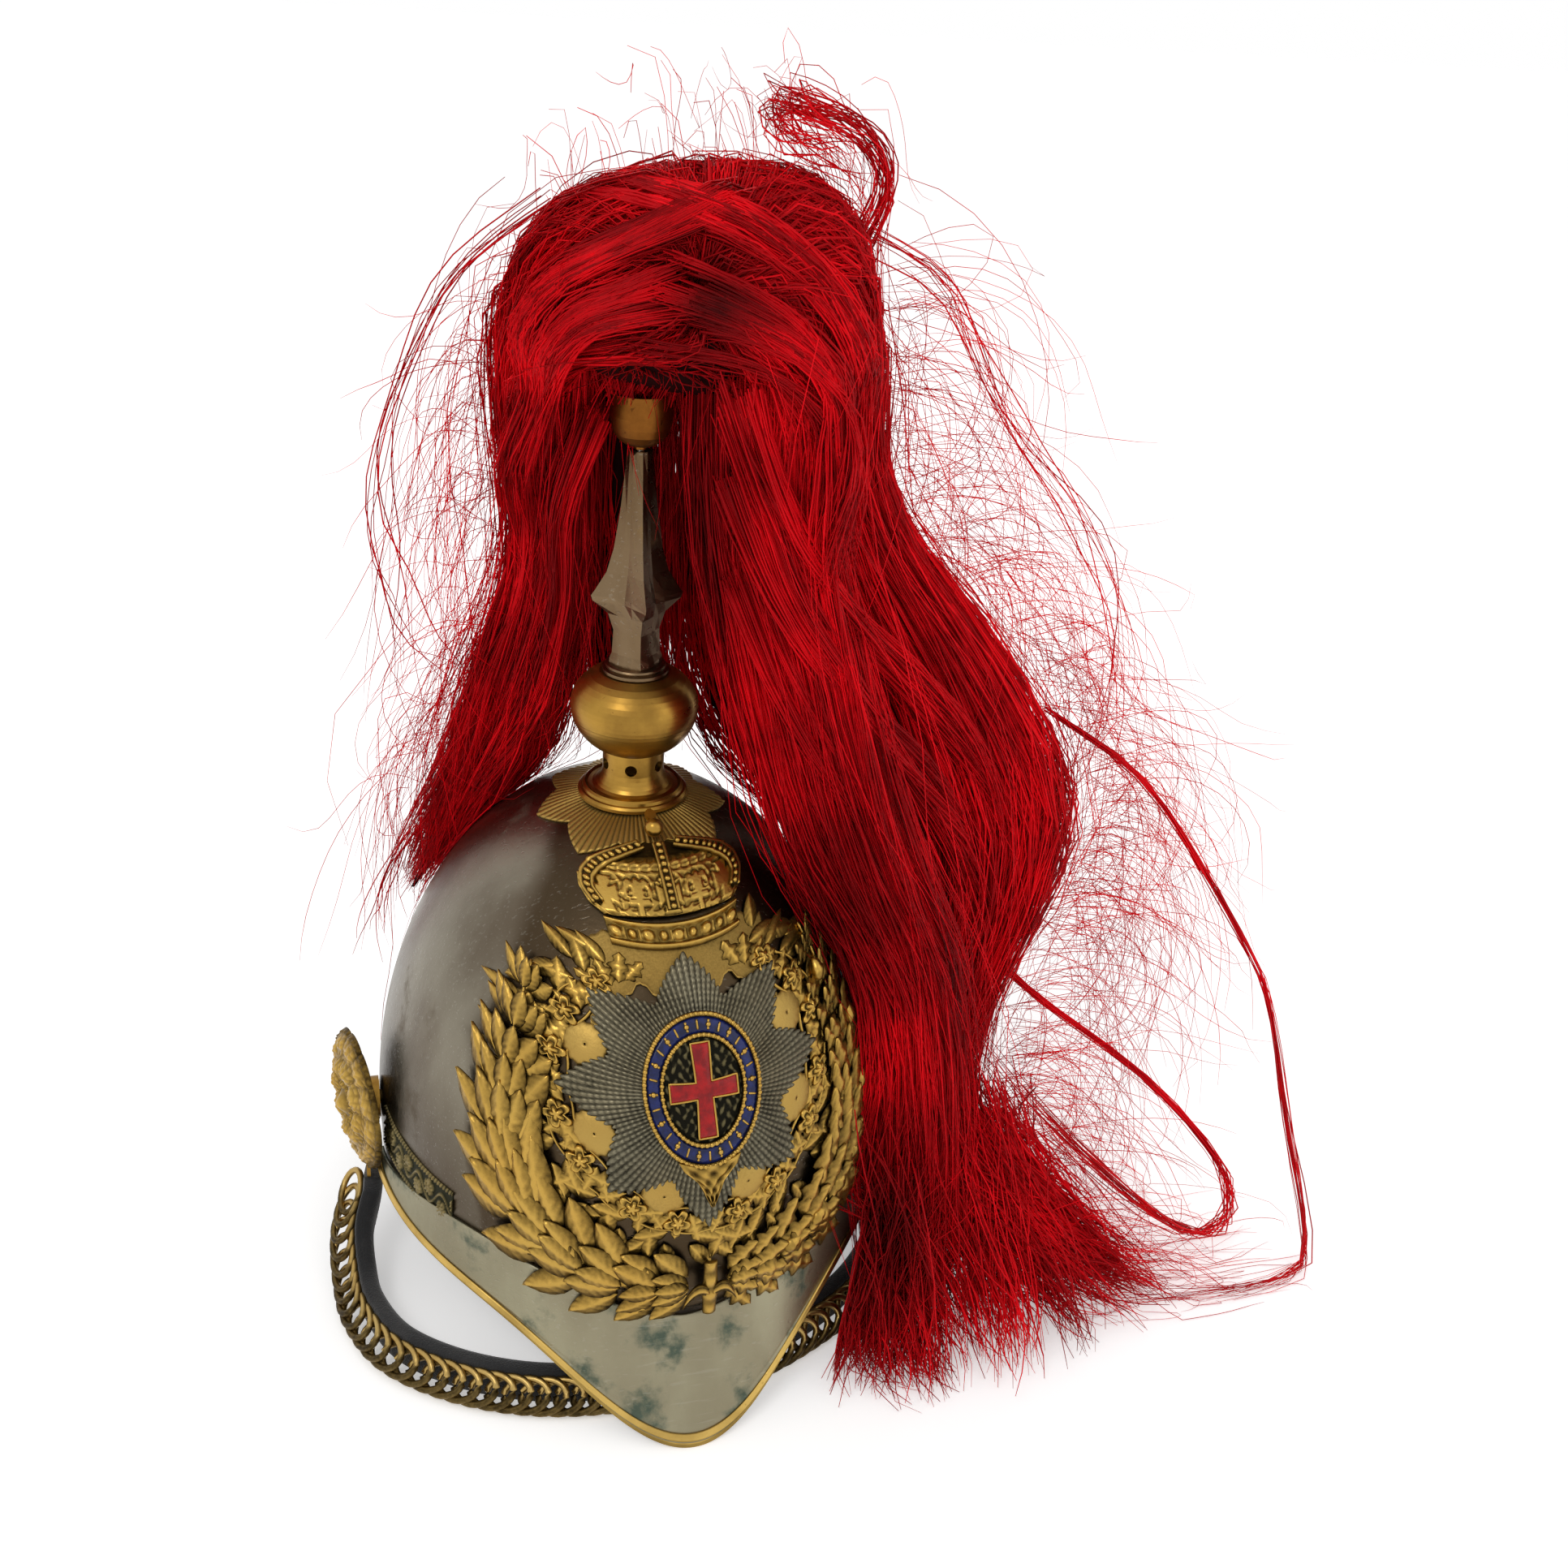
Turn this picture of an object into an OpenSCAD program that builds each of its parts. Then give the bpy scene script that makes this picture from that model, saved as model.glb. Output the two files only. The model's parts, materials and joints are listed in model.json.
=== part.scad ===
// Plumed cavalry helmet: white-metal skull with gilt plate, vented spike and a horsehair plume.
// Millimetres, +Z up, front towards -Y. The origin is the centre of the head opening,
// on the spike axis and level with the lower edge of the skull at its sides.

/* [Skull] */
// Half width of the skull
skull_half_w = 98; // [92:0.5:104]
// Half length of the skull, front to back
skull_half_l = 119; // [112:0.5:126]
// Height of the crown above the rim
crown_h = 151; // [144:1:158]
// Height above the rim where the dome starts to curve in
spring_h = 16; // [12:1:20]
// Sheet thickness of the skull
skull_t = 1.2; // [0.8:0.1:1.6]

/* [Peaks] */
// Sheet thickness of both peaks
peak_t = 1.2; // [0.8:0.1:1.6]
// How far the front peak reaches past the skull
front_reach = 19; // [14:1:26]
// How far the rear peak reaches past the skull
rear_reach = 36; // [28:1:42]
// How far the peak tips drop below their side ends
peak_drop = 37; // [30:1:42]
// Depth of the channel that binds the peak edges
bind_h = 3; // [2:0.2:4]
// Wall of that channel
bind_t = 1.4; // [1:0.1:1.8]
// Height of the foliage bands above the peak joints
band_h = 16; // [12:1:18]
// Thickness of the foliage bands
band_t = 1.5; // [1:0.1:2]

/* [Ventilator and spike] */
// Outer radius of the neck
neck_r = 11.3; // [10.8:0.1:12]
// Wall of the neck
neck_t = 1.7; // [1.2:0.1:2]
// Height of the neck top above the crown
neck_h = 18.2; // [17:0.2:20]
// Radius of the neck flange
flange_r = 20.3; // [19.5:0.1:21]
// Number of air holes in the neck
air_holes = 6; // [4:1:8]
// Diameter of each air hole
air_hole_d = 4.4; // [3:0.2:5]
// Largest radius of the onion
onion_r = 23.2; // [21:0.2:25]
// Height of the onion
onion_h = 30; // [28:0.5:33]
// Wall of the onion
onion_t = 1; // [0.8:0.1:1.4]
// Radius of the spike foot ring
foot_r = 12; // [11:0.2:13]
// Height of the spike above its foot
spike_h = 77.5; // [72:0.5:84]
// Reach of the spike wings from the axis
wing_r = 16.4; // [15:0.2:17]
// Half width of the spike top, corner to corner
tip_r = 4.4; // [4:0.1:5]
// Radius of the stud that screws into the onion
stud_r = 3; // [2.5:0.1:3.5]

/* [Plume] */
// Radius of the plume rod
rod_r = 1.2; // [1:0.1:1.4]
// Length of the rod inside the spike
rod_in = 72; // [66:1:74]
// Largest radius of the plume cup
cup_r = 10.8; // [10:0.1:11.5]
// Height of the plume cup
cup_h = 18.4; // [17.5:0.1:20]
// Wall of the plume cup
cup_t = 0.9; // [0.7:0.1:1.1]

/* [Plate] */
// Height of the star centre above the spring line, along the dome
star_v = 71; // [68:0.5:73]
// Reach of the star points
star_r = 46; // [43:0.5:47]
// Radius of the valleys between the star points
star_valley = 31; // [29:0.5:34]
// Half width of the oval ring
ring_w = 22; // [20:0.5:23]
// Half height of the oval ring
ring_h = 25; // [23:0.5:25.5]
// Width of each bar of the cross
cross_w = 5.4; // [4:0.2:6.5]
// Turn of the plate to the wearer's left, degrees
plate_turn = 4; // [0:0.5:5]
// Reach of the rayed plate on the crown
ray_r = 47; // [42:1:50]

/* [Rosettes and chin chain] */
// Radius of the side rosettes
rosette_r = 28; // [26:0.5:30]
// Height of the rosette centres above the rim
rosette_z = 26.5; // [24:0.5:30]
// Distance of the rosette centres in front of the spike axis
rosette_fwd = 6; // [2:0.5:10]
// Radius of the rosette studs
pivot_r = 2; // [1.6:0.1:2.4]
// Width of the chin strap
strap_w = 14; // [12:0.5:15]
// Thickness of the chin strap
strap_t = 2; // [1.4:0.1:2.4]
// Centre radius of a chain link
link_r = 5.2; // [4.9:0.1:5.4]
// Wire radius of a chain link
wire_r = 1.1; // [0.9:0.05:1.2]
// Tilt of the links against the strap, alternating, degrees
link_tilt = 38; // [34:1:42]

/* [Liner] */
// Gap between the skull and the leather liner
liner_gap = 5; // [3:0.5:7]
// Thickness of the liner leather
liner_t = 1.5; // [1:0.1:2]
// Height of the head band
liner_h = 30; // [24:1:36]
// Number of liner tongues
tongues = 8; // [6:1:10]

/* [Hidden] */
$fn = 64;

// Clearances
seat = 0.1;       // between skins that lie on each other
run = 0.3;        // between pieces that move past each other
fit = 0.2;        // round a stud or rod

white_metal = [0.62, 0.58, 0.54];
gilt = [0.80, 0.60, 0.20];
old_brass = [0.55, 0.42, 0.20];
silver = [0.55, 0.53, 0.45];
red_hair = [0.65, 0.02, 0.03];
leather = [0.30, 0.18, 0.10];

// Skull surface.
// t is the angle from the front towards +X, v the height above the spring line
// measured along the dome, d the offset off the metal.
dome_h = crown_h - spring_h;
mer_r = sqrt((dome_h * dome_h + skull_half_l * skull_half_l) / 2);
pole_v = mer_r * PI / 2;
function rise(v) = v <= 0 ? 0 : min(90, v / mer_r * 180 / PI);
function skin(t, v, d) = let (f = rise(v))
    [(skull_half_w + d) * sin(t) * cos(f),
     -(skull_half_l + d) * cos(t) * cos(f),
     v <= 0 ? spring_h + v : spring_h + (dome_h + d) * sin(f)];
// The same, with u as the distance to the right of the plate's middle line
function plate(u, v, d) = let (k = skull_half_w * cos(rise(v)))
    skin(plate_turn + asin(max(-0.98, min(0.98, u / k))), v, d);

function unit(a) = a / norm(a);
function mix(a, b, f) = a + (b - a) * f;
function saw(x) = abs(x - floor(x) - 0.5) * 2;
function table(x, rows, i = 0) =
    i >= len(rows) - 2 || x <= rows[i + 1][0]
    ? mix(rows[i][1], rows[i + 1][1], (x - rows[i][0]) / (rows[i + 1][0] - rows[i][0]))
    : table(x, rows, i + 1);

// Closed sheet between two grids of points. Rows run upwards and columns to the right
// as seen from outside. With wrap, the last column meets the first.
module sheet(back, front, wrap = false) {
    n = len(back);
    m = len(back[0]);
    b = n * m;
    last = wrap ? m - 1 : m - 2;
    polyhedron(
        points = [for (r = front) each r, for (r = back) each r],
        faces = [
            for (i = [0:n - 2], j = [0:last]) let (k = (j + 1) % m,
                p = i * m + j, q = i * m + k, r = (i + 1) * m + k, s = (i + 1) * m + j)
                each [[p, s, r], [p, r, q], [b + p, b + r, b + s], [b + p, b + q, b + r]],
            for (j = [0:last]) let (k = (j + 1) % m, e = (n - 1) * m)
                each [[j, k, b + k], [j, b + k, b + j],
                      [e + k, e + j, b + e + j], [e + k, b + e + j, b + e + k]],
            if (!wrap) for (i = [0:n - 2]) let (p = i * m, s = (i + 1) * m, q = m - 1)
                each [[s, p, b + p], [s, b + p, b + s],
                      [p + q, s + q, b + s + q], [p + q, b + s + q, b + p + q]]
        ],
        convexity = 6);
}

// Closed tube through rings of points
module tube(rings) {
    n = len(rings);
    m = len(rings[0]);
    polyhedron(
        points = [for (r = rings) each r],
        faces = [
            for (i = [0:n - 2], j = [0:m - 1]) let (k = (j + 1) % m)
                each [[i * m + j, (i + 1) * m + k, (i + 1) * m + j],
                      [i * m + j, i * m + k, (i + 1) * m + k]],
            for (j = [1:m - 2]) [0, j + 1, j],
            for (j = [1:m - 2]) [(n - 1) * m, (n - 1) * m + j, (n - 1) * m + j + 1]
        ],
        convexity = 6);
}

// Points between hand-set points, on a smooth curve
function curve_at(p, i, f) = let (n = len(p) - 1,
    a = p[max(0, i - 1)], b = p[i], c = p[min(n, i + 1)], d = p[min(n, i + 2)])
    0.5 * (2 * b + (c - a) * f + (2 * a - 5 * b + 4 * c - d) * f * f
    + (3 * b - a - 3 * c + d) * f * f * f);
function curve(p, per) = [for (i = [0:len(p) - 2], s = [0:per - 1]) curve_at(p, i, s / per),
    p[len(p) - 1]];
function head(p) = [p[0], p[1], p[2]];
function along(p, i) = unit(head(p[min(len(p) - 1, i + 1)]) - head(p[max(0, i - 1)]));

// Skull

module skull_shell() {
    cols = 56;
    rows = [-spring_h, -spring_h / 2, 0, 14, 29, 44, 60, 76, 93, 111, 130, 150, 170, pole_v - 6];
    difference() {
        union() {
            color(white_metal)
            sheet([for (v = rows) [for (j = [0:cols - 1]) skin(j * 360 / cols, v, -skull_t)]],
                  [for (v = rows) [for (j = [0:cols - 1]) skin(j * 360 / cols, v, 0)]], true);
        }
        color(white_metal) cylinder(r = neck_bore + seat, h = crown_h + 10);
        for (s = [-1, 1]) color(white_metal)
            translate([s * skull_half_w * 0.7, -rosette_fwd, rosette_z])
            rotate([0, 90 * s, 0]) cylinder(r = pivot_r + fit, h = skull_half_w * 0.5);
    }
}

// Peaks

side_z = 1;
joint_low = 4;
function joint_z(t) = joint_low + (cos(t) > 0 ? 19 : 9) * pow(abs(sin(2 * t)), 1.5);
rear_flat = 14;
function edge_pt(t) = let (c = abs(cos(t)), front = cos(t) > 0)
    [(skull_half_w + edge_out) * sin(t),
     (front ? -1 : 1) * ((skull_half_l + edge_out) * c
        + (front ? front_reach * pow(c, 12) : rear_reach * pow(c, 4))),
     side_z - (front ? peak_drop * pow(c, 7.8)
        : (peak_drop + rear_level) * pow(min(1, c / cos(rear_flat)), 4))];
edge_out = peak_t + 1.9;
// The rear tip is shallower, so its binding needs this much more drop to stand level
rear_level = 0.22;
function outward(t) = [sin(t), -cos(t), 0];
function joint_pt(t) = skin(t, joint_z(t) - spring_h, peak_t + seat);
function peak_pt(t, w) = let (a = joint_pt(t), b = edge_pt(t), f = pow(w, 1.12))
    [mix(a[0], b[0], f), mix(a[1], b[1], f), mix(a[2], b[2], w)];
function peak_down(t) = unit(edge_pt(t) - joint_pt(t));
peak_end = 85;
function peak_angles(middle, n, short = 0) = [for (j = [0:n])
    middle + (peak_end - short) * (2 * j / n - 1)];

module peak(middle) {
    ts = peak_angles(middle, 40);
    ws = [1, 0.7, 0.4, 0.15, 0];
    sheet([for (w = ws) [for (t = ts) peak_pt(t, w) - peak_t * outward(t)]],
          [for (w = ws) [for (t = ts) peak_pt(t, w)]]);
}
module front_peak() color(white_metal) peak(0);
module rear_peak() color(white_metal) peak(180);

// Channel section round a peak edge: offsets outwards and down from the sheet's edge
bind_in = peak_t / 2 + fit;
bind_out = bind_in + bind_t;
// The binding stops where the peak comes close to the skull
bind_short = 7;
bind_lip = bind_in + 0.4;
module binding(middle) {
    ts = peak_angles(middle, 40, bind_short);
    outer = [[-bind_lip, -bind_h], [-bind_lip, seat + bind_t * 0.5], [0, seat + bind_t * 1.6],
             [bind_out, seat + bind_t * 0.5], [bind_out, -bind_h]];
    inner = [[-bind_in, -bind_h], [-bind_in, seat], [0, seat + 0.1], [bind_in, seat],
             [bind_in, -bind_h]];
    function lay(s, t) = edge_pt(t) + (s[0] - peak_t / 2) * outward(t) + s[1] * peak_down(t);
    sheet([for (s = inner) [for (t = ts) lay(s, t)]], [for (s = outer) [for (t = ts) lay(s, t)]]);
}
module front_binding() color(gilt) binding(0);
module rear_binding() color(gilt) binding(180);

// Foliage band on the skull, just above a peak joint, with a leafy crest
module band(from, to, n) {
    ts = [for (j = [0:n]) mix(from, to, j / n)];
    function band_v(t, w) = joint_z(t) + run - spring_h
        + w * (band_h + (w == 1 ? 1.5 * saw(t / 8) : 0));
    rows = [[0, 0.5], [0.3, 1], [0.7, 1], [1, 0.5]];
    sheet([for (r = rows) [for (t = ts) skin(t, band_v(t, r[0]), seat)]],
          [for (r = rows) [for (t = ts) skin(t, band_v(t, r[0]), seat + band_t * r[1])]]);
}
band_end = 80;
band_start = 51;
module band_left() color(old_brass) band(-band_end, -band_start, 8);
module band_right() color(old_brass) band(band_start, band_end, 8);
module band_rear() color(old_brass) band(108, 252, 36);

// The neck is bored wider where it passes through the skull
neck_in = neck_r - neck_t;
neck_bore = neck_in + 1;

// Rayed plate on the crown, eight points with one to the front
ray_valley = ray_r * 0.78;
ray_t = 1;
ray_hole = (neck_bore + 1.5) * mer_r / skull_half_w;
module crown_ray_plate() {
    cols = 48;
    function reach(t) = mix(ray_r, ray_valley, 1 - saw(t / 45));
    rows = [1, 0.72, 0.45, 0];
    function ray_v(t, w) = pole_v - mix(ray_hole, reach(t), w);
    function ridge(j, w) = w == 0 ? 0 : (j % 2 == 0 ? 0.35 : 0) + (w == 1 ? -0.2 : 0.1);
    ts = [for (j = [0:cols - 1]) j * 360 / cols];
    color(gilt)
    sheet([for (w = rows) [for (t = ts) skin(t, ray_v(t, w), seat)]],
          [for (w = rows) [for (j = [0:cols - 1]) skin(ts[j], ray_v(ts[j], w),
              seat + ray_t + ridge(j, w))]], true);
}

// Ventilator

neck_top = crown_h + neck_h;
flange_off = seat + ray_t + 0.6;
function flange_under(r) = spring_h + (dome_h + flange_off)
    * sqrt(1 - pow(r / (skull_half_l + flange_off), 2));
flange_z = flange_under(flange_r);
vent_tail = 12;
module vent_neck() {
    z = flange_z;
    difference() {
        color(gilt) rotate_extrude($fn = 96) polygon([
            [neck_in, crown_h - vent_tail], [neck_bore, crown_h - vent_tail],
            for (i = [0:4]) let (r = mix(neck_bore, flange_r, i / 4)) [r, flange_under(r)],
            [flange_r, z + 1.2], [flange_r - 0.8, z + 2], [flange_r - 1.6, z + 2.2],
            [flange_r - 1.8, z + 3.3], [flange_r - 2.6, z + 3.9], [flange_r - 3.6, z + 3.3],
            for (i = [0:6]) let (a = 90 * i / 6)
                [neck_r + (flange_r - 4 - neck_r) * (1 - sin(a)), z + 3.4 + 6.6 * (1 - cos(a))],
            [neck_r, neck_top], [neck_in, neck_top]]);
        color(gilt) for (i = [0:air_holes - 1])
            rotate([0, 0, 360 * i / air_holes + 15])
            translate([neck_in / 2, 0, neck_top - 5.5])
            rotate([0, 90, 0]) cylinder(d = air_hole_d, h = neck_r);
    }
}
nut_h = 3.5;
nut_r = 16;
nut_top = spring_h + (dome_h - skull_t) * sqrt(1 - pow(nut_r / (skull_half_w - skull_t), 2)) - 2 * run;
module vent_nut() color(gilt) difference() {
    translate([0, 0, nut_top - nut_h]) cylinder(r = nut_r, h = nut_h);
    cylinder(r = neck_bore + seat, h = crown_h);
    for (i = [0:3]) rotate([0, 0, 90 * i]) translate([nut_r, 0, nut_top - nut_h - 1])
        cylinder(r = 2, h = nut_h + 2);
}

// Onion, made of two spun halves that meet at a seam below the middle
onion_z = neck_top;
onion_mid = onion_z + onion_h * 0.56;
seam_z = onion_z + onion_h * 0.43;
onion_top = onion_z + onion_h;
onion_low_r = 12;
function onion_rad(z, r, low, high) = r * sqrt(1 - pow((z - onion_mid) / (z < onion_mid
    ? low : high), 2));
low_axis = (onion_mid - onion_z) / sqrt(1 - pow(onion_low_r / onion_r, 2));
high_axis = (onion_top - onion_mid) / sqrt(1 - pow((foot_r + 1) / onion_r, 2));
function onion_arc(z0, z1, d) = [for (i = [0:10]) let (z = mix(z0, z1, i / 10))
    [onion_rad(z, onion_r - d, low_axis - d, high_axis - d), z]];
module onion_lower() color(gilt) rotate_extrude($fn = 96) polygon(concat(
    [[neck_in, onion_z]], onion_arc(onion_z, seam_z, 0),
    [for (i = [10:-1:0]) let (z = mix(onion_z + onion_t, seam_z, i / 10))
        [onion_rad(z, onion_r - onion_t, low_axis, high_axis), z]],
    [[neck_in, onion_z + onion_t]]));
socket_r = stud_r + 3;
socket_h = 12;
module onion_upper() color(gilt) rotate_extrude($fn = 96) polygon(concat(
    onion_arc(seam_z + seat, onion_top, 0),
    [[stud_r + fit, onion_top], [stud_r + fit, onion_top - socket_h],
     [socket_r, onion_top - socket_h], [socket_r, onion_top - onion_t]],
    [for (i = [8:-1:0]) let (z = mix(seam_z + seat, onion_top - onion_t, i / 8))
        [onion_rad(z, onion_r - onion_t, low_axis, high_axis), z]]));

// Spike: four wings over a ringed foot, bored for the plume rod
foot_z = onion_top + run;
foot_h = 3.2;
spike_z = foot_z + foot_h;
spike_top = spike_z + spike_h;
bore_r = rod_r + run;
neck_c = wing_r * 0.53;
module spike() {
    // height share, corner reach, share of the reach kept at the middle of a face
    shape = [[-0.006, neck_c + 1, 0.86], [0.02, neck_c + 0.9, 0.84], [0.05, neck_c, 0.8],
             [0.16, neck_c - 0.4, 0.74], [0.24, neck_c + 1.6, 0.68], [0.305, wing_r - 0.6, 0.5],
             [0.33, wing_r, 0.46], [0.36, wing_r - 1.6, 0.48], [0.44, 11, 0.56],
             [0.55, 8.6, 0.62], [0.72, 6.6, 0.72], [0.9, 5.2, 0.84], [1, tip_r, 0.95]];
    function flute(c, k, j) = c * [1, mix(1, k, 0.75), k, mix(1, k, 0.75)][j % 4];
    color(silver) difference() {
        union() {
            tube([for (s = shape) [for (j = [0:15]) let (a = -j * 22.5, r = flute(s[1], s[2], j))
                [r * cos(a), r * sin(a), spike_z + s[0] * spike_h]]]);
            rotate_extrude($fn = 72) polygon([
                [0, foot_z - socket_h + 1], [stud_r, foot_z - socket_h + 1], [stud_r, foot_z],
                [foot_r, foot_z], [foot_r, foot_z + 1.2], [foot_r - 1.2, foot_z + 1.6],
                [foot_r - 0.9, foot_z + 2.2], [foot_r - 1.3, foot_z + 2.8], [foot_r - 2, spike_z],
                [0, spike_z]]);
        }
        translate([0, 0, spike_top - rod_in - run]) cylinder(r = bore_r, h = rod_in + 5);
        for (i = [0:3]) rotate([0, 0, 90 * i + 45]) translate([0, 0, spike_top])
            rotate([0, 90, 0]) rotate([0, 0, 45]) translate([-1, -1, bore_r - 1])
                cube([2, 2, tip_r]);
    }
}

// Plume

cup_z = spike_top + 1.1;
cup_top = cup_z + cup_h;
rod_end = cup_z + 6.2;
module plume_rod() color(silver) difference() {
    translate([0, 0, spike_top - rod_in]) cylinder(r = rod_r, h = rod_end - spike_top + rod_in);
}
// Share of the cup height, share of the cup radius
cup_shape = [[0, 0.2], [0.05, 0.5], [0.12, 0.68], [0.25, 0.86], [0.4, 0.95], [0.6, 1],
             [0.8, 0.98], [1, 0.945]];
module plume_cup() color(gilt) rotate_extrude($fn = 80) polygon(concat(
    [[rod_r + seat, spike_top + run], [rod_r + 1.1, spike_top + run],
     [rod_r + 1.1, cup_z]],
    [for (s = cup_shape) [s[1] * cup_r, cup_z + s[0] * cup_h]],
    [for (i = [len(cup_shape) - 1:-1:1]) let (s = cup_shape[i])
        [s[1] * cup_r - cup_t, max(cup_z + cup_t, cup_z + s[0] * cup_h
            - (i == len(cup_shape) - 1 ? 0 : 0.3))]],
    [[rod_r + seat, cup_z + cup_t]]));
plume_nut_z = cup_z + cup_t + 1.1;
module plume_nut() color(silver) difference() {
    translate([0, 0, plume_nut_z]) cylinder(r = 3.2, h = 2.4, $fn = 6);
    translate([0, 0, plume_nut_z - 1]) cylinder(r = rod_r + seat, h = 5);
}
root_z = rod_end + run;
root_r = cup_r * 0.945 - cup_t - 2.2;
module plume_binding() color(old_brass) translate([0, 0, root_z + 2.5]) difference() {
    cylinder(r = root_r + 1.2, h = 3);
    translate([0, 0, -1]) cylinder(r = root_r + seat, h = 5);
}

// Hair of the plume. Rows of a fall are height, x, y, half width, half depth and turn of
// one level slice. They are laid out on a helmet of these sizes and follow it.
lay_w = 98;
lay_l = 119;
lay_top = 300;
lay_floor = -38;
function laid_z(z) = mix(floor_z, cup_top, (z - lay_floor) / (lay_top - lay_floor));
function laid(p) = [p[0] * skull_half_w / lay_w, p[1] * skull_half_l / lay_l, laid_z(p[2])];
falls = [
    // left, behind the spike and onto the back of the skull
    [[336, -28, 4, 18, 20, 0], [308, -30, 14, 17, 18, 0], [275, -28, 26, 17, 13, 0],
     [238, -25, 32, 15, 11, 0], [205, -30, 35, 18, 11, 0], [182, -36, 37, 21, 11, 0],
     [158, -40, 44, 24, 10, 8], [130, -50, 54, 25, 10, 20], [105, -66, 57, 16, 9, 30],
     [84, -79, 54, 4, 3, 40]],
    // front of the right side, lying on the skull
    [[334, 46, -4, 30, 20, 0], [300, 40, -8, 23, 15, 0], [268, 40, -12, 23, 13, 0],
     [240, 46, -16, 24, 12, -6], [210, 54, -22, 25, 12, -10], [175, 62, -33, 26, 11, -14],
     [146, 71, -42, 26, 11, -16], [122, 81, -49, 25, 10, -12], [98, 93, -56, 22, 10, -8],
     [66, 101, -63, 20, 10, 0], [40, 105, -68, 19, 10, 0], [14, 107, -75, 18, 10, 0],
     [-10, 108, -85, 18, 10, 0], [-38, 108, -100, 18, 11, 0]],
    // middle of the right side, the widest
    [[326, 58, 2, 27, 24, 0], [292, 60, 4, 25, 20, 0], [268, 61, 5, 25, 17, 0],
     [248, 69, 4, 31, 15, 0], [224, 83, 2, 40, 14, 0], [200, 97, -1, 46, 13, -4],
     [180, 108, -4, 50, 13, -6], [156, 119, -8, 54, 13, -6], [134, 128, -11, 55, 13, -6],
     [110, 133, -14, 51, 12, -6], [86, 136, -19, 42, 11, -6], [64, 131, -28, 31, 10, -6],
     [42, 132, -44, 21, 9, 0], [18, 127, -57, 19, 9, 0], [-6, 122, -73, 18, 9, 0],
     [-38, 122, -92, 18, 10, 0]],
    // rear of the right side, on the back of the skull
    [[322, 30, 18, 28, 20, 0], [290, 40, 28, 26, 14, 0], [258, 41, 33, 25, 12, 0],
     [222, 44, 37, 29, 12, 0], [190, 52, 41, 34, 11, 0], [160, 64, 46, 38, 11, -10],
     [130, 80, 50, 36, 10, -20], [102, 98, 46, 28, 9, -30], [78, 112, 38, 17, 8, -40],
     [62, 120, 31, 7, 5, -40]],
];
// Rows of a heap on the floor: distance along it, across it, height, half width, half height
heap_right = [[108, -94, -26, 16, 13], [126, -104, -26, 24, 13], [146, -112, -28, 22, 11],
    [166, -116, -30, 15, 8], [184, -117, -33, 8, 5], [200, -118, -35, 3, 3]];
heap_left = [[-114, -98, -27, 14, 12], [-98, -112, -28, 17, 11], [-82, -120, -30, 14, 9],
    [-68, -122, -32, 9, 6], [-55, -122, -35, 3, 3]];
hair_sides = 20;
hair_off = 7;
side_room = 5;
// Keeps hair outside the skull with its plate, and outside the rosettes
function drape(p) = let (w = skull_half_w + hair_off, l = skull_half_l + hair_off,
    s = max(0, p[2] - spring_h) / (dome_h + hair_off),
    room = s < 1 ? sqrt(1 - s * s) : 0,
    h = norm([p[0] / w, p[1] / l]),
    k = h < room && h > 0.05 ? room / h : 1,
    q = [p[0] * k, p[1] * k, p[2]],
    near = abs(q[1] + rosette_fwd) < rosette_r + side_room
        && q[2] < rosette_z + rosette_r + side_room,
    reach = rosette_x + 9.5 + side_room)
    near && abs(q[0]) < reach ? [sign(q[0]) * reach, q[1], q[2]] : q;
module fall(rows, per) {
    tube([for (r = curve(rows, per)) [for (j = [0:hair_sides - 1])
        let (a = 360 * j / hair_sides, g = 1 + 0.05 * cos(5 * a + r[0]),
            x = r[3] * g * cos(a), y = r[4] * g * sin(a))
        drape(laid([r[1] + x * cos(r[5]) - y * sin(r[5]), r[2] + x * sin(r[5]) + y * cos(r[5]),
            r[0]]))]]);
}
module heap(rows, side, per) {
    tube([for (r = curve(rows, per)) [for (j = [0:hair_sides - 1])
        let (a = -side * 360 * j / hair_sides, g = 1 + 0.06 * cos(4 * a + r[0] * 2))
        laid([side * r[0], r[1] + r[3] * g * cos(a), r[2] + r[4] * g * sin(a)])]]);
}
// The dome of hair over the cup: reach to each side of its middle
dome_mid = [17, 0, 336];
dome_to = [67, 38, 42];
dome_from = [66, 34, 34];
dome_full = 2.5;
module hair_dome() {
    n = 12;
    function reach(d) = 1 / pow(
        pow(abs(d[0]) / (d[0] > 0 ? dome_to[0] : dome_from[0]), dome_full)
        + pow(abs(d[1]) / (d[1] > 0 ? dome_to[1] : dome_from[1]), dome_full)
        + pow(abs(d[2]) / (d[2] > 0 ? dome_to[2] : dome_from[2]), dome_full), 1 / dome_full);
    tube([for (i = [0:n]) let (b = 4 + 172 * i / n) [for (j = [0:hair_sides - 1])
        let (a = 360 * j / hair_sides, d = [sin(b) * cos(a), sin(b) * sin(a), cos(b)])
        laid(dome_mid + d * reach(d) * (1 + 0.03 * cos(5 * a) * sin(b)))]]);
}
floor_z = side_z - peak_drop + (seat + bind_t * 1.6) * peak_down(0)[2];
tail_cut = lay_floor + 17;
big = 600;
module hair_side(upper) {
    z = laid_z(tail_cut);
    translate([-big / 2, -big / 2, upper ? z : floor_z]) cube([big, big, upper ? big : z - floor_z]);
}
module plume_hair() color(red_hair) union() {
    translate([0, 0, root_z]) cylinder(r = root_r, h = cup_top - root_z + 8);
    hair_dome();
    intersection() {
        union() for (p = falls) fall(p, 2);
        hair_side(true);
    }
}
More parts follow.
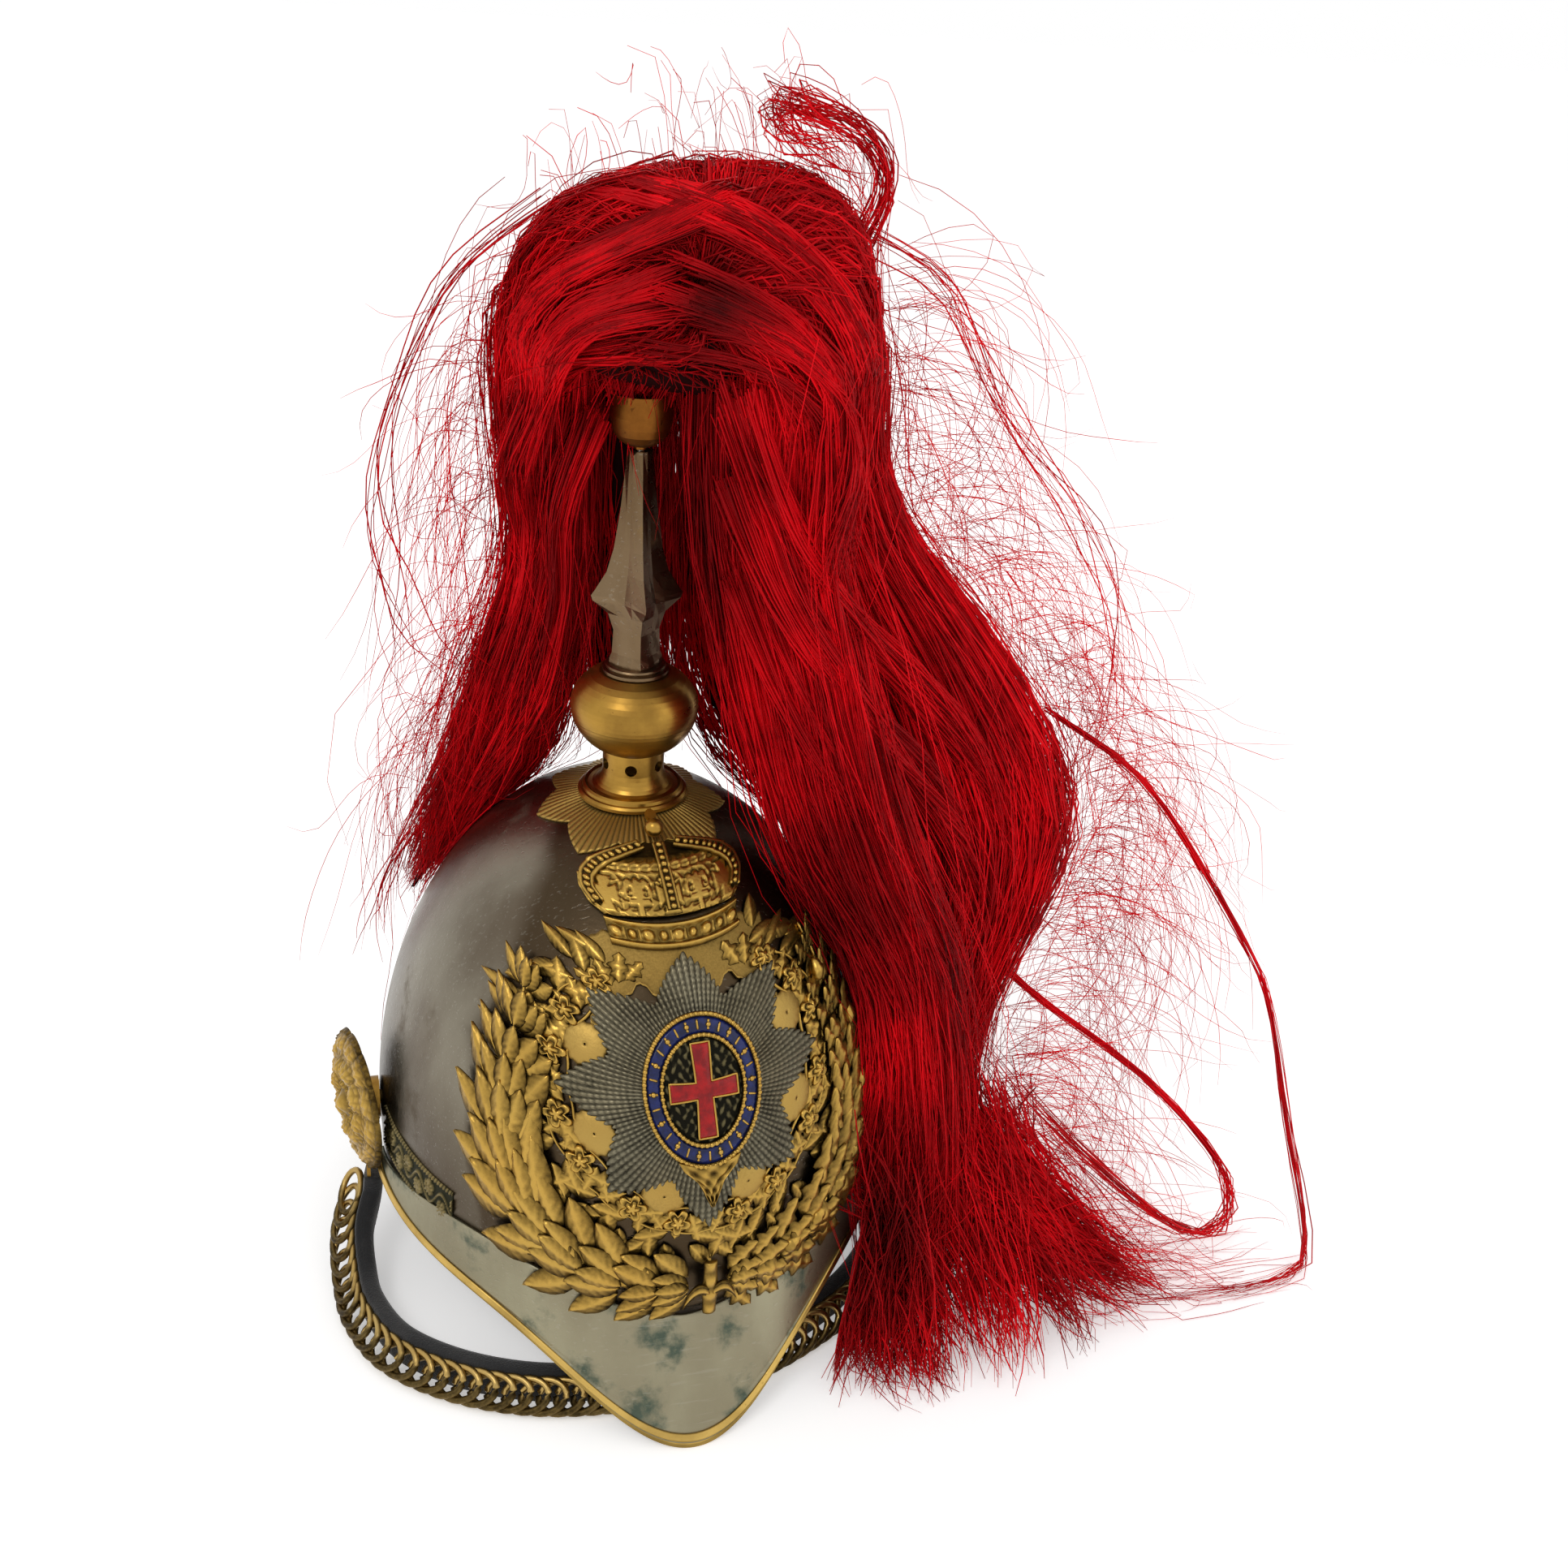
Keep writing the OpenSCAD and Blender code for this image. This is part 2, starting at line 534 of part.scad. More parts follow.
module plume_tail() color(red_hair) intersection() {
    union() {
        for (p = falls) fall(p, 2);
        heap(heap_right, 1, 2);
        heap(heap_left, -1, 2);
    }
    hair_side(false);
}
// Long stray wisps that leave the mass and come back to it or to the floor
wisps = [
    [[160, -8, 178], [203, -14, 148], [236, -26, 104], [264, -44, 56], [282, -66, 4],
     [284, -90, -26], [262, -108, -35], [222, -114, -35], [184, -112, -33]],
    [[128, -20, 97], [149, -40, 86], [196, -58, 46], [226, -78, 6], [238, -92, -22],
     [216, -96, -31], [176, -86, -14], [138, -74, 24], [110, -64, 52]],
    [[72, 2, 345], [81, 4, 366], [72, 4, 382], [55, 2, 391], [40, 0, 394], [45, -4, 385],
     [63, -2, 376], [74, 0, 358]],
    [[78, 4, 350], [106, 4, 335], [119, 2, 311], [139, 0, 282], [164, -4, 253],
     [187, -8, 215], [190, -10, 178], [172, -10, 148]],
    [[-30, 0, 359], [-60, 4, 335], [-76, 8, 306], [-87, 12, 268], [-89, 14, 236],
     [-79, 20, 202], [-58, 36, 168]],
    [[-60, 44, 140], [-84, 46, 106], [-93, 44, 80], [-97, 38, 62]]
];
wisp_r = 0.9;
module wisp(p) {
    c = curve([for (q = p) laid(q)], 4);
    tube([for (i = [0:len(c) - 1]) let (t = along(c, i), s = unit(cross(t, [0, -1, 0.12])),
        n = cross(s, t)) [for (j = [0:5]) c[i] + wisp_r * (cos(60 * j) * s + sin(60 * j) * n)]]);
}
// Each wisp ends where it meets the mass
module plume_wisps() color(red_hair) difference() {
    union() for (p = wisps) wisp(p);
    plume_hair();
    plume_tail();
}

// Plate: frosted field, pierced collar, branches, star, oval ring and crown, each a skin
// that lies on the one below.

plate_t = 0.9;
plate_back = 3 * seat;
plate_front = plate_back + plate_t;
collar_in = 37;
collar_out = 57;
field_low = star_v + 33;
field_v = star_v + 54;
field_w = 31;
module plate_field() {
    rows = [0, 0.25, 0.5, 0.75, 1];
    us = [for (j = [0:16]) -1 + j / 8];
    function low(u) = field_low + 6 * (1 - saw(u * 2)) - 2;
    color(gilt) sheet(
        [for (w = rows) [for (u = us) plate(u * field_w, mix(low(u), field_v, w), plate_back)]],
        [for (w = rows) [for (u = us) plate(u * field_w, mix(low(u), field_v, w), plate_front)]]);
}
// Round the star centre: a is clockwise from the top, r the distance
function round_star(r, a, d, flat = 1) = plate(r * sin(a), star_v + r * flat * cos(a), d);
collar_gap = 44;
module plate_collar() {
    n = 44;
    as = [for (j = [0:n]) mix(collar_gap, 360 - collar_gap, j / n)];
    rows = [collar_in, (collar_in + collar_out) / 2, collar_out];
    function wave(r, a) = r + (r == collar_in ? 2 : r == collar_out ? 2.5 : 0) * saw(a / 15);
    color(gilt) difference() {
        sheet([for (r = rows) [for (a = as) round_star(wave(r, a), a, plate_back, 0.94)]],
              [for (r = rows) [for (a = as) round_star(wave(r, a), a, plate_front, 0.94)]]);
        for (a = valley_turns) stand_on(collar_mid, a, -3) cylinder(d = 5, h = 8, $fn = 24);
    }
}
collar_mid = (collar_in + collar_out) / 2 - 0.5;
// A pair of roundels and a hole in each valley of the star that the collar passes
valley_turns = [for (i = [1:6]) 22.5 + 45 * i];
roundel_off = 9.5;
roundel_r = 3.4;
roundel_turns = [for (a = valley_turns) for (s = [-1, 1]) a + s * roundel_off];
// Puts its children on the plate, standing square to the metal
module stand_on(r, a, d) {
    p = round_star(r, a, d, 0.94);
    n = unit(cross(round_star(r, a + 1, d, 0.94) - p, round_star(r + 1, a, d, 0.94) - p));
    translate(p) rotate([0, acos(n[2]), atan2(n[1], n[0])]) children();
}
module plate_roundels() color(gilt) for (a = roundel_turns)
    stand_on(collar_mid, a, plate_front + fit) rotate_extrude($fn = 32) polygon([
        [0, 0], [roundel_r, 0], [roundel_r, 0.8], [roundel_r - 0.5, 1.3],
        [roundel_r - 1.1, 0.9], [roundel_r - 1.8, 1.5], [0, 2]]);

// Branch of the wreath. Rows are share of its length, angle, height and half width.
branch_path = [[0, 3.4, 2.5, 6], [0.12, 13, 3, 9.5], [0.25, 25, 9.5, 12.5], [0.4, 36, 22, 14],
    [0.55, 42.5, 41, 13.5], [0.7, 45.6, 63, 12], [0.85, 46.2, 86, 10], [1, 47, 110, 1.5]];
function branch_t(q) = table(q, [for (b = branch_path) [b[0], b[1]]]);
function branch_v(q) = table(q, [for (b = branch_path) [b[0], b[2]]]);
function branch_w(q) = table(q, [for (b = branch_path) [b[0], b[3]]]);
deg_len = skull_half_l * PI / 180 * 0.92;
function branch_dir(q) = let (a = max(0, q - 0.05), b = min(1, q + 0.05), k = deg_len
    * cos(rise(branch_v(q)))) unit([(branch_t(b) - branch_t(a)) * k, branch_v(b) - branch_v(a)]);
leaf_rise = 3.2;
// The branches lie over the peak's upper edge, the collar and the foliage bands
branch_back = max(peak_t, band_t) + 3 * seat;
module branch(side, leaves) {
    n = 40;
    qs = [for (j = [0:n]) j / n];
    rows = [[-1, 0.25], [-0.5, 0.8], [0, 1], [0.5, 0.8], [1, 0.25]];
    function spread(q, w) = w * branch_w(q) * (abs(w) == 1 ? 0.82 + 0.3 * saw(q * leaves) : 1);
    function at(q, w, d) = let (g = branch_dir(q), k = deg_len * cos(rise(branch_v(q))),
        s = spread(q, w)) skin(plate_turn + side * (branch_t(q) + g[1] * s / k),
        branch_v(q) - g[0] * s, d);
    // on the right the columns run to the right, on the left to the left
    lay = side > 0 ? qs : [for (j = [n:-1:0]) j / n];
    sheet([for (i = [4:-1:0]) [for (q = lay) at(q, rows[i][0], branch_back)]],
          [for (i = [4:-1:0]) [for (q = lay) at(q, rows[i][0], branch_back + 0.8 + leaf_rise * rows[i][1]
              * (0.7 + 0.3 * saw(q * leaves * 2)) * min(1, branch_w(q) / 8))]]);
}
module laurel_branch() color(gilt) branch(-1, 13);
module oak_branch() color(gilt) branch(1, 11);
tie_half = 2.9;
module branch_tie() {
    vs = [-8, -3, 3, 8, 13];
    function at(v, w, d) = skin(plate_turn + w * tie_half * (1 - 0.03 * abs(v - 2)), v,
        branch_back + leaf_rise * 0.9 + d);
    color(gilt) sheet([for (v = vs) [for (w = [-1, 0, 1]) at(v, w, 0)]],
        [for (v = vs) [for (w = [-1, 0, 1]) at(v, w, w == 0 ? 2.4 : 1.4)]]);
}

star_back = plate_front + 2 * seat;
star_flat = 4;
function star_reach(a) = mix(star_valley, star_r, saw(a / 45));
module badge_star() {
    n = 48;
    rows = [[1, 0.9], [0.8, 2.4], [0.6, star_flat - seat], [0.07, star_flat - seat]];
    as = [for (j = [0:n - 1]) -j * 360 / n];
    function ridge(a, w) = w < 0.65 ? 0 : 0.7 * (saw(a / 45) - 0.5);
    color(silver) sheet(
        [for (r = rows) [for (a = as) round_star(star_reach(a) * r[0], a, star_back)]],
        [for (r = rows) [for (a = as) round_star(star_reach(a) * r[0], a,
            star_back + max(0.4, r[1] + ridge(a, r[0])))]], true);
}
ring_back = star_back + star_flat;
// Closed oval skin between two shares of the ring's size
module oval(from, to, low, high, n = 36) {
    as = [for (j = [0:n - 1]) -j * 360 / n];
    function at(f, a, d) = plate(ring_w * f * sin(a), star_v + ring_h * f * cos(a), d);
    sheet([for (f = [to, from]) [for (a = as) at(f, a, low)]],
          [for (f = [to, from]) [for (a = as) at(f, a, high)]], true);
}
rim_out = 1;
rim_width = 0.07;
rim_in = 0.66;
module ring_rims() color(gilt) {
    oval(rim_out - rim_width, rim_out, ring_back, ring_back + 1.9);
    oval(rim_in, rim_in + rim_width, ring_back, ring_back + 1.9);
}
module ring_enamel() color([0.07, 0.12, 0.45])
    oval(rim_in + rim_width + 0.005, rim_out - rim_width - 0.005, ring_back, ring_back + 1.2);
module ring_ground() color([0.12, 0.11, 0.09])
    oval(0.04, rim_in - 0.01, ring_back, ring_back + 0.5);
cross_reach = rim_in - 0.05;
cross_low = ring_back + 0.5 + seat;
cross_high = cross_low + 1.1;
module cross_bar(u0, u1, v0, v1) {
    us = [for (i = [0:4]) mix(u0, u1, i / 4)];
    vs = [for (i = [0:4]) mix(v0, v1, i / 4)];
    sheet([for (v = vs) [for (u = us) plate(u, star_v + v, cross_low)]],
          [for (v = vs) [for (u = us) plate(u, star_v + v, cross_high)]]);
}
module badge_cross() color([0.7, 0.04, 0.06]) union() {
    h = cross_w / 2;
    cross_bar(-ring_w * cross_reach, ring_w * cross_reach, -h, h);
    cross_bar(-h, h, -ring_h * cross_reach, ring_h * cross_reach);
}
buckle_h = 11;
module ring_buckle() {
    v0 = star_v - ring_h * rim_out - fit;
    rows = [[1, 1.5], [0.75, 5], [0.4, 4], [0, 7]];
    us = [-1, -0.5, 0, 0.5, 1];
    color(gilt) sheet(
        [for (r = rows) [for (u = us) plate(u * r[1], v0 - r[0] * buckle_h, ring_back)]],
        [for (r = rows) [for (u = us) plate(u * r[1], v0 - r[0] * buckle_h,
            ring_back + 2 - abs(u) * 0.8)]]);
}

// Crown above the plate. Its back clears the rayed plate that lies under its top.
crown_v = star_v + 49.5;
function crown_back(v) = v < pole_v - ray_r - 3 ? plate_front + seat : ray_t + 0.45 + 3 * seat;
module crown_strip(path, half, rise_by) {
    // path rows are distance right of the middle and height above the crown's foot
    n = len(path) - 1;
    function dir(i) = unit(path[min(n, i + 1)] - path[max(0, i - 1)]);
    function at(i, w, d) = let (g = dir(i), p = path[i] + w * half * [g[1], -g[0]])
        plate(p[0], crown_v + p[1], crown_back(crown_v + p[1]) + d);
    sheet([for (w = [-1, 0, 1]) [for (i = [n:-1:0]) at(i, w, cap_t + seat)]],
          [for (w = [-1, 0, 1]) [for (i = [n:-1:0]) at(i, w, cap_t + seat + rise_by
              * (w == 0 ? 1 : 0.5))]]);
}
cap_t = 1;
crown_band_h = 10;
module crown_band() {
    rows = [[0, 1.2], [0.16, 3.6], [0.3, 2.2], [0.75, 2.6], [0.86, 3.6], [1, 2]];
    us = [for (j = [0:12]) -1 + j / 6];
    color(gilt) sheet(
        [for (r = rows) [for (u = us) let (v = crown_v + crown_band_h * r[0] - 2 * (1 - u * u))
            plate(u * (22.5 + r[0]), v, plate_front + seat)]],
        [for (r = rows) [for (u = us) let (v = crown_v + crown_band_h * r[0] - 2 * (1 - u * u))
            plate(u * (22.5 + r[0]), v, plate_front + seat + r[1])]]);
}
// Height above the crown's foot, half width
cap_shape = [[10.4, 23], [14, 27], [19, 29], [24, 28.5], [29, 25], [34, 19], [38, 12], [42, 4]];
module crown_cap() {
    us = [for (j = [0:8]) -1 + j / 4];
    color(gilt) sheet(
        [for (s = cap_shape) [for (u = us) let (v = crown_v + s[0] - (s[0] < 11
            ? 2 * (1 - u * u) - 0.2 : 0)) plate(u * s[1], v, crown_back(v))]],
        [for (s = cap_shape) [for (u = us) let (v = crown_v + s[0] - (s[0] < 11
            ? 2 * (1 - u * u) - 0.2 : 0)) plate(u * s[1], v, crown_back(v) + cap_t)]]);
}
module crown_arches() color(gilt) {
    side_arch = [[24, 14], [26.4, 19], [25.6, 24], [22.6, 28.5], [18, 32.5], [12, 36.5], [6, 39.6]];
    crown_strip(side_arch, 2.1, 2.6);
    crown_strip([for (i = [6:-1:0]) [-side_arch[i][0], side_arch[i][1]]], 2.1, 2.6);
    crown_strip([for (i = [6:-1:0]) [0, 12 + i * 4.6]], 2.1, 3.2);
}
orb_r = 3.4;
module crown_orb() {
    p = plate(0, crown_v + 46.4, crown_back(pole_v) + cap_t + 2.3);
    q = plate(0, crown_v + 53, crown_back(pole_v) + cap_t + 3.1);
    lean = atan2(q[1] - p[1], q[2] - p[2]);
    color(gilt) translate(p) rotate([-lean, 0, plate_turn]) union() {
        sphere(r = orb_r, $fn = 40);
        translate([0, 0, orb_r - 0.6]) linear_extrude(5.6) square([1.6, 1.6], center = true);
        translate([0, 0, orb_r + 2.6]) rotate([90, 0, 0])
            cylinder(r = 2.1, h = 1.4, center = true, $fn = 32);
    }
}

// Studs behind the plate, through the skull, with their nuts inside
stud_spots = [[-39, 60], [39, 60], [-14, 112], [14, 112]];
module plate_studs() {
    color(old_brass) for (s = stud_spots) {
        p = skin(plate_turn + s[0] * 0.55, s[1], -skull_t - 0.05);
        n = unit(p - skin(plate_turn + s[0] * 0.55, s[1], -skull_t - 1));
        translate(p) rotate([0, acos(n[2]), atan2(n[1], n[0])])
            translate([0, 0, -2.4]) cylinder(r = 3, h = 2);
    }
}

// Rosettes

tab_t = 1.4;
washer_t = 5;
washer_x = skull_half_w + seat;
tab_x = washer_x + washer_t + run;
rosette_x = tab_x + tab_t + run;
module at_rosette(side) translate([0, -rosette_fwd, rosette_z]) rotate([0, 90 * side, 0])
    children();
module rosette(side) {
    petals = 8;
    color(gilt) at_rosette(side) union() {
        translate([0, 0, rosette_x]) rotate_extrude($fn = 72) polygon([
            [0, 0], [rosette_r - 1, 0], [rosette_r, 0.6], [rosette_r - 0.3, 1.8],
            [rosette_r - 2, 2.4], [rosette_r - 4, 1.8], [rosette_r - 8, 3.2], [14, 4.6],
            [9, 5.2], [0, 5.6]]);
        for (i = [0:petals - 1]) rotate([0, 0, i * 360 / petals])
            translate([rosette_r * 0.56, 0, rosette_x + 1]) cylinder(r = 6.4, h = 4.4, $fn = 32);
        translate([0, 0, rosette_x + 5]) sphere(r = 5, $fn = 40);
        translate([0, 0, rosette_x - stud_len]) cylinder(r = pivot_r, h = stud_len + 1);
    }
}
stud_len = rosette_x - skull_half_w + skull_t + 4.6;
module rosette_left() rosette(-1);
module rosette_right() rosette(1);
module rosette_washers() color(gilt) for (side = [-1, 1]) at_rosette(side) difference() {
    translate([0, 0, washer_x]) cylinder(r = 8, h = washer_t);
    translate([0, 0, washer_x - 1]) cylinder(r = pivot_r + fit, h = washer_t + 2);
}
module rosette_nuts() color(old_brass) for (side = [-1, 1]) at_rosette(side) difference() {
    translate([0, 0, skull_half_w - skull_t - 3.6]) cylinder(r = 4.6, h = 2.6, $fn = 6);
    translate([0, 0, skull_half_w - skull_t - 5]) cylinder(r = pivot_r + seat, h = 8);
}

// Chin chain: strap, links and end tabs, lying forward on the table under the peak

tab_len = rosette_r + 3;
tab_lean = 14;
strap_low = floor_z + strap_w / 2 + 2 * seat;
// Where the middle of a tab is, at a distance from its rosette
function tab_line(side, r) = [side * (tab_x + tab_t / 2), -rosette_fwd - r * sin(tab_lean),
    rosette_z - r * cos(tab_lean)];
// From the end of a tab down to the floor
function strap_fall(side) = [
    tab_line(side, tab_len + run),
    tab_line(side, tab_len + 9) - [-1.5 * side, 1, 0],
    [side * (tab_x + 6), -rosette_fwd - 22, mix(rosette_z - tab_len, strap_low, 0.62)],
    [side * (tab_x + 6), -rosette_fwd - 37, mix(rosette_z - tab_len, strap_low, 0.93)]];
// On the floor, as shares of the skull's half width and half length; the right side has
// slipped inwards
strap_lie = [[-1.09, -0.5], [-0.99, -0.67], [-0.79, -0.81], [-0.54, -0.905], [-0.28, -0.945],
    [0, -0.945], [0.28, -0.91], [0.53, -0.82], [0.74, -0.71], [0.9, -0.57]];
strap_back = strap_fall(1);
strap_path = concat(strap_fall(-1),
    [for (p = strap_lie) [p[0] * skull_half_w, p[1] * skull_half_l, strap_low]],
    [[skull_half_w * 1, -skull_half_l * 0.44, strap_low + 1.5]],
    [for (i = [2:-1:0]) strap_back[i]]);
strap_mid = [0, -rosette_fwd - 20, 0];
function strap_out(p, t) = let (r = [p[0], p[1] - strap_mid[1], 0], n = r - (r * t) * t) unit(n);
strap_curve = curve(strap_path, 4);
strap_n = len(strap_curve);
module chin_strap() {
    color([0.06, 0.05, 0.05])
    tube([for (i = [0:strap_n - 1]) let (p = strap_curve[i], t = along(strap_curve, i),
        n = strap_out(p, t), w = cross(t, n), a = strap_w / 2, b = strap_t / 2)
        [p + a * w + b * n, p - a * w + b * n, p - a * w - b * n, p + a * w - b * n]]);
}
strap_sum = [for (i = 0, s = 0; i < strap_n; s = s + (i < strap_n - 1
    ? norm(strap_curve[i + 1] - strap_curve[i]) : 0), i = i + 1) s];
strap_len = strap_sum[strap_n - 1];
function strap_at(s, i = 0) = i >= strap_n - 2 || strap_sum[i + 1] >= s
    ? [i, (s - strap_sum[i]) / (strap_sum[i + 1] - strap_sum[i])] : strap_at(s, i + 1);
link_pitch = link_r + wire_r + 0.75;
chain_margin = link_r + wire_r + 2;
link_count = floor((strap_len - 2 * chain_margin) / link_pitch) + 1;
link_first = (strap_len - (link_count - 1) * link_pitch) / 2;
link_off = strap_t / 2 + 2 * run + (link_r + wire_r) * sin(link_tilt);
module chin_chain() {
    color(gilt) for (k = [0:link_count - 1]) {
        f = strap_at(link_first + k * link_pitch);
        p = mix(strap_curve[f[0]], strap_curve[f[0] + 1], f[1]);
        t = unit(strap_curve[f[0] + 1] - strap_curve[f[0]]);
        n = strap_out(p, t);
        w = cross(t, n);
        tilt = (k % 2 == 0 ? 1 : -1) * link_tilt;
        axis = cos(tilt) * n + sin(tilt) * w;
        translate(p + link_off * n + 0.6 * w) rotate([0, acos(axis[2]), atan2(axis[1], axis[0])])
            rotate_extrude($fn = 32) translate([link_r, 0]) circle(r = wire_r, $fn = 16);
    }
}
tab_r = 6;
module strap_tabs() color(gilt) for (side = [-1, 1]) at_rosette(side) difference() {
    translate([0, 0, tab_x]) union() {
        cylinder(r = tab_r, h = tab_t);
        rotate([0, 0, side > 0 ? -tab_lean : 180 + tab_lean]) translate([0, 0.5 - tab_r, 0])
            cube([tab_len, 2 * tab_r - 1, tab_t]);
    }
    translate([0, 0, tab_x - 1]) cylinder(r = pivot_r + fit, h = tab_t + 2);
}

// Liner

liner_in = skull_t + liner_gap;
liner_z = 3;
module liner_band() {
    cols = 48;
    vs = [liner_z - spring_h, 0, liner_z + liner_h - spring_h];
    color(leather)
    sheet([for (v = vs) [for (j = [0:cols - 1]) skin(j * 360 / cols, v, -liner_in - liner_t)]],
          [for (v = vs) [for (j = [0:cols - 1]) skin(j * 360 / cols, v, -liner_in)]], true);
}
tongue_low = liner_z + liner_h - spring_h - 8;
tongue_top = pole_v * 0.84;
tongue_back = -liner_in - liner_t - 3 * seat;
module liner_tongues() color(leather) for (k = [0:tongues - 1]) {
    mid = (k + 0.5) * 360 / tongues;
    half = 180 / tongues - 1.5;
    rows = [[0, 1], [0.25, 1], [0.5, 0.97], [0.75, 0.85], [0.93, 0.6], [1, 0.3]];
    us = [-1, -0.5, 0, 0.5, 1];
    sheet([for (r = rows) [for (u = us) skin(mid + u * half * r[1],
              mix(tongue_low, tongue_top, r[0]), tongue_back - liner_t)]],
          [for (r = rows) [for (u = us) skin(mid + u * half * r[1],
              mix(tongue_low, tongue_top, r[0]), tongue_back)]]);
}
// The lace draws the ends of the tongues together and runs along their inner faces
lace_r = 1;
lace_d = tongue_back - liner_t - lace_r - run;
module liner_lace() {
    ts = [for (j = [0:63]) j * 360 / 64];
    rows = [[-0.9, 0.45], [0, 1], [0.9, 0.45]];
    color([0.85, 0.8, 0.7]) sheet(
        [for (r = rows) [for (t = ts) skin(t, tongue_top - 4 + r[0] * lace_r, lace_d - r[1] * lace_r)]],
        [for (r = rows) [for (t = ts) skin(t, tongue_top - 4 + r[0] * lace_r, lace_d + r[1] * lace_r)]],
        true);
}

skull_shell();
front_peak();
rear_peak();
front_binding();
rear_binding();
band_left();
band_right();
band_rear();
crown_ray_plate();
vent_neck();
vent_nut();
onion_lower();
onion_upper();
spike();
plume_rod();
plume_cup();
plume_nut();
plume_binding();
plume_hair();
plume_tail();
plume_wisps();
plate_field();
plate_collar();
plate_roundels();
laurel_branch();
oak_branch();
branch_tie();
badge_star();
ring_rims();
ring_enamel();
ring_ground();
badge_cross();
ring_buckle();
crown_band();
crown_cap();
crown_arches();
crown_orb();
plate_studs();
rosette_left();
rosette_right();
rosette_washers();
rosette_nuts();
strap_tabs();
chin_strap();
chin_chain();
liner_band();
liner_tongues();
liner_lace();
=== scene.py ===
"""Looks of a plumed cavalry helmet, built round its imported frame.

All sizes are written in millimetres in the frame's own axes: +Z up along the spike, the front
towards -Y. Meshes are worked out with numpy and stored in metres.
"""

import json
import logging
import math
from dataclasses import dataclass, field
from enum import Enum
from typing import Any, Callable, Optional, Sequence

import bpy
import numpy as np
from mathutils import Matrix

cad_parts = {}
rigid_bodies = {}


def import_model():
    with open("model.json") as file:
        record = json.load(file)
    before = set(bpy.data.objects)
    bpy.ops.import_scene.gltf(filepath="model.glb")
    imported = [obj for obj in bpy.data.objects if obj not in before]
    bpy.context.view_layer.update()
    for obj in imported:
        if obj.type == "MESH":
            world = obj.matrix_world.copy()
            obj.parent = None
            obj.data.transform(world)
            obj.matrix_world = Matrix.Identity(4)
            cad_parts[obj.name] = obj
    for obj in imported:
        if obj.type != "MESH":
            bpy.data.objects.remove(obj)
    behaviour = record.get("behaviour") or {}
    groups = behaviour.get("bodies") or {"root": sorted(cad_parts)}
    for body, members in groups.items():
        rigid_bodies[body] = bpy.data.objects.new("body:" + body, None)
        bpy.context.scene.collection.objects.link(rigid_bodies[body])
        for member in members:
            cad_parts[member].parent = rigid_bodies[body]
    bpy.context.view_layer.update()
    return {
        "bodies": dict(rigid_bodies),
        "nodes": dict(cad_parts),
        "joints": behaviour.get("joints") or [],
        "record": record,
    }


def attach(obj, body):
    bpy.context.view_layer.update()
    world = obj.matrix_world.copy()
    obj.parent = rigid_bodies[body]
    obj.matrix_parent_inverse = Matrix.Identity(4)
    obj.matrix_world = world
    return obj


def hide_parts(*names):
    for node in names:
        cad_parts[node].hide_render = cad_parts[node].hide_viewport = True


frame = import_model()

LOG = logging.getLogger("helmet")
MM = 0.001
FLOOR_Z = -38.08
POST_Y, POST_Z = -6.0, 26.5  # the posts of the rosettes, about which the strap swings
LEAN = math.radians(14)  # lean of the rosettes and of the tabs' line
TINY = 1e-9
Array = np.ndarray


# ---------------------------------------------------------------- shaders


class Value:
    """A number socket in a node tree; arithmetic on it adds Math nodes."""

    def __init__(self, maker: "Finish", socket: Any) -> None:
        """Wrap a socket.

        Args:
            maker: the finish whose tree the socket is in.
            socket: the output socket that holds the number.
        """
        self.maker = maker
        self.socket = socket

    def _math(self, operation: str, *terms: Any, clamp: bool = False) -> "Value":
        """Add one Math node.

        Args:
            operation: name of the Math operation.
            terms: its inputs, values or numbers.
            clamp: whether the result is held between 0 and 1.

        Returns:
            The node's result.
        """
        made = self.maker.node("ShaderNodeMath", {"operation": operation, "use_clamp": clamp},
                               dict(enumerate(terms)))
        return Value(self.maker, made.outputs[0])

    def __add__(self, other: Any) -> "Value":
        """Sum."""
        return self._math("ADD", self, other)

    def __sub__(self, other: Any) -> "Value":
        """Difference."""
        return self._math("SUBTRACT", self, other)

    def __rsub__(self, other: Any) -> "Value":
        """Difference from a number."""
        return self._math("SUBTRACT", other, self)

    def __mul__(self, other: Any) -> "Value":
        """Product."""
        return self._math("MULTIPLY", self, other)

    def most(self, other: Any) -> "Value":
        """Larger of two."""
        return self._math("MAXIMUM", self, other)

    __radd__ = __add__
    __rmul__ = __mul__

    def clamp(self) -> "Value":
        """Hold between 0 and 1."""
        return self._math("ADD", self, 0.0, clamp=True)

    def step(self, low: float, high: float) -> "Value":
        """Rise from 0 at low to 1 at high, smoothly.

        Args:
            low: value that gives 0.
            high: value that gives 1.

        Returns:
            The eased share.
        """
        made = self.maker.node("ShaderNodeMapRange", {"interpolation_type": "SMOOTHSTEP"},
                               {0: self, 1: low, 2: high})
        return Value(self.maker, made.outputs[0])


Colour = tuple[float, float, float]


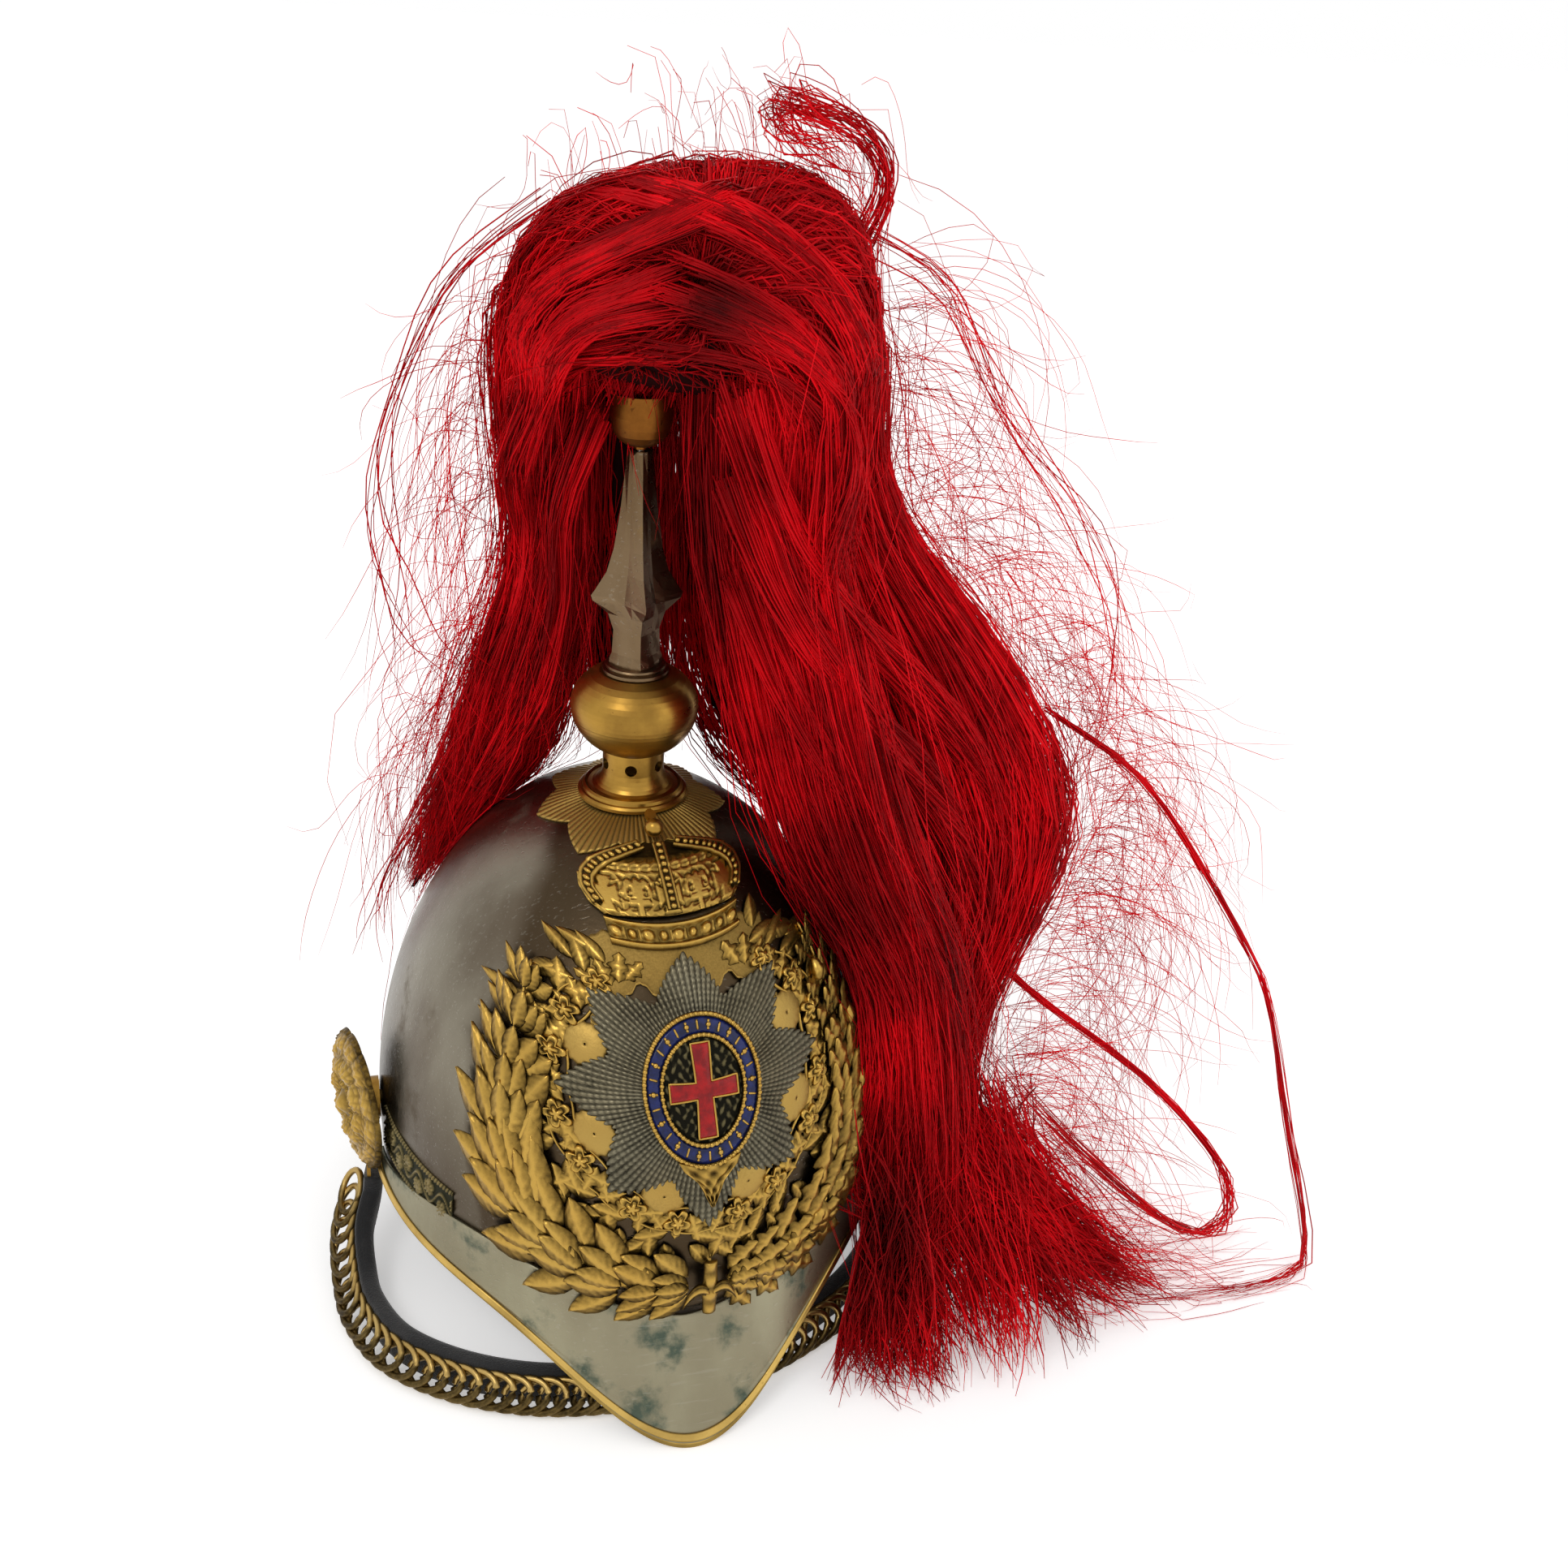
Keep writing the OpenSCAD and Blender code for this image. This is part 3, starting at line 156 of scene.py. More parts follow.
@dataclass(frozen=True)
class Finish:
    """One material. Subclasses say how their surface varies.

    Attributes:
        name: the material's name.
        colour: main colour, linear.
        second: colour of stains and wear; in the gilt and the hair also the painted shade.
        roughness: middle roughness.
        metallic: 1 for bare metal.
        grain: size of the fine pattern in features per metre.
    """

    name: str
    colour: Colour
    second: Colour
    roughness: float = 0.4
    metallic: float = 0.0
    grain: float = 400.0

    def node(self, kind: str, settings: dict[str, Any], inputs: dict[Any, Any]) -> Any:
        """Add one node of any type.

        Args:
            kind: Blender's node type.
            settings: properties, set first.
            inputs: socket name or number to a value, a Value or another node's socket.

        Returns:
            The new node.
        """
        tree = bpy.data.materials[self.name].node_tree
        made = tree.nodes.new(kind)
        for key, value in settings.items():
            setattr(made, key, value)
        for key, value in inputs.items():
            socket = made.inputs[key]
            if isinstance(value, Value):
                value = value.socket
            if isinstance(value, bpy.types.NodeSocket):
                tree.links.new(value, socket)
            elif isinstance(value, tuple) and len(value) == 3 and socket.type == "RGBA":
                socket.default_value = (*value, 1.0)
            else:
                socket.default_value = value
        return made

    def place(self, scale: tuple[float, float, float] = (1.0, 1.0, 1.0)) -> Any:
        """Object coordinates.

        Args:
            scale: stretch along each axis.

        Returns:
            The vector's socket.
        """
        at = self.node("ShaderNodeTexCoord", {}, {})
        turned = self.node("ShaderNodeMapping", {}, {0: at.outputs["Object"], 3: scale})
        return turned.outputs[0]

    def noise(self, scale: float, detail: float = 4.0, rough: float = 0.55,
              stretch: tuple[float, float, float] = (1.0, 1.0, 1.0)) -> Value:
        """Cloudy noise over the piece.

        Args:
            scale: features per metre.
            detail: octaves.
            rough: share of the fine octaves.
            stretch: scale along each axis.

        Returns:
            A value about 0.5.
        """
        made = self.node("ShaderNodeTexNoise", {}, {"Vector": self.place(stretch), "Scale": scale,
                                                    "Detail": detail, "Roughness": rough})
        return Value(self, made.outputs[0])

    def relief(self) -> Value:
        """Height attribute of the piece: 0 in a recess, 1 on a crest; on hair, the strand's tone
        with painted shade.
        """
        made = self.node("ShaderNodeAttribute", {"attribute_name": "relief"}, {})
        return Value(self, made.outputs["Fac"])

    def blend(self, share: Any, low: Any, high: Any) -> Any:
        """Mix two colours.

        Args:
            share: share of the second colour.
            low: first colour.
            high: second colour.

        Returns:
            The mixed colour's socket.
        """
        made = self.node("ShaderNodeMix", {"data_type": "RGBA"}, {0: share, 6: low, 7: high})
        return made.outputs[2]

    def surface(self, colour: Any, rough: Any, height: Optional[Value] = None,
                depth: float = 0.0002, **fixed: Any) -> None:
        """Join the shader.

        Args:
            colour: base colour, a tuple or a socket.
            rough: roughness, a number or a Value.
            height: bump height, if any.
            depth: how deep the bump is, metres.
            fixed: other constants of the shader, by name with _ for a space.
        """
        tree = bpy.data.materials[self.name].node_tree
        inputs: dict[Any, Any] = {"Base Color": colour, "Roughness": rough,
                                  "Metallic": self.metallic}
        if height is not None:
            bump = self.node("ShaderNodeBump", {}, {"Height": height, "Distance": depth,
                                                    "Strength": 1.0})
            inputs["Normal"] = bump.outputs[0]
        inputs.update({key.replace("_", " "): value for key, value in fixed.items()})
        shader = self.node("ShaderNodeBsdfPrincipled", {}, inputs)
        out = self.node("ShaderNodeOutputMaterial", {}, {})
        tree.links.new(shader.outputs[0], out.inputs[0])

    def dress(self) -> None:
        """Plain finish; subclasses replace this."""
        self.surface(self.colour, self.roughness)

    def material(self) -> Any:
        """The Blender material, made on first use."""
        if self.name not in bpy.data.materials:
            made = bpy.data.materials.new(self.name)
            made.use_nodes = True
            made.node_tree.nodes.clear()
            made.diffuse_color = (*self.colour, 1.0)
            self.dress()
        return bpy.data.materials[self.name]


@dataclass(frozen=True)
class WhiteMetal(Finish):
    """Worn white metal: broad brown clouds, a stain colour, pits and rubbed scratches.

    Attributes:
        stain: colour of the corroded patches.
        stained: share of the surface they take.
        shade: places across, metres, between which a dark brown reflection is painted on the
            front; where it is given, the metal is also painted darker towards the bottom.
        grooved: whether the recesses of the relief are blackened.
    """

    stain: Colour = (0.30, 0.33, 0.30)
    stained: float = 0.25
    shade: Optional[tuple[float, float]] = None
    grooved: bool = False

    def dress(self) -> None:
        """Clouds of tarnish over bare metal, with scratches along and across, and a painted dark
        reflection where shade is given.
        """
        cloud = self.noise(22.0, 5.0, 0.5, (1.0, 1.0, 0.45)).step(0.36, 0.66)
        patch = self.noise(48.0, 6.0, 0.62).step(0.60 - 0.2 * self.stained, 0.74)
        fine = self.noise(self.grain, 3.0, 0.6)
        scratch = self.noise(900.0, 2.0, 0.5, (0.06, 1.0, 1.0)).step(0.60, 0.72)
        base = self.blend(cloud, self.second, self.colour)
        base = self.blend(patch * self.stained * 3.0, base, self.stain)
        # Painted reflection: a dark brown band over the front stands in for a dark reflection of
        # the room; below it the metal is painted darker towards the bottom.
        if self.shade:
            at = self.node("ShaderNodeSeparateXYZ", {}, {0: self.place()})
            x, y, z = (Value(self, at.outputs[k]) for k in range(3))
            rise = (z - 0.09).most(0.0)
            edge = x - rise * 0.72 + (self.noise(14.0, 3.0) - 0.5) * 0.02
            deep = edge.step(self.shade[0] - 0.003, self.shade[0] + 0.003)
            deep = deep * (1.0 - edge.step(self.shade[1], self.shade[1] + 0.05))
            deep = deep * (1.0 - y.step(-0.015, 0.03))
            low = (1.0 - z.step(0.03, 0.085)) * 0.62
            dull = tuple(c * k for c, k in zip(self.second, (0.40, 0.32, 0.22)))
            deep = deep * (0.84 + cloud * 0.16)
            base = self.blend(deep.most(low), base, dull)
        if self.grooved:
            base = self.blend(self.relief().step(0.02, 0.18), (0.030, 0.024, 0.018), base)
        base = self.blend(scratch * 0.12, base, (0.45, 0.43, 0.37))
        rough = (self.roughness + patch * 0.25 + fine * 0.12 - scratch * 0.08).clamp()
        self.surface(base, rough, fine * 0.6 + scratch * -0.4 + patch * -0.5, 0.00012)


@dataclass(frozen=True)
class Gilt(Finish):
    """Gilt brass: painted highlight on the crests, painted shade brown and dull in the recesses.
    """

    def dress(self) -> None:
        """Painted shade in the recesses, by the relief attribute and by noise."""
        wear = self.noise(60.0, 5.0, 0.6).step(0.42, 0.68)
        fine = self.noise(self.grain, 4.0, 0.6)
        crest = (self.relief() * 1.15 - (fine - 0.5) * 0.5 - wear * 0.22).clamp()
        warm = self.blend(self.noise(35.0, 2.0), self.colour, tuple(
            c * k for c, k in zip(self.colour, (0.90, 0.78, 0.62))))
        base = self.blend(crest, self.second, warm)
        rough = (self.roughness + (1.0 - crest) * 0.25 + fine * 0.1).clamp()
        self.surface(base, rough, fine, 0.00008)


@dataclass(frozen=True)
class Spun(Finish):
    """Turned metal without relief: faint rings, worn clouds and dark specks."""

    def dress(self) -> None:
        """Rings by height above the floor, over clouds."""
        ring = self.noise(700.0, 2.0, 0.5, (0.03, 0.03, 1.0))
        cloud = self.noise(55.0, 5.0, 0.6).step(0.35, 0.72)
        speck = self.noise(500.0, 2.0, 0.5).step(0.68, 0.76)
        base = self.blend(cloud * 0.75 + speck * 0.5, self.colour, self.second)
        rough = (self.roughness + ring * 0.12 + cloud * 0.14).clamp()
        self.surface(base, rough, ring * 0.5 - speck * 0.5, 0.00006)


@dataclass(frozen=True)
class Enamel(Finish):
    """Glassy enamel, slightly uneven."""

    def dress(self) -> None:
        """Clouded colour under a clear coat."""
        cloud = self.noise(self.grain, 3.0).step(0.3, 0.7)
        base = self.blend(cloud, self.second, self.colour)
        self.surface(base, self.roughness, cloud, 0.00005, Coat_Weight=0.15,
                     Coat_Roughness=0.08, Specular_IOR_Level=0.25)


@dataclass(frozen=True)
class Hide(Finish):
    """Leather or velvet: pebbled grain, rubbed paler in patches."""

    def dress(self) -> None:
        """Cell grain with rubbed patches."""
        cell = self.node("ShaderNodeTexVoronoi", {}, {"Vector": self.place(),
                                                      "Scale": self.grain})
        pebble = Value(self, cell.outputs[0])
        rub = self.noise(45.0, 4.0).step(0.45, 0.75)
        base = self.blend(rub, self.colour, self.second)
        self.surface(base, (self.roughness + rub * -0.15).clamp(),
                     pebble + self.noise(self.grain * 2.0) * 0.5, 0.00015,
                     Sheen_Weight=0.4, Sheen_Roughness=0.5)


@dataclass(frozen=True)
class Horsehair(Finish):
    """Dyed hair: each strand has its own tone, with a soft sheen."""

    def dress(self) -> None:
        """Tone by the strand attribute, which carries painted shade, and by clouds."""
        tone = self.relief()
        cloud = self.noise(38.0, 3.0).step(0.3, 0.72)
        base = self.blend((tone * (0.72 + cloud * 0.5)).clamp(), self.second, self.colour)
        self.surface(base, self.roughness, None, 0.0, Specular_IOR_Level=0.08)


@dataclass(frozen=True)
class Backdrop(Finish):
    """Matte floor that looks whiter to the camera and in reflections, keeping its shadow.

    Attributes:
        lift: light added where the floor is seen.
    """

    lift: float = 0.38

    def dress(self) -> None:
        """Matte white with a little emission for the rays that see the background."""
        path = self.node("ShaderNodeLightPath", {}, {})
        seen = Value(self, path.outputs["Is Camera Ray"])
        for kind in ("Is Glossy Ray", "Is Transmission Ray"):
            seen = seen.most(path.outputs[kind])
        glow = self.blend(seen, (0.0, 0.0, 0.0), (1.0, 1.0, 1.0))
        self.surface(self.colour, self.roughness, Emission_Color=glow,
                     Emission_Strength=self.lift)


class Dye(Enum):
    """The finishes on the helmet."""

    # The skull's last pair gives where a dark brown reflection is painted on its front.
    SKULL = WhiteMetal("tarnished_white_metal", (0.225, 0.20, 0.15), (0.125, 0.098, 0.068), 0.27,
                       1.0, 500.0, (0.13, 0.10, 0.066), 0.2, (-0.069, 0.040))
    PEAK = WhiteMetal("stained_peak_metal", (0.36, 0.335, 0.225), (0.26, 0.23, 0.15), 0.38, 1.0,
                      500.0, (0.09, 0.115, 0.085), 0.42, grooved=True)
    SPIKE = WhiteMetal("silvered_spike", (0.205, 0.14, 0.078), (0.12, 0.07, 0.032), 0.25, 1.0,
                       600.0, (0.22, 0.14, 0.06), 0.3)
    GILT = Gilt("gilt_relief", (0.52, 0.34, 0.080), (0.034, 0.020, 0.006), 0.24, 1.0, 700.0)
    FROSTED = Gilt("frosted_gilt", (0.44, 0.30, 0.085), (0.15, 0.095, 0.026), 0.40, 1.0, 1500.0)
    CHAIN = Gilt("chain_brass", (0.46, 0.33, 0.12), (0.045, 0.030, 0.011), 0.28, 1.0, 600.0)
    TARNISHED = Gilt("tarnished_foliage", (0.27, 0.22, 0.10), (0.030, 0.030, 0.017), 0.40, 1.0,
                     700.0)
    SPUN = Spun("spun_gilt", (0.40, 0.225, 0.042), (0.21, 0.11, 0.022), 0.23, 1.0, 500.0)
    COPPER = Spun("cup_copper", (0.30, 0.11, 0.018), (0.12, 0.042, 0.008), 0.25, 1.0, 500.0)
    BINDING = Spun("peak_binding_brass", (0.60, 0.40, 0.11), (0.34, 0.22, 0.06), 0.27, 1.0,
                   500.0)
    OLD = Spun("aged_brass", (0.30, 0.20, 0.07), (0.15, 0.095, 0.04), 0.40, 1.0, 500.0)
    STEEL = Spun("bright_steel", (0.50, 0.50, 0.48), (0.28, 0.26, 0.23), 0.28, 1.0, 500.0)
    STAR = Gilt("oxidised_silver_star", (0.22, 0.205, 0.145), (0.018, 0.016, 0.011), 0.30, 1.0,
                900.0)
    GROUND = Gilt("blackened_ground", (0.13, 0.115, 0.06), (0.014, 0.013, 0.009), 0.42, 1.0,
                  900.0)
    BLUE = Enamel("ring_blue_enamel", (0.012, 0.022, 0.14), (0.006, 0.009, 0.045), 0.22, 0.0,
                  300.0)
    RED = Enamel("cross_red_enamel", (0.42, 0.004, 0.005), (0.20, 0.002, 0.003), 0.25, 0.0, 300.0)
    VELVET = Hide("black_velvet_strap", (0.004, 0.004, 0.005), (0.014, 0.013, 0.013), 0.9, 0.0,
                  1500.0)
    LINER = Hide("liner_leather", (0.16, 0.075, 0.03), (0.26, 0.14, 0.065), 0.6, 0.0, 900.0)
    CORD = Hide("off_white_lace", (0.52, 0.46, 0.34), (0.34, 0.28, 0.19), 0.8, 0.0, 1500.0)
    HAIR = Horsehair("red_horsehair", (0.97, 0.004, 0.011), (0.035, 0.0002, 0.0004), 0.42)
    SHADOW = Horsehair("horsehair_shadow", (0.085, 0.0006, 0.0012), (0.015, 0.0002, 0.0003), 0.7)

    @property
    def made(self) -> Any:
        """The material."""
        return self.value.material()


# ---------------------------------------------------------------- meshes


def ease(x: Array) -> Array:
    """Smooth rise 3x^2 - 2x^3 of a share held between 0 and 1."""
    x = np.clip(x, 0.0, 1.0)
    return x * x * (3.0 - 2.0 * x)


def saw(x: Array) -> Array:
    """Triangle wave of period 1: 1 at whole numbers, 0 halfway."""
    return np.abs(x - np.floor(x) - 0.5) * 2.0


def hump(x: Any, middle: float, wide: float) -> Any:
    """Bell curve exp(-((x - middle) / wide)^2)."""
    return np.exp(-((x - middle) / wide) ** 2)


def turns(count: int, way: int = 1) -> Array:
    """Even turns round a circle in radians, the last one left out."""
    return np.arange(count) * way * 2 * math.pi / count


def span(rows: int, cols: int) -> tuple[Array, Array]:
    """Shares from 0 to 1 down a column and from -1 to 1 along a row."""
    return np.linspace(0, 1, rows)[:, None], np.linspace(-1, 1, cols)[None]


def unit(v: Array, least: float = 0.0) -> Array:
    """Directions of length one."""
    return v / (np.linalg.norm(v, axis=-1, keepdims=True) + least)


def bezier(s: Array, p0: Array, p1: Array, p2: Array, p3: Array) -> Array:
    """Cubic curves (1-s)^3 p0 + 3 s (1-s)^2 p1 + 3 s^2 (1-s) p2 + s^3 p3."""
    return ((1 - s) ** 3 * p0[:, None] + 3 * s * (1 - s) ** 2 * p1[:, None]
            + 3 * s ** 2 * (1 - s) * p2[:, None] + s ** 3 * p3[:, None])


def grid_quads(rows: int, cols: int, wrap_rows: bool = False, wrap_cols: bool = False) -> Array:
    """Faces of a grid of points, outward when rows run up and columns run right.

    Args:
        rows: number of rows.
        cols: number of columns.
        wrap_rows: whether the last row meets the first.
        wrap_cols: whether the last column meets the first.

    Returns:
        An array of four corners per face.
    """
    i, j = np.meshgrid(np.arange(rows - (not wrap_rows)), np.arange(cols - (not wrap_cols)),
                       indexing="ij")
    a, b = (i + 1) % rows, (j + 1) % cols
    return np.stack([i * cols + j, i * cols + b, a * cols + b, a * cols + j], -1).reshape(-1, 4)


class Shape:
    """Points and faces gathered for one piece."""

    def __init__(self) -> None:
        """Start empty."""
        self.points: list[Array] = []
        self.faces: list[Array] = []
        self.crests: list[Array] = []
        self.count = 0

    def add(self, points: Array, faces: Sequence[Array], crest: Any = 1.0) -> "Shape":
        """Add one part.

        Args:
            points: an array of points in millimetres, any leading shape.
            faces: arrays of corners, each with faces of one size.
            crest: relief height for all points, or one for each.

        Returns:
            This shape.
        """
        flat = points.reshape(-1, 3)
        if self.enclosed(flat, faces) < 0:
            faces = [f[:, ::-1] for f in faces]
        self.points.append(flat)
        self.crests.append(np.broadcast_to(np.asarray(crest, float).reshape(-1), (len(flat),))
                           if np.size(crest) in (1, len(flat)) else np.ones(len(flat)))
        self.faces.extend(f + self.count for f in faces if len(f))
        self.count += len(flat)
        return self

    @staticmethod
    def enclosed(points: Array, faces: Sequence[Array]) -> float:
        """Signed volume of closed faces: the sum over their triangles of a . (b x c) / 6.

        Args:
            points: rows of points.
            faces: arrays of corners.

        Returns:
            The volume, negative if the faces point inwards.
        """
        total = 0.0
        middle = points.mean(0)
        for f in faces:
            p = points[f] - middle
            for k in range(1, f.shape[1] - 1):
                total += float(np.einsum("ij,ij->", p[:, 0], np.cross(p[:, k], p[:, k + 1])))
        return total / 6.0

    def shell(self, front: Array, back: Array, crest: Any = 1.0, wrap: bool = False) -> "Shape":
        """Add a closed sheet between two grids of points.

        Args:
            front: outer grid, rows up and columns to the right seen from outside.
            back: inner grid of the same shape.
            crest: relief height of the front points.
            wrap: whether the last column meets the first.

        Returns:
            This shape.
        """
        n, m = front.shape[:2]
        quads = grid_quads(n, m, wrap_cols=wrap)
        size = n * m
        j = np.arange(m if wrap else m - 1)
        k = (j + 1) % m
        end = (n - 1) * m
        rims = [np.stack([j + size, k + size, k, j], -1),
                np.stack([end + j, end + k, end + k + size, end + j + size], -1)]
        if not wrap:
            i = np.arange(n - 1) * m
            right = i + m - 1
            rims += [np.stack([i + size, i, i + m, i + m + size], -1),
                     np.stack([right, right + size, right + m + size, right + m], -1)]
        lift = np.broadcast_to(np.asarray(crest, float), (n, m)).reshape(-1)
        return self.add(np.concatenate([front.reshape(-1, 3), back.reshape(-1, 3)]),
                        [quads, quads[:, ::-1] + size, *rims], np.concatenate([lift, lift * 0.2]))

    def tube(self, rings: Array, crest: Any = 1.0) -> "Shape":
        """Add a closed body given as rings of points.

        Args:
            rings: rings by points of a ring by 3.
            crest: relief height for all points, or one for each.

        Returns:
            This shape.
        """
        rows, cols = rings.shape[:2]
        end = np.arange(cols)[None]
        return self.add(rings, [grid_quads(rows, cols, wrap_cols=True), end[:, ::-1],
                                end + (rows - 1) * cols], crest)

    def tubes(self, paths: Array, radii: Array, sides: int, crest: Any = 1.0,
              ring: bool = False, flat: float = 1.0, ref: Sequence[float] = (0.11, 1.0, 0.07)
              ) -> "Shape":
        """Add round tubes: at each point of a path, a circle square to the way it runs.

        Args:
            paths: points of the middle lines, paths by points by 3.
            radii: radius at each point, broadcast to paths by points.
            sides: number of sides.
            crest: relief height, broadcast to paths by points by sides.
            ring: whether each path closes on itself.
            flat: thickness across the second direction as a share of the first.
            ref: direction that the circles' first corner is turned away from.

        Returns:
            This shape.
        """
        s, n = paths.shape[:2]
        if ring:
            run = np.roll(paths, -1, 1) - np.roll(paths, 1, 1)
        else:
            run = np.gradient(paths, axis=1)
        run = unit(run, TINY)
        side = unit(np.cross(run, np.asarray(ref, float)), TINY)
        up = np.cross(run, side)
        a = turns(sides)
        r = np.broadcast_to(radii, (s, n))[..., None, None]
        rings = paths[:, :, None] + r * (np.cos(a)[:, None] * side[:, :, None]
                                         + flat * np.sin(a)[:, None] * up[:, :, None])
        quads = grid_quads(n, sides, wrap_rows=ring, wrap_cols=True)
        start = np.arange(s)[:, None] * n * sides
        faces = [(quads[None] + start[..., None]).reshape(-1, 4)]
        if not ring:
            end = np.arange(sides)[None]
            faces += [end[:, ::-1] + start, end + (n - 1) * sides + start]
        return self.add(rings, faces, np.broadcast_to(crest, (s, n, sides)))

    def lathe(self, profile: Array, frame_of: Callable[[Array], Array], sides: int = 24,
              crest: Any = 1.0, petals: int = 0, wave: float = 0.0) -> "Shape":
        """Add a boss: a profile of radius and height turned about its axis.

        Args:
            profile: rows of radius and height, outermost first.
            frame_of: places local x, y, height on the piece.
            sides: number of steps round.
            crest: relief height of each profile row.
            petals: lobes round the rim.
            wave: share of the radius that the lobes cut.

        Returns:
            This shape.
        """
        a = turns(sides)
        k = 1.0 - wave * (0.5 - 0.5 * np.cos(petals * a)) ** 2
        r = profile[:, 0, None] * k * np.ones(sides)
        local = np.stack([r * np.cos(a), r * np.sin(a),
                          np.broadcast_to(profile[:, 1, None], r.shape)], -1)
        lift = np.broadcast_to(np.asarray(crest, float).reshape(-1, 1), r.shape)
        return self.tube(frame_of(local), lift)

    def build(self, name: str, dye: Dye, stands_for: Sequence[str], body: str = "helmet") -> Any:
        """Make the Blender piece.

        Args:
            name: the piece's name.
            dye: its finish.
            stands_for: the nodes it replaces.
            body: the body it rides on.

        Returns:
            The new object.
        """
        mesh = bpy.data.meshes.new(name)
        points = np.concatenate(self.points) * MM
        mesh.vertices.add(len(points))
        mesh.vertices.foreach_set("co", points.astype(np.float32).reshape(-1))
        totals = np.concatenate([np.full(len(f), f.shape[1]) for f in self.faces])
        corners = np.concatenate([f.reshape(-1) for f in self.faces])
        mesh.loops.add(len(corners))
        mesh.loops.foreach_set("vertex_index", corners.astype(np.int32))
        mesh.polygons.add(len(totals))
        starts = np.concatenate([[0], np.cumsum(totals)[:-1]])
        mesh.polygons.foreach_set("loop_start", starts.astype(np.int32))
        mesh.polygons.foreach_set("use_smooth", np.full(len(totals), True))
        mesh.update(calc_edges=True)
        mesh.validate()
        crest = mesh.attributes.new("relief", "FLOAT", "POINT")
        crest.data.foreach_set("value", np.concatenate(self.crests).astype(np.float32))
        piece = bpy.data.objects.new(name, mesh)
        bpy.context.scene.collection.objects.link(piece)
        mesh.materials.append(dye.made)
        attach(piece, body)
        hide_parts(*stands_for)
        LOG.info("%s: %d points, %d faces, rides on %s", name, len(points), len(totals), body)
        return piece


# ---------------------------------------------------------------- the skull's form


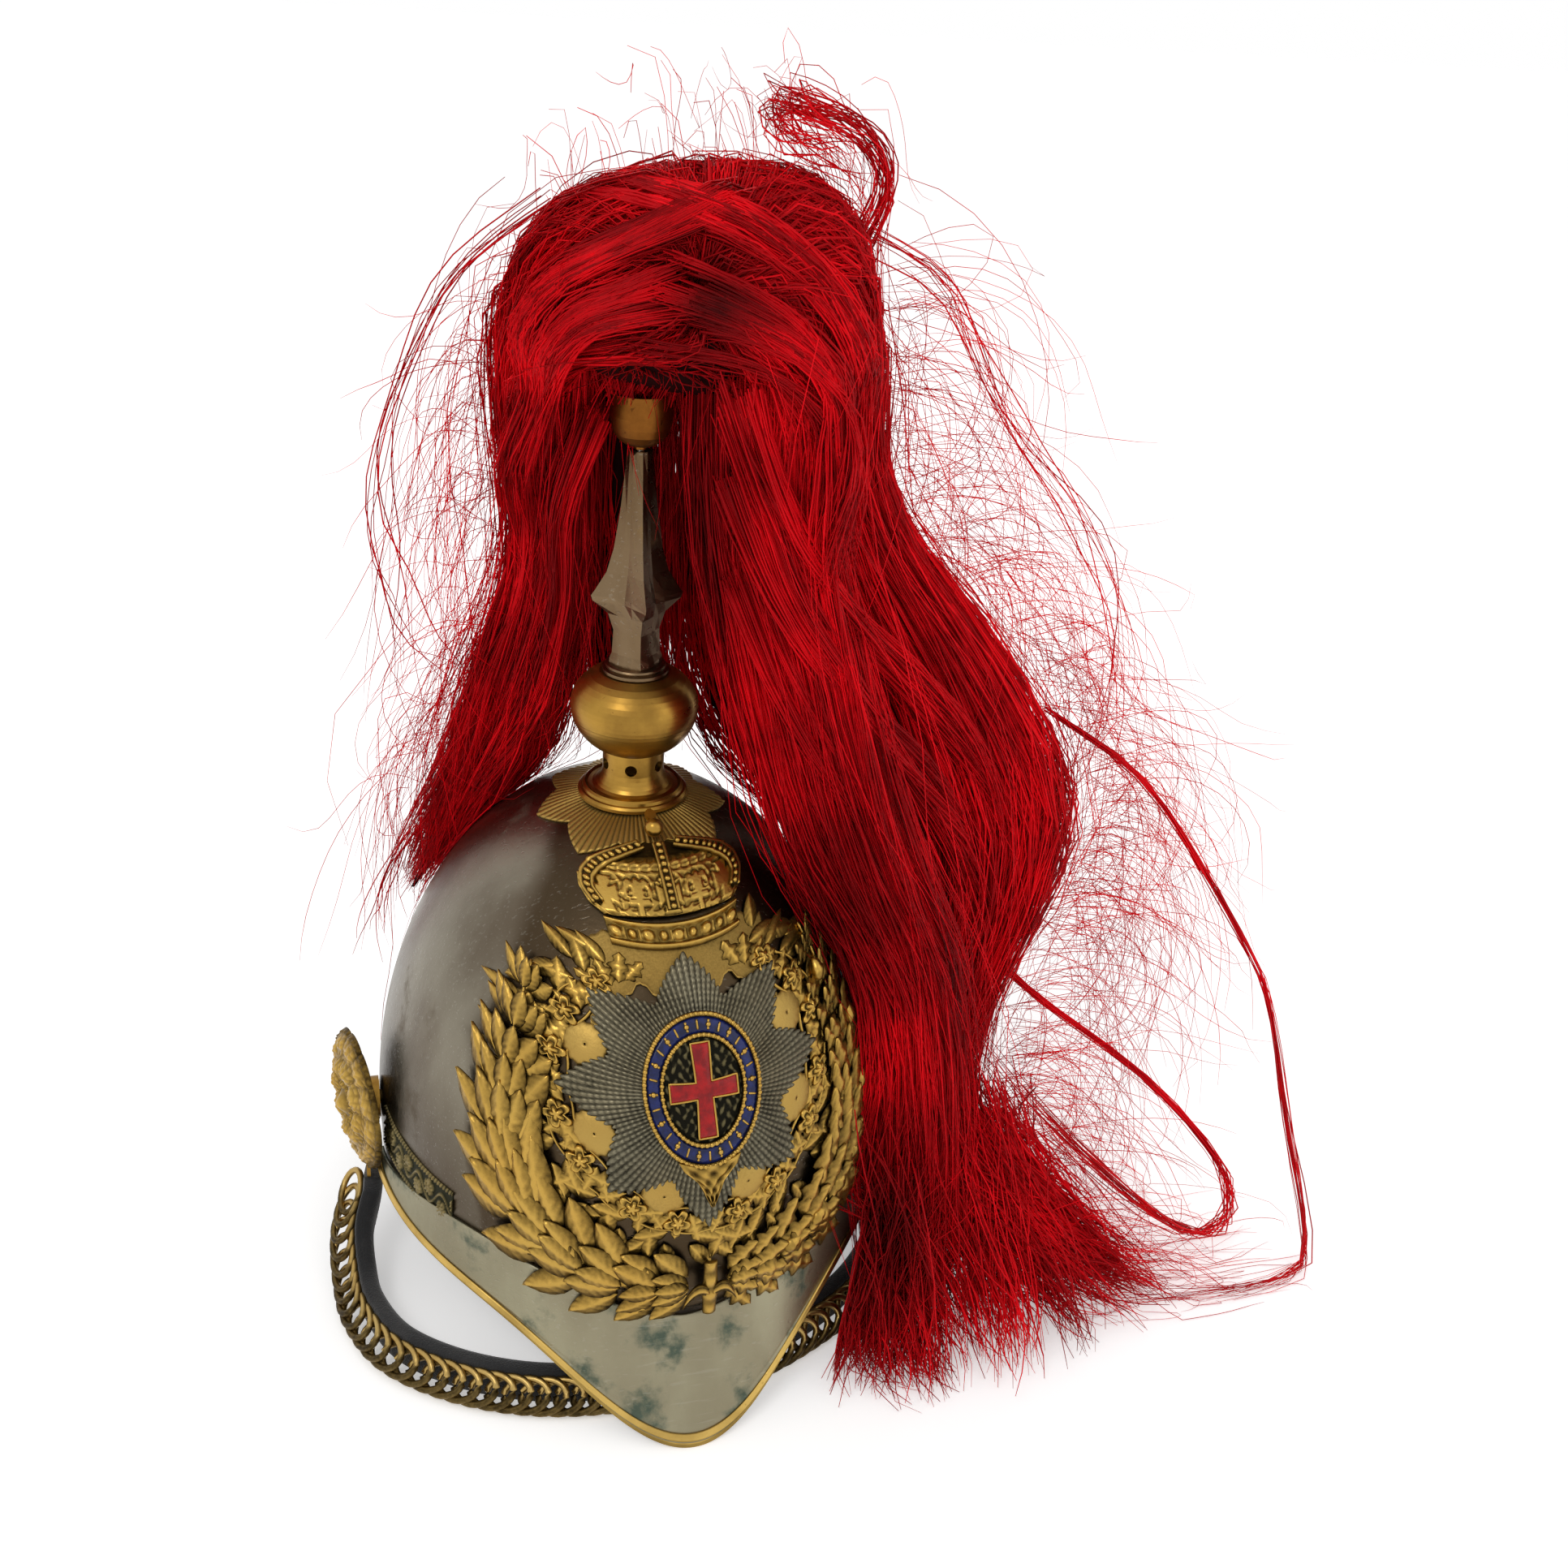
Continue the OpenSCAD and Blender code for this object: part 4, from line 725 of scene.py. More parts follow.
@dataclass(frozen=True)
class HelmetForm:
    """The egg-shaped skull and its peaks, the same form as the frame's.

    Attributes:
        side: half width of the skull at its rim.
        depth: half length of the skull at its rim.
        height: height of the skull above its rim line.
        rim_z: height of the straight rim.
        peak_t: thickness of a peak.
        turn: how far the front plate is turned to the helmet's left, degrees.
        star_v: height along the skull of the badge's middle.
        mer: length of the meridian that the heights along the skull are shares of.
        joint: height of the peaks' joint at the sides, at the front and at the back.
        arch_front: how far the joint arches up on either side of the front.
        arch_rear: the same at the rear.
        out_front: how far the front peak stands out at its point.
        out_rear: how far the rear peak stands out.
        low_front: how far the front peak's point is below the edge at the sides.
        low_rear: the same for the rear peak.
    """

    side: float = 98.0
    depth: float = 119.0
    height: float = 135.0
    rim_z: float = 16.0
    peak_t: float = 1.2
    turn: float = 4.0
    star_v: float = 71.0
    mer: float = 127.2
    joint: float = 4.0
    arch_front: float = 19.0
    arch_rear: float = 9.0
    out_front: float = 19.0
    out_rear: float = 36.0
    low_front: float = 37.0
    low_rear: float = 37.22

    def rise(self, v: Array) -> Array:
        """Angle up the meridian for a length v along it, radians."""
        return np.clip(np.maximum(v, 0.0) / self.mer, 0.0, math.pi / 2)

    def skin(self, t: Array, v: Array, d: Array) -> Array:
        """Point at turn t (radians from the front), length v up the skull and d off it.

        The level cut is an ellipse of side and depth that shrinks as cos(rise) and rises as
        height times sin(rise); below v = 0 the wall is upright.

        Args:
            t: turn about the axis.
            v: length along the skull from the rim.
            d: distance off the surface.

        Returns:
            An array of points.
        """
        t, v, d = np.broadcast_arrays(*(np.asarray(x, float) for x in (t, v, d)))
        f = self.rise(v)
        z = np.where(v <= 0, self.rim_z + v, self.rim_z + (self.height + d) * np.sin(f))
        return np.stack([(self.side + d) * np.sin(t) * np.cos(f),
                         -(self.depth + d) * np.cos(t) * np.cos(f), z], -1)

    def plate(self, u: Array, v: Array, d: Array) -> Array:
        """Point u across the front plate's middle line, v up and d off the skull.

        Args:
            u: level distance from the middle line.
            v: length along the skull from the rim.
            d: distance off the skull.

        Returns:
            An array of points.
        """
        u, v, d = np.broadcast_arrays(*(np.asarray(x, float) for x in (u, v, d)))
        share = np.clip(u / (self.side * np.cos(self.rise(v))), -1.0, 1.0)
        return self.skin(math.radians(self.turn) + np.arcsin(share), v, d)

    def round_star(self, r: Array, a: Array, d: Array, flat: float = 1.0) -> Array:
        """Point at radius r and clock angle a about the badge's middle, d off the skull."""
        return self.plate(r * np.sin(a), self.star_v + r * flat * np.cos(a), d)

    def joint_z(self, t: Array) -> Array:
        """Height of the line where the peaks leave the skull."""
        arch = np.where(np.cos(t) > 0, self.arch_front, self.arch_rear)
        return self.joint + arch * np.abs(np.sin(2 * t)) ** 1.5

    def edge(self, t: Array, out: float, drop: float = 0.0) -> Array:
        """Free edge of the peaks at turn t: an ellipse pushed out and down front and back.

        Args:
            t: turn, radians.
            out: distance off the peak's inner face.
            drop: distance below the edge line.

        Returns:
            An array of points.
        """
        c, s = np.cos(t), np.sin(t)
        k = np.abs(c)
        front = c > 0
        reach = np.where(front, self.out_front * k ** 12, self.out_rear * k ** 4)
        flat_part = math.cos(math.radians(14))
        low = np.where(front, self.low_front * k ** 7.8,
                       self.low_rear * np.minimum(1.0, k / flat_part) ** 4)
        y = -np.sign(c) * ((self.depth + out) * k + reach)
        return np.stack([(self.side + out) * s, y, 1.0 - low - drop], -1)

    def peak(self, t: Array, w: Array, d: float) -> Array:
        """Point on a peak, w from 0 at the skull to 1 at the edge.

        Args:
            t: turn, radians.
            w: share of the way out.
            d: distance outward from the peak's outer face.

        Returns:
            An array of points.
        """
        t, w = np.broadcast_arrays(t, w)
        top = self.skin(t, self.joint_z(t) - self.rim_z, self.peak_t + 0.1 + d)
        low = self.edge(t, self.peak_t + 1.9 + d)
        k = (w ** 1.12)[..., None]
        mixed = top * (1 - k) + low * k
        mixed[..., 2] = top[..., 2] * (1 - w) + low[..., 2] * w
        return mixed


FORM = HelmetForm()


def on_skull(u0: float, v0: float, d: float, spin: float) -> Callable[[Array], Array]:
    """Placing function for a small boss on the front plate.

    Args:
        u0: place across.
        v0: place up.
        d: distance off the skull.
        spin: turn on the plate, radians.

    Returns:
        A function from local x, y, height to points.
    """
    def placed(local: Array) -> Array:
        """Local drawing to points."""
        x, y = local[..., 0], local[..., 1]
        c, s = math.cos(spin), math.sin(spin)
        return FORM.plate(u0 + x * c - y * s, v0 + x * s + y * c, d + local[..., 2])
    return placed


@dataclass
class SkullWork:
    """Skull, peaks, their brass bindings and the foliage bands.

    Attributes:
        wall: thickness of the skull.
        binding_in: how far the binding reaches onto the peak.
        binding_round: radius of the rolled edge.
        line_at: share of the way out of a peak where its inner line is cut.
        band_radius: mean radius of the foliage bands.
        scroll: length of one wave of their stem.
    """

    wall: float = 1.2
    binding_in: float = 3.4
    binding_round: float = 1.2
    line_at: float = 0.875
    band_radius: float = 108.0
    scroll: float = 15.0

    def skull(self) -> None:
        """Fine shell of the skull, open at the rim, with slight old dents."""
        t = np.linspace(0, 2 * math.pi, 289)[:-1]
        v = np.concatenate([[-15.9, -8.0], np.linspace(0.0, 187.0, 90)])
        tt, vv = np.meshgrid(t, v)
        dent = 0.28 * np.sin(3 * tt + 1) * np.sin(vv / 31) * np.sin(2 * tt + vv / 47)
        front = FORM.skin(tt, vv, dent - 0.3 * (vv < 0))
        back = FORM.skin(tt, vv, dent - self.wall)
        Shape().shell(front, back, wrap=True).build("skull", Dye.SKULL, ["skull_shell"])

    def peak(self, name: str, middle: float, node: str) -> None:
        """One peak, with a fine inner line near its edge.

        Args:
            name: the piece's name.
            middle: turn of its middle, degrees.
            node: the node it replaces.
        """
        t = np.radians(middle + np.linspace(-85, 85, 241))
        w = 1 - (1 - np.linspace(0, 1, 50)) ** 1.35
        tt, ww = np.meshgrid(t, w[::-1])
        cut = hump(ww, self.line_at, 0.012)
        swell = 0.5 * hump(ww, self.line_at + 0.03, 0.018) - 0.3 * cut
        out = FORM.peak(tt, ww, 0.0)
        inner = FORM.peak(tt, ww, -FORM.peak_t)
        out = out + (out - inner) * (swell / FORM.peak_t)[..., None] * 0.6
        Shape().shell(out, inner, 1 - 0.95 * cut).build(name, Dye.PEAK, [node])

    def binding(self, name: str, middle: float, node: str) -> None:
        """Rolled brass edge: a flat lip on the peak and a round bead under its edge.

        Args:
            name: the piece's name.
            middle: turn of its middle, degrees.
            node: the node it replaces.
        """
        t = np.radians(middle + np.linspace(-84.5, 84.5, 281))
        top = FORM.peak(t, np.ones_like(t), 0.0)
        inner = FORM.peak(t, np.ones_like(t), -FORM.peak_t)
        up = unit(FORM.peak(t, np.full_like(t, 0.8), 0.0) - top)
        out = unit(top - inner)
        out = unit(out - (out * up).sum(1, keepdims=True) * up)
        reach, b = self.binding_in, self.binding_round
        section = [(reach, 0.05), (reach, 0.55), (reach * 0.8, 0.95), (reach * 0.35, 0.9),
                   (0.9, 1.2)]
        a = np.linspace(math.radians(50), math.radians(-230), 12)
        section += [(-0.6 + b * math.cos(x), -0.6 + b * 1.28 * math.sin(x)) for x in a[2:10]]
        section += [(0.6, -1.9), (2.2, -1.75), (2.2, -1.3), (0.3, -1.25), (0.3, 0.0)]
        s = np.array(section)
        rings = (top[:, None] + s[None, :, 0, None] * up[:, None]
                 + s[None, :, 1, None] * out[:, None])
        Shape().tube(rings).build(name, Dye.BINDING, [node])

    def foliage(self, name: str, start: float, end: float, node: str) -> None:
        """A band of overlapping scrolled leaves between two beaded edges.

        Args:
            name: the piece's name.
            start: first turn, degrees.
            end: last turn, degrees.
            node: the node it replaces.
        """
        arc = abs(end - start) * math.pi / 180 * self.band_radius
        cols = int(arc / 0.55) + 2
        t = np.radians(np.linspace(start, end, cols))
        v = np.linspace(0.4, 16.0, 44)
        tt, vv = np.meshgrid(t, v)
        s = (tt - math.radians(start)) * self.band_radius / self.scroll
        y = (vv - 8.2) / 7.8
        phase = 2 * math.pi * s
        height = 0.8 * hump(y - 0.45 * np.sin(phase), 0.0, 0.09)
        for k in range(-2, 2 * int(arc / self.scroll) + 3):
            side = 1 - 2 * (k % 2)
            cx, cy = 0.5 * k + 0.25, -0.30 * side
            r = np.hypot((s - cx) * 2.3, y - cy)
            turn = np.arctan2(y - cy, (s - cx) * 2.3 + 1e-9)
            lobe = 0.44 * (0.72 + 0.28 * np.abs(np.cos(2.5 * turn + 0.6 * side)))
            leaf = ease((lobe - r) / 0.12 + 0.5) * (0.75 + 0.25 * np.cos(10 * turn) * (r > 0.12))
            height = np.maximum(height, 1.15 * leaf)
        beads = (np.abs(np.abs(y) - 0.93) < 0.09) * (0.6 + 0.4 * np.cos(phase * 9))
        height = np.clip(np.maximum(height, beads), 0, 1.5)
        edge = ease((1 - np.abs(y)) / 0.05)
        front = FORM.skin(tt, vv, 0.35 + 1.15 * height * edge)
        back = FORM.skin(tt, vv, np.full_like(vv, 0.06))
        Shape().shell(front, back, np.clip(height, 0, 1)).build(name, Dye.TARNISHED, [node])

    def make(self) -> None:
        """Build everything of the skull."""
        self.skull()
        self.peak("peak_front", 0, "front_peak")
        self.peak("peak_rear", 180, "rear_peak")
        self.binding("binding_front", 0, "front_binding")
        self.binding("binding_rear", 180, "rear_binding")
        self.foliage("foliage_left", -80, -51, "band_left")
        self.foliage("foliage_right", 51, 80, "band_right")
        self.foliage("foliage_rear", 108, 252, "band_rear")


@dataclass
class CrownWork:
    """Rayed plate round the ventilator.

    Attributes:
        rays: number of fine rays.
        reach: length of the plate down the skull.
        start: radius where it meets the ventilator.
        points: number of points of its edge.
    """

    rays: int = 84
    reach: float = 47.0
    start: float = 13.6
    points: int = 8

    def make(self) -> None:
        """Rayed plate with a pointed edge: fine beads side by side along each ray."""
        a = np.linspace(0, 2 * math.pi, self.rays * 8 + 1)[:-1]
        share = np.linspace(0, 1, 24)
        aa, ss = np.meshgrid(a, share)
        point = saw(aa * self.points / (2 * math.pi))
        tooth = 0.78 + 0.22 * point ** 0.9
        r = self.start + (self.reach * tooth - self.start) * (1 - ss)
        ridge = np.abs(np.cos(aa * self.rays / 2)) ** 0.7
        lift = ridge * (0.5 + 0.3 * point)
        v = math.pi / 2 * FORM.mer - r
        front = FORM.skin(aa, v, 0.5 + 0.9 * lift)
        back = FORM.skin(aa, v, np.full_like(v, 0.08))
        Shape().shell(front, back, ridge, wrap=True).build("crown_rays", Dye.FROSTED,
                                                           ["crown_ray_plate"])


# ---------------------------------------------------------------- front plate and badge


# Line of a branch: share of its length, turn from the plate's middle in degrees, height.
LEAF_LINE = np.array([[0, 3.4, 2.5], [0.12, 13, 3], [0.25, 25, 9.5], [0.4, 36, 22],
                      [0.55, 42.5, 41], [0.7, 45, 63], [0.85, 45.6, 86], [1, 47, 110]])


class Leaf(Enum):
    """Kinds of leaf: (length, half width, lobes)."""

    LAUREL = (19.0, 4.9, 0)
    OAK = (15.0, 5.8, 3)


def sheet_on_plate(shape: Shape, u: Array, v: Array, base: Any, lift: Array,
                   crest: Any = None, wrap: bool = False) -> Shape:
    """Add a closed skin over the plate, from base to base + lift.

    Args:
        shape: gathers the points.
        u: places across, rows up and columns right.
        v: places up.
        base: distance of its back off the skull.
        lift: thickness at each point.
        crest: relief height; the lift's share of its largest value if left out.
        wrap: whether the last column meets the first.

    Returns:
        The shape.
    """
    lift = np.broadcast_to(lift, u.shape)
    if crest is None:
        crest = (lift - lift.min()) / max(float(np.ptp(lift)), 0.01)
    return shape.shell(FORM.plate(u, v, base + lift), FORM.plate(u, v, base), crest, wrap)


def bead_row(shape: Shape, path: Array, r: float, frame: Callable[[Array, Array], Array]) -> None:
    """Small domed beads at points of a path.

    Args:
        shape: gathers the points.
        path: plate places (u, v) of the bead middles.
        r: bead radius.
        frame: turns arrays of (u, v) and height into points.
    """
    a = np.arange(8) * math.pi / 4
    prof = np.array([[1.0, 0.0], [0.92, 0.45], [0.6, 0.85], [0.15, 1.0]]) * r
    uv = path[:, None, None] + prof[None, :, 0, None, None] * np.stack(
        [np.cos(a), np.sin(a)], -1)[None, None]
    h = np.broadcast_to(prof[None, :, 1, None], uv.shape[:3])
    points = frame(uv, h)
    quads = grid_quads(4, 8, wrap_cols=True)
    count = len(path)
    off = np.arange(count)[:, None, None] * 32
    faces = [(quads[None] + off).reshape(-1, 4),
             (np.arange(8)[::-1][None] + off[:, 0]), (np.arange(8)[None] + 24 + off[:, 0])]
    shape.add(points, faces, np.broadcast_to(0.35 + 0.65 * h / r, h.shape))


@dataclass
class BadgeWork:
    """Everything on the front plate.

    Attributes:
        back: where the plate's back is, off the skull.
        front: where its front is.
        star_back: back of the star.
        ring_back: back of the oval ring.
        ring_u: half width of the ring.
        ring_v: half height of the ring.
        flat: height of the collar as a share of its width.
        rng: source of the random draws, whose order sets every leaf.
    """

    back: float = 0.3
    front: float = 1.2
    star_back: float = 1.4
    ring_back: float = 5.4
    ring_u: float = 19.6
    ring_v: float = 25.0
    flat: float = 0.94
    rng: Any = field(default_factory=lambda: np.random.default_rng(5))

    def about(self, r: float, a: float) -> tuple[float, float]:
        """Places across and up at radius r and clock angle a about the badge's middle."""
        return r * math.sin(a), FORM.star_v + self.flat * r * math.cos(a)

    def sway(self) -> float:
        """Random share from -1 to 1."""
        return self.rng.uniform(-1, 1)

    def frosted_field(self) -> None:
        """Frosted plate above the star, lobed along its lower edge."""
        uu, ww = np.meshgrid(np.linspace(-33, 33, 133), np.linspace(0, 1, 24))
        low = 90.5 + 16.5 * (1 - saw(uu / 31)) + 1.2 * saw(uu / 3.4) - 0.5 * (uu / 33) ** 4
        high = 125.0 - 5.0 * ease((np.abs(uu) - 23) / 10) + 0.9 * saw(uu / 4.1)
        v = low + (high - low) * ww
        rim = ease((v - low) / 1.2)
        lift = 0.55 + 0.75 * (1 - rim) + 0.18 * np.sin(uu * 2.1) * np.sin(v * 2.3) * rim
        sheet_on_plate(Shape(), uu, v, self.back, lift, 0.45 + 0.5 * (1 - rim)).build(
            "frosted_field", Dye.FROSTED, ["plate_field"])

    def leaf(self, kind: Leaf, place: Callable[[Array, Array, Array], Array], shape: Shape,
             x0: float, y0: float, turn: float, size: float, base: float, tip_lift: float
             ) -> None:
        """Add one closed leaf with a midrib and veins.

        Args:
            kind: laurel or oak.
            place: turns developed places and heights into points.
            shape: gathers the points.
            x0: foot of the leaf, across.
            y0: foot of the leaf, up.
            turn: direction of the leaf, radians from up, clockwise.
            size: scale.
            base: height of the foot.
            tip_lift: how much the tip stands off.
        """
        length, half, lobes = kind.value
        s, w = span(13, 7)
        outline = np.sin(math.pi * s ** 0.85) ** 0.75
        if lobes:
            outline = outline * (0.74 + 0.26 * np.cos(2 * math.pi * lobes * s + 2.6))
        outline = np.maximum(outline, 0.05)
        y = s * length * size + 0 * w
        x = w * half * size * outline
        droop = 1.0 - np.abs(w) ** 1.15
        veins = 0.14 * np.cos(2 * math.pi * (s * 7 - np.abs(w) * 1.3))
        rib = hump(w, 0.0, 0.16)
        lift = (0.45 + 1.25 * droop + 0.25 * rib + veins * (np.abs(w) > 0.2)) * size
        lift = lift * (0.55 + 0.45 * outline)
        c, n = math.cos(turn), math.sin(turn)
        px, py = x0 + x * c + y * n, y0 - x * n + y * c
        root = base + tip_lift * s ** 1.3 + 0 * w
        # Relief value for the gilt: a painted highlight along the middle and the rib, painted
        # shade towards the foot.
        crest = np.clip(0.30 + 0.62 * droop + 0.35 * rib + veins - 0.30 * (1 - s), 0, 1)
        shape.shell(place(px, py, root + lift), place(px, py, root), crest)

    def collar(self) -> None:
        """Pierced collar: two edgings, clusters of five leaves and the skull dark between."""
        shape = Shape()
        a = np.radians(np.linspace(44, 316, 273))
        for low, high in ((42.4, 43.6), (50.6, 51.6)):
            lobe = 0.9 * np.abs(np.sin(a * 12)) * (1 if low > 50 else -1)
            r = np.linspace(low, high, 5)[:, None] + 0 * a + lobe
            lift = 0.5 + 0.9 * np.sin(np.linspace(0.2, math.pi - 0.2, 5))[:, None] + 0 * a
            shape.shell(FORM.round_star(r, a[None], self.back + lift, self.flat),
                        FORM.round_star(r, a[None], self.back, self.flat), lift - 0.5)
        first, last = 26, 334
        for at in np.arange(0, 360, 22.5) + 11.25:
            if first < at < last:
                for k in range(-2, 3):
                    ang = math.radians(at + 3.4 * k)
                    self.leaf(Leaf.OAK, FORM.plate, shape, *self.about(44.5, ang),
                              ang + 0.55 * k + 0.15, 0.66 + 0.1 * self.sway(), self.back + 0.3,
                              0.5)
        for at in np.arange(0, 360, 7.5):
            if first < at < last:
                ang = math.radians(at + self.rng.uniform(-2, 2))
                for r0, size in ((52.0, 0.62), (57.0, 0.6)):
                    self.leaf(Leaf.LAUREL, FORM.plate, shape, *self.about(r0, ang),
                              ang + self.rng.uniform(-1.5, 1.5), size, self.back + 0.4, 0.6)
        shape.build("pierced_collar", Dye.GILT, ["plate_collar"])
        self.tabs()

    def tabs(self) -> None:
        """Frosted leaf-shaped tabs with saw-cut edges in the valleys of the star."""
        shape = Shape()
        for at in np.arange(90, 360, 45) - 22.5:
            ang = math.radians(at)
            a = turns(48, -1)
            k = np.linspace(1, 0.05, 9)[:, None]
            tooth = 1 - 0.09 * saw(a * 14 / (2 * math.pi))
            x = k * tooth * 8.2 * np.sin(a)
            y = k * tooth * 7.0 * np.cos(a) + 38.5
            c, n = math.cos(ang), math.sin(ang)
            u, v = x * c + y * n, FORM.star_v + 0.96 * (-x * n + y * c)
            lift = 0.5 + 1.1 * (1 - k ** 3) + 0 * a
            sheet_on_plate(shape, u, v, self.back + 0.5, lift,
                           0.35 + 0.6 * ease((1 - k) / 0.2) + 0 * a, True)
        shape.build("collar_tabs", Dye.FROSTED, ["plate_collar"])

    def roses(self) -> None:
        """Small five-petalled bosses on the collar."""
        shape = Shape()
        profile = np.array([[4.7, 0.0], [4.9, 0.9], [4.2, 1.7], [3.2, 1.3], [2.5, 0.9],
                            [2.2, 2.0], [1.3, 2.7], [0.3, 2.9]])
        crest = [0.2, 0.8, 1.0, 0.5, 0.0, 0.7, 1.0, 1.0]
        valleys = 22.5 + 45 * np.arange(1, 7)
        for at in np.concatenate([valleys - 9.5, valleys + 9.5, [38.0, 322.0]]):
            ang = math.radians(at)
            shape.lathe(profile, on_skull(*self.about(47.5, ang), self.front, ang), 40, crest, 5,
                        0.55)
        shape.build("collar_roses", Dye.GILT, ["plate_roundels"])

    def branch(self, name: str, side: int, kind: Leaf, node: str) -> None:
        """One branch of the wreath: overlapping leaves in fives along a stem.

        Args:
            name: the piece's name.
            side: -1 for the wearer's right, 1 for the left.
            kind: laurel or oak.
            node: the node it replaces.
        """
        wide = FORM.depth * 0.92

        def place(x: Array, y: Array, d: Array) -> Array:
            """Developed places to points: x is the turn times the level radius."""
            turn = x / (wide * np.cos(FORM.rise(y)))
            return FORM.skin(math.radians(FORM.turn) + side * turn, y, d)

        q = np.linspace(0, 1, 200)
        kern = np.hanning(25) / np.hanning(25).sum()
        t, y = (np.convolve(np.pad(np.interp(q, LEAF_LINE[:, 0], LEAF_LINE[:, i]), 12, "edge"),
                            kern, "valid") for i in (1, 2))
        x = np.radians(t) * wide * np.cos(FORM.rise(y))
        shape = Shape()
        steps = 12 if kind is Leaf.LAUREL else 13
        for k in np.linspace(0.0, 0.92, steps):
            i = int(k * 199)
            j = min(i + 6, 199)
            turn = math.atan2(x[j] - x[i], y[j] - y[i])
            size = (0.62 + 0.62 * math.sin(math.pi * min(1.0, 0.12 + k * 0.95)))
            size *= 1.0 if kind is Leaf.LAUREL else 1.08
            c, n = math.cos(turn), math.sin(turn)
            for way, add in ((-2, -0.2), (2, -0.1), (-1, 0.7), (1, 0.9), (0, 1.7)):
                spread = (0, 0.34, 0.66)[abs(way)] + 0.16 * self.sway()
                off = (0, 1.5, 4.4)[abs(way)] * np.sign(way) * size
                self.leaf(kind, place, shape, x[i] + off * c, y[i] - off * n,
                          turn + np.sign(way) * spread + (0 if way else 0.14 * self.sway()),
                          size * ((0.86, 0.95, 1.0)[abs(way)] + 0.08 * self.sway()),
                          1.9 + add, 1.7)
            if kind is Leaf.OAK and int(k * 100) % 3 != 1 and 0.15 < k < 0.85:
                self.acorn(shape, place, x[i] + 5.5 * math.cos(turn) * self.rng.choice([-1, 1]),
                           y[i] + 2, turn)
        body = np.stack([x[::4], y[::4]], -1)
        stem = place(body[:, 0], body[:, 1], np.full(len(body), 2.6))
        shape.tubes(stem[None], np.linspace(1.5, 0.6, len(body)), 8, 0.8)
        shape.build(name, Dye.GILT, [node])

    def acorn(self, shape: Shape, place: Callable[[Array, Array, Array], Array], x: float,
              y: float, turn: float) -> None:
        """Add an acorn in its cup, lying along the branch.

        Args:
            shape: gathers the points.
            place: turns developed places and heights into points.
            x: foot, across.
            y: foot, up.
            turn: direction, radians from up.
        """
        s = np.linspace(0, 1, 11)[:, None]
        a = turns(14)[None]
        r = 2.5 * np.sin(math.pi * np.clip(s * 0.94 + 0.03, 0, 1)) ** 0.6
        r = r + 0.45 * (s < 0.42) * (1 + 0.25 * np.cos(a * 7) * np.cos(s * 60))
        along, across, up = s * 8.4 + 0 * a, r * np.cos(a), 4.0 + r * np.sin(a)
        c, n = math.cos(turn), math.sin(turn)
        points = place(x + across * c + along * n, y - across * n + along * c, up)
        shape.tube(points, np.where(s < 0.42, 0.6, 1.0) + 0 * a)

    def tie(self) -> None:
        """Ribbon knot that holds the two branches, with two short tails."""
        shape = Shape()
        for side in (-1, 1):
            s, w = span(14, 7)
            u = side * (0.6 + 8.0 * s) + 0.9 * w * (1 + s) * -0.4 * side
            v = 1.5 + 7.0 * np.sin(s * 2.4) * 0.5 - 5.5 * s ** 2 + w * (1.2 + 1.6 * s)
            u, v = np.broadcast_arrays(u, v)
            base = 5.6
            lift = 0.9 + 0.8 * np.sin(s * math.pi) + 0.35 * np.cos(w * 4)
            order = slice(None) if side > 0 else slice(None, None, -1)
            sheet_on_plate(shape, u[:, ::-1][order], v[:, ::-1][order], base, lift[order],
                           0.5 + 0.5 * np.cos(w * 4) + 0 * s)
        v = np.linspace(-8, 13, 30)[:, None]
        w = np.linspace(-1, 1, 9)[None]
        fold = 0.5 + 0.5 * np.cos(v * 1.05)
        half = 2.2 + 0.8 * hump(v, 2, 3.5)
        lift = 1.1 + 1.5 * (1 - w ** 2) * (0.6 + 0.4 * fold)
        sheet_on_plate(shape, w * half, v + 0 * w, 4.4, lift, 0.3 + 0.7 * fold * (1 - w ** 2))
        shape.build("branch_knot", Dye.GILT, ["branch_tie"])

    def star(self) -> None:
        """Eight-pointed star of fine beaded lines; the reach is a triangle wave of the angle."""
        lines, per = 120, 5
        n = lines * per
        a = turns(n, -1)
        line = np.round(a * lines / (2 * math.pi)) * 2 * math.pi / lines
        reach = 31.0 + 15.0 * saw(line * 8 / (2 * math.pi))
        across = np.abs(np.cos(a * lines / 2))
        reach = reach - 1.6 * (1 - across ** 0.7)
        share = np.linspace(1, 0.30, 34)[:, None]
        r = share * reach[None]
        ray = saw(a * 8 / (2 * math.pi))[None]
        bead = 0.5 + 0.5 * np.cos(2 * math.pi * r / 2.1)
        ridge = across[None] ** 0.8
        lift = 0.5 + 3.1 * ease((1 - share) / 0.75) + (0.9 * ray - 0.3) * ease(share * 1.6 - 0.4)
        lift = np.clip(lift + 0.85 * ridge * (0.45 + 0.55 * bead), 0.25, 3.8)
        Shape().shell(FORM.round_star(r, a[None], self.star_back + lift),
                      FORM.round_star(r, a[None], self.star_back),
                      ridge * (0.4 + 0.6 * bead), True).build("star", Dye.STAR, ["badge_star"])

    def oval(self, low: float, high: float, cols: int, rows: int) -> tuple[Array, Array, Array]:
        """Grid between two shares of the ring.

        Args:
            low: inner share.
            high: outer share.
            cols: steps round.
            rows: steps across.

        Returns:
            Places across, places up and the share across from 0 inside to 1.
        """
        a = turns(cols, -1)
        k = np.linspace(1, 0, rows)[:, None]
        return (*self.on_oval(low + (high - low) * k, a), k + 0 * a)

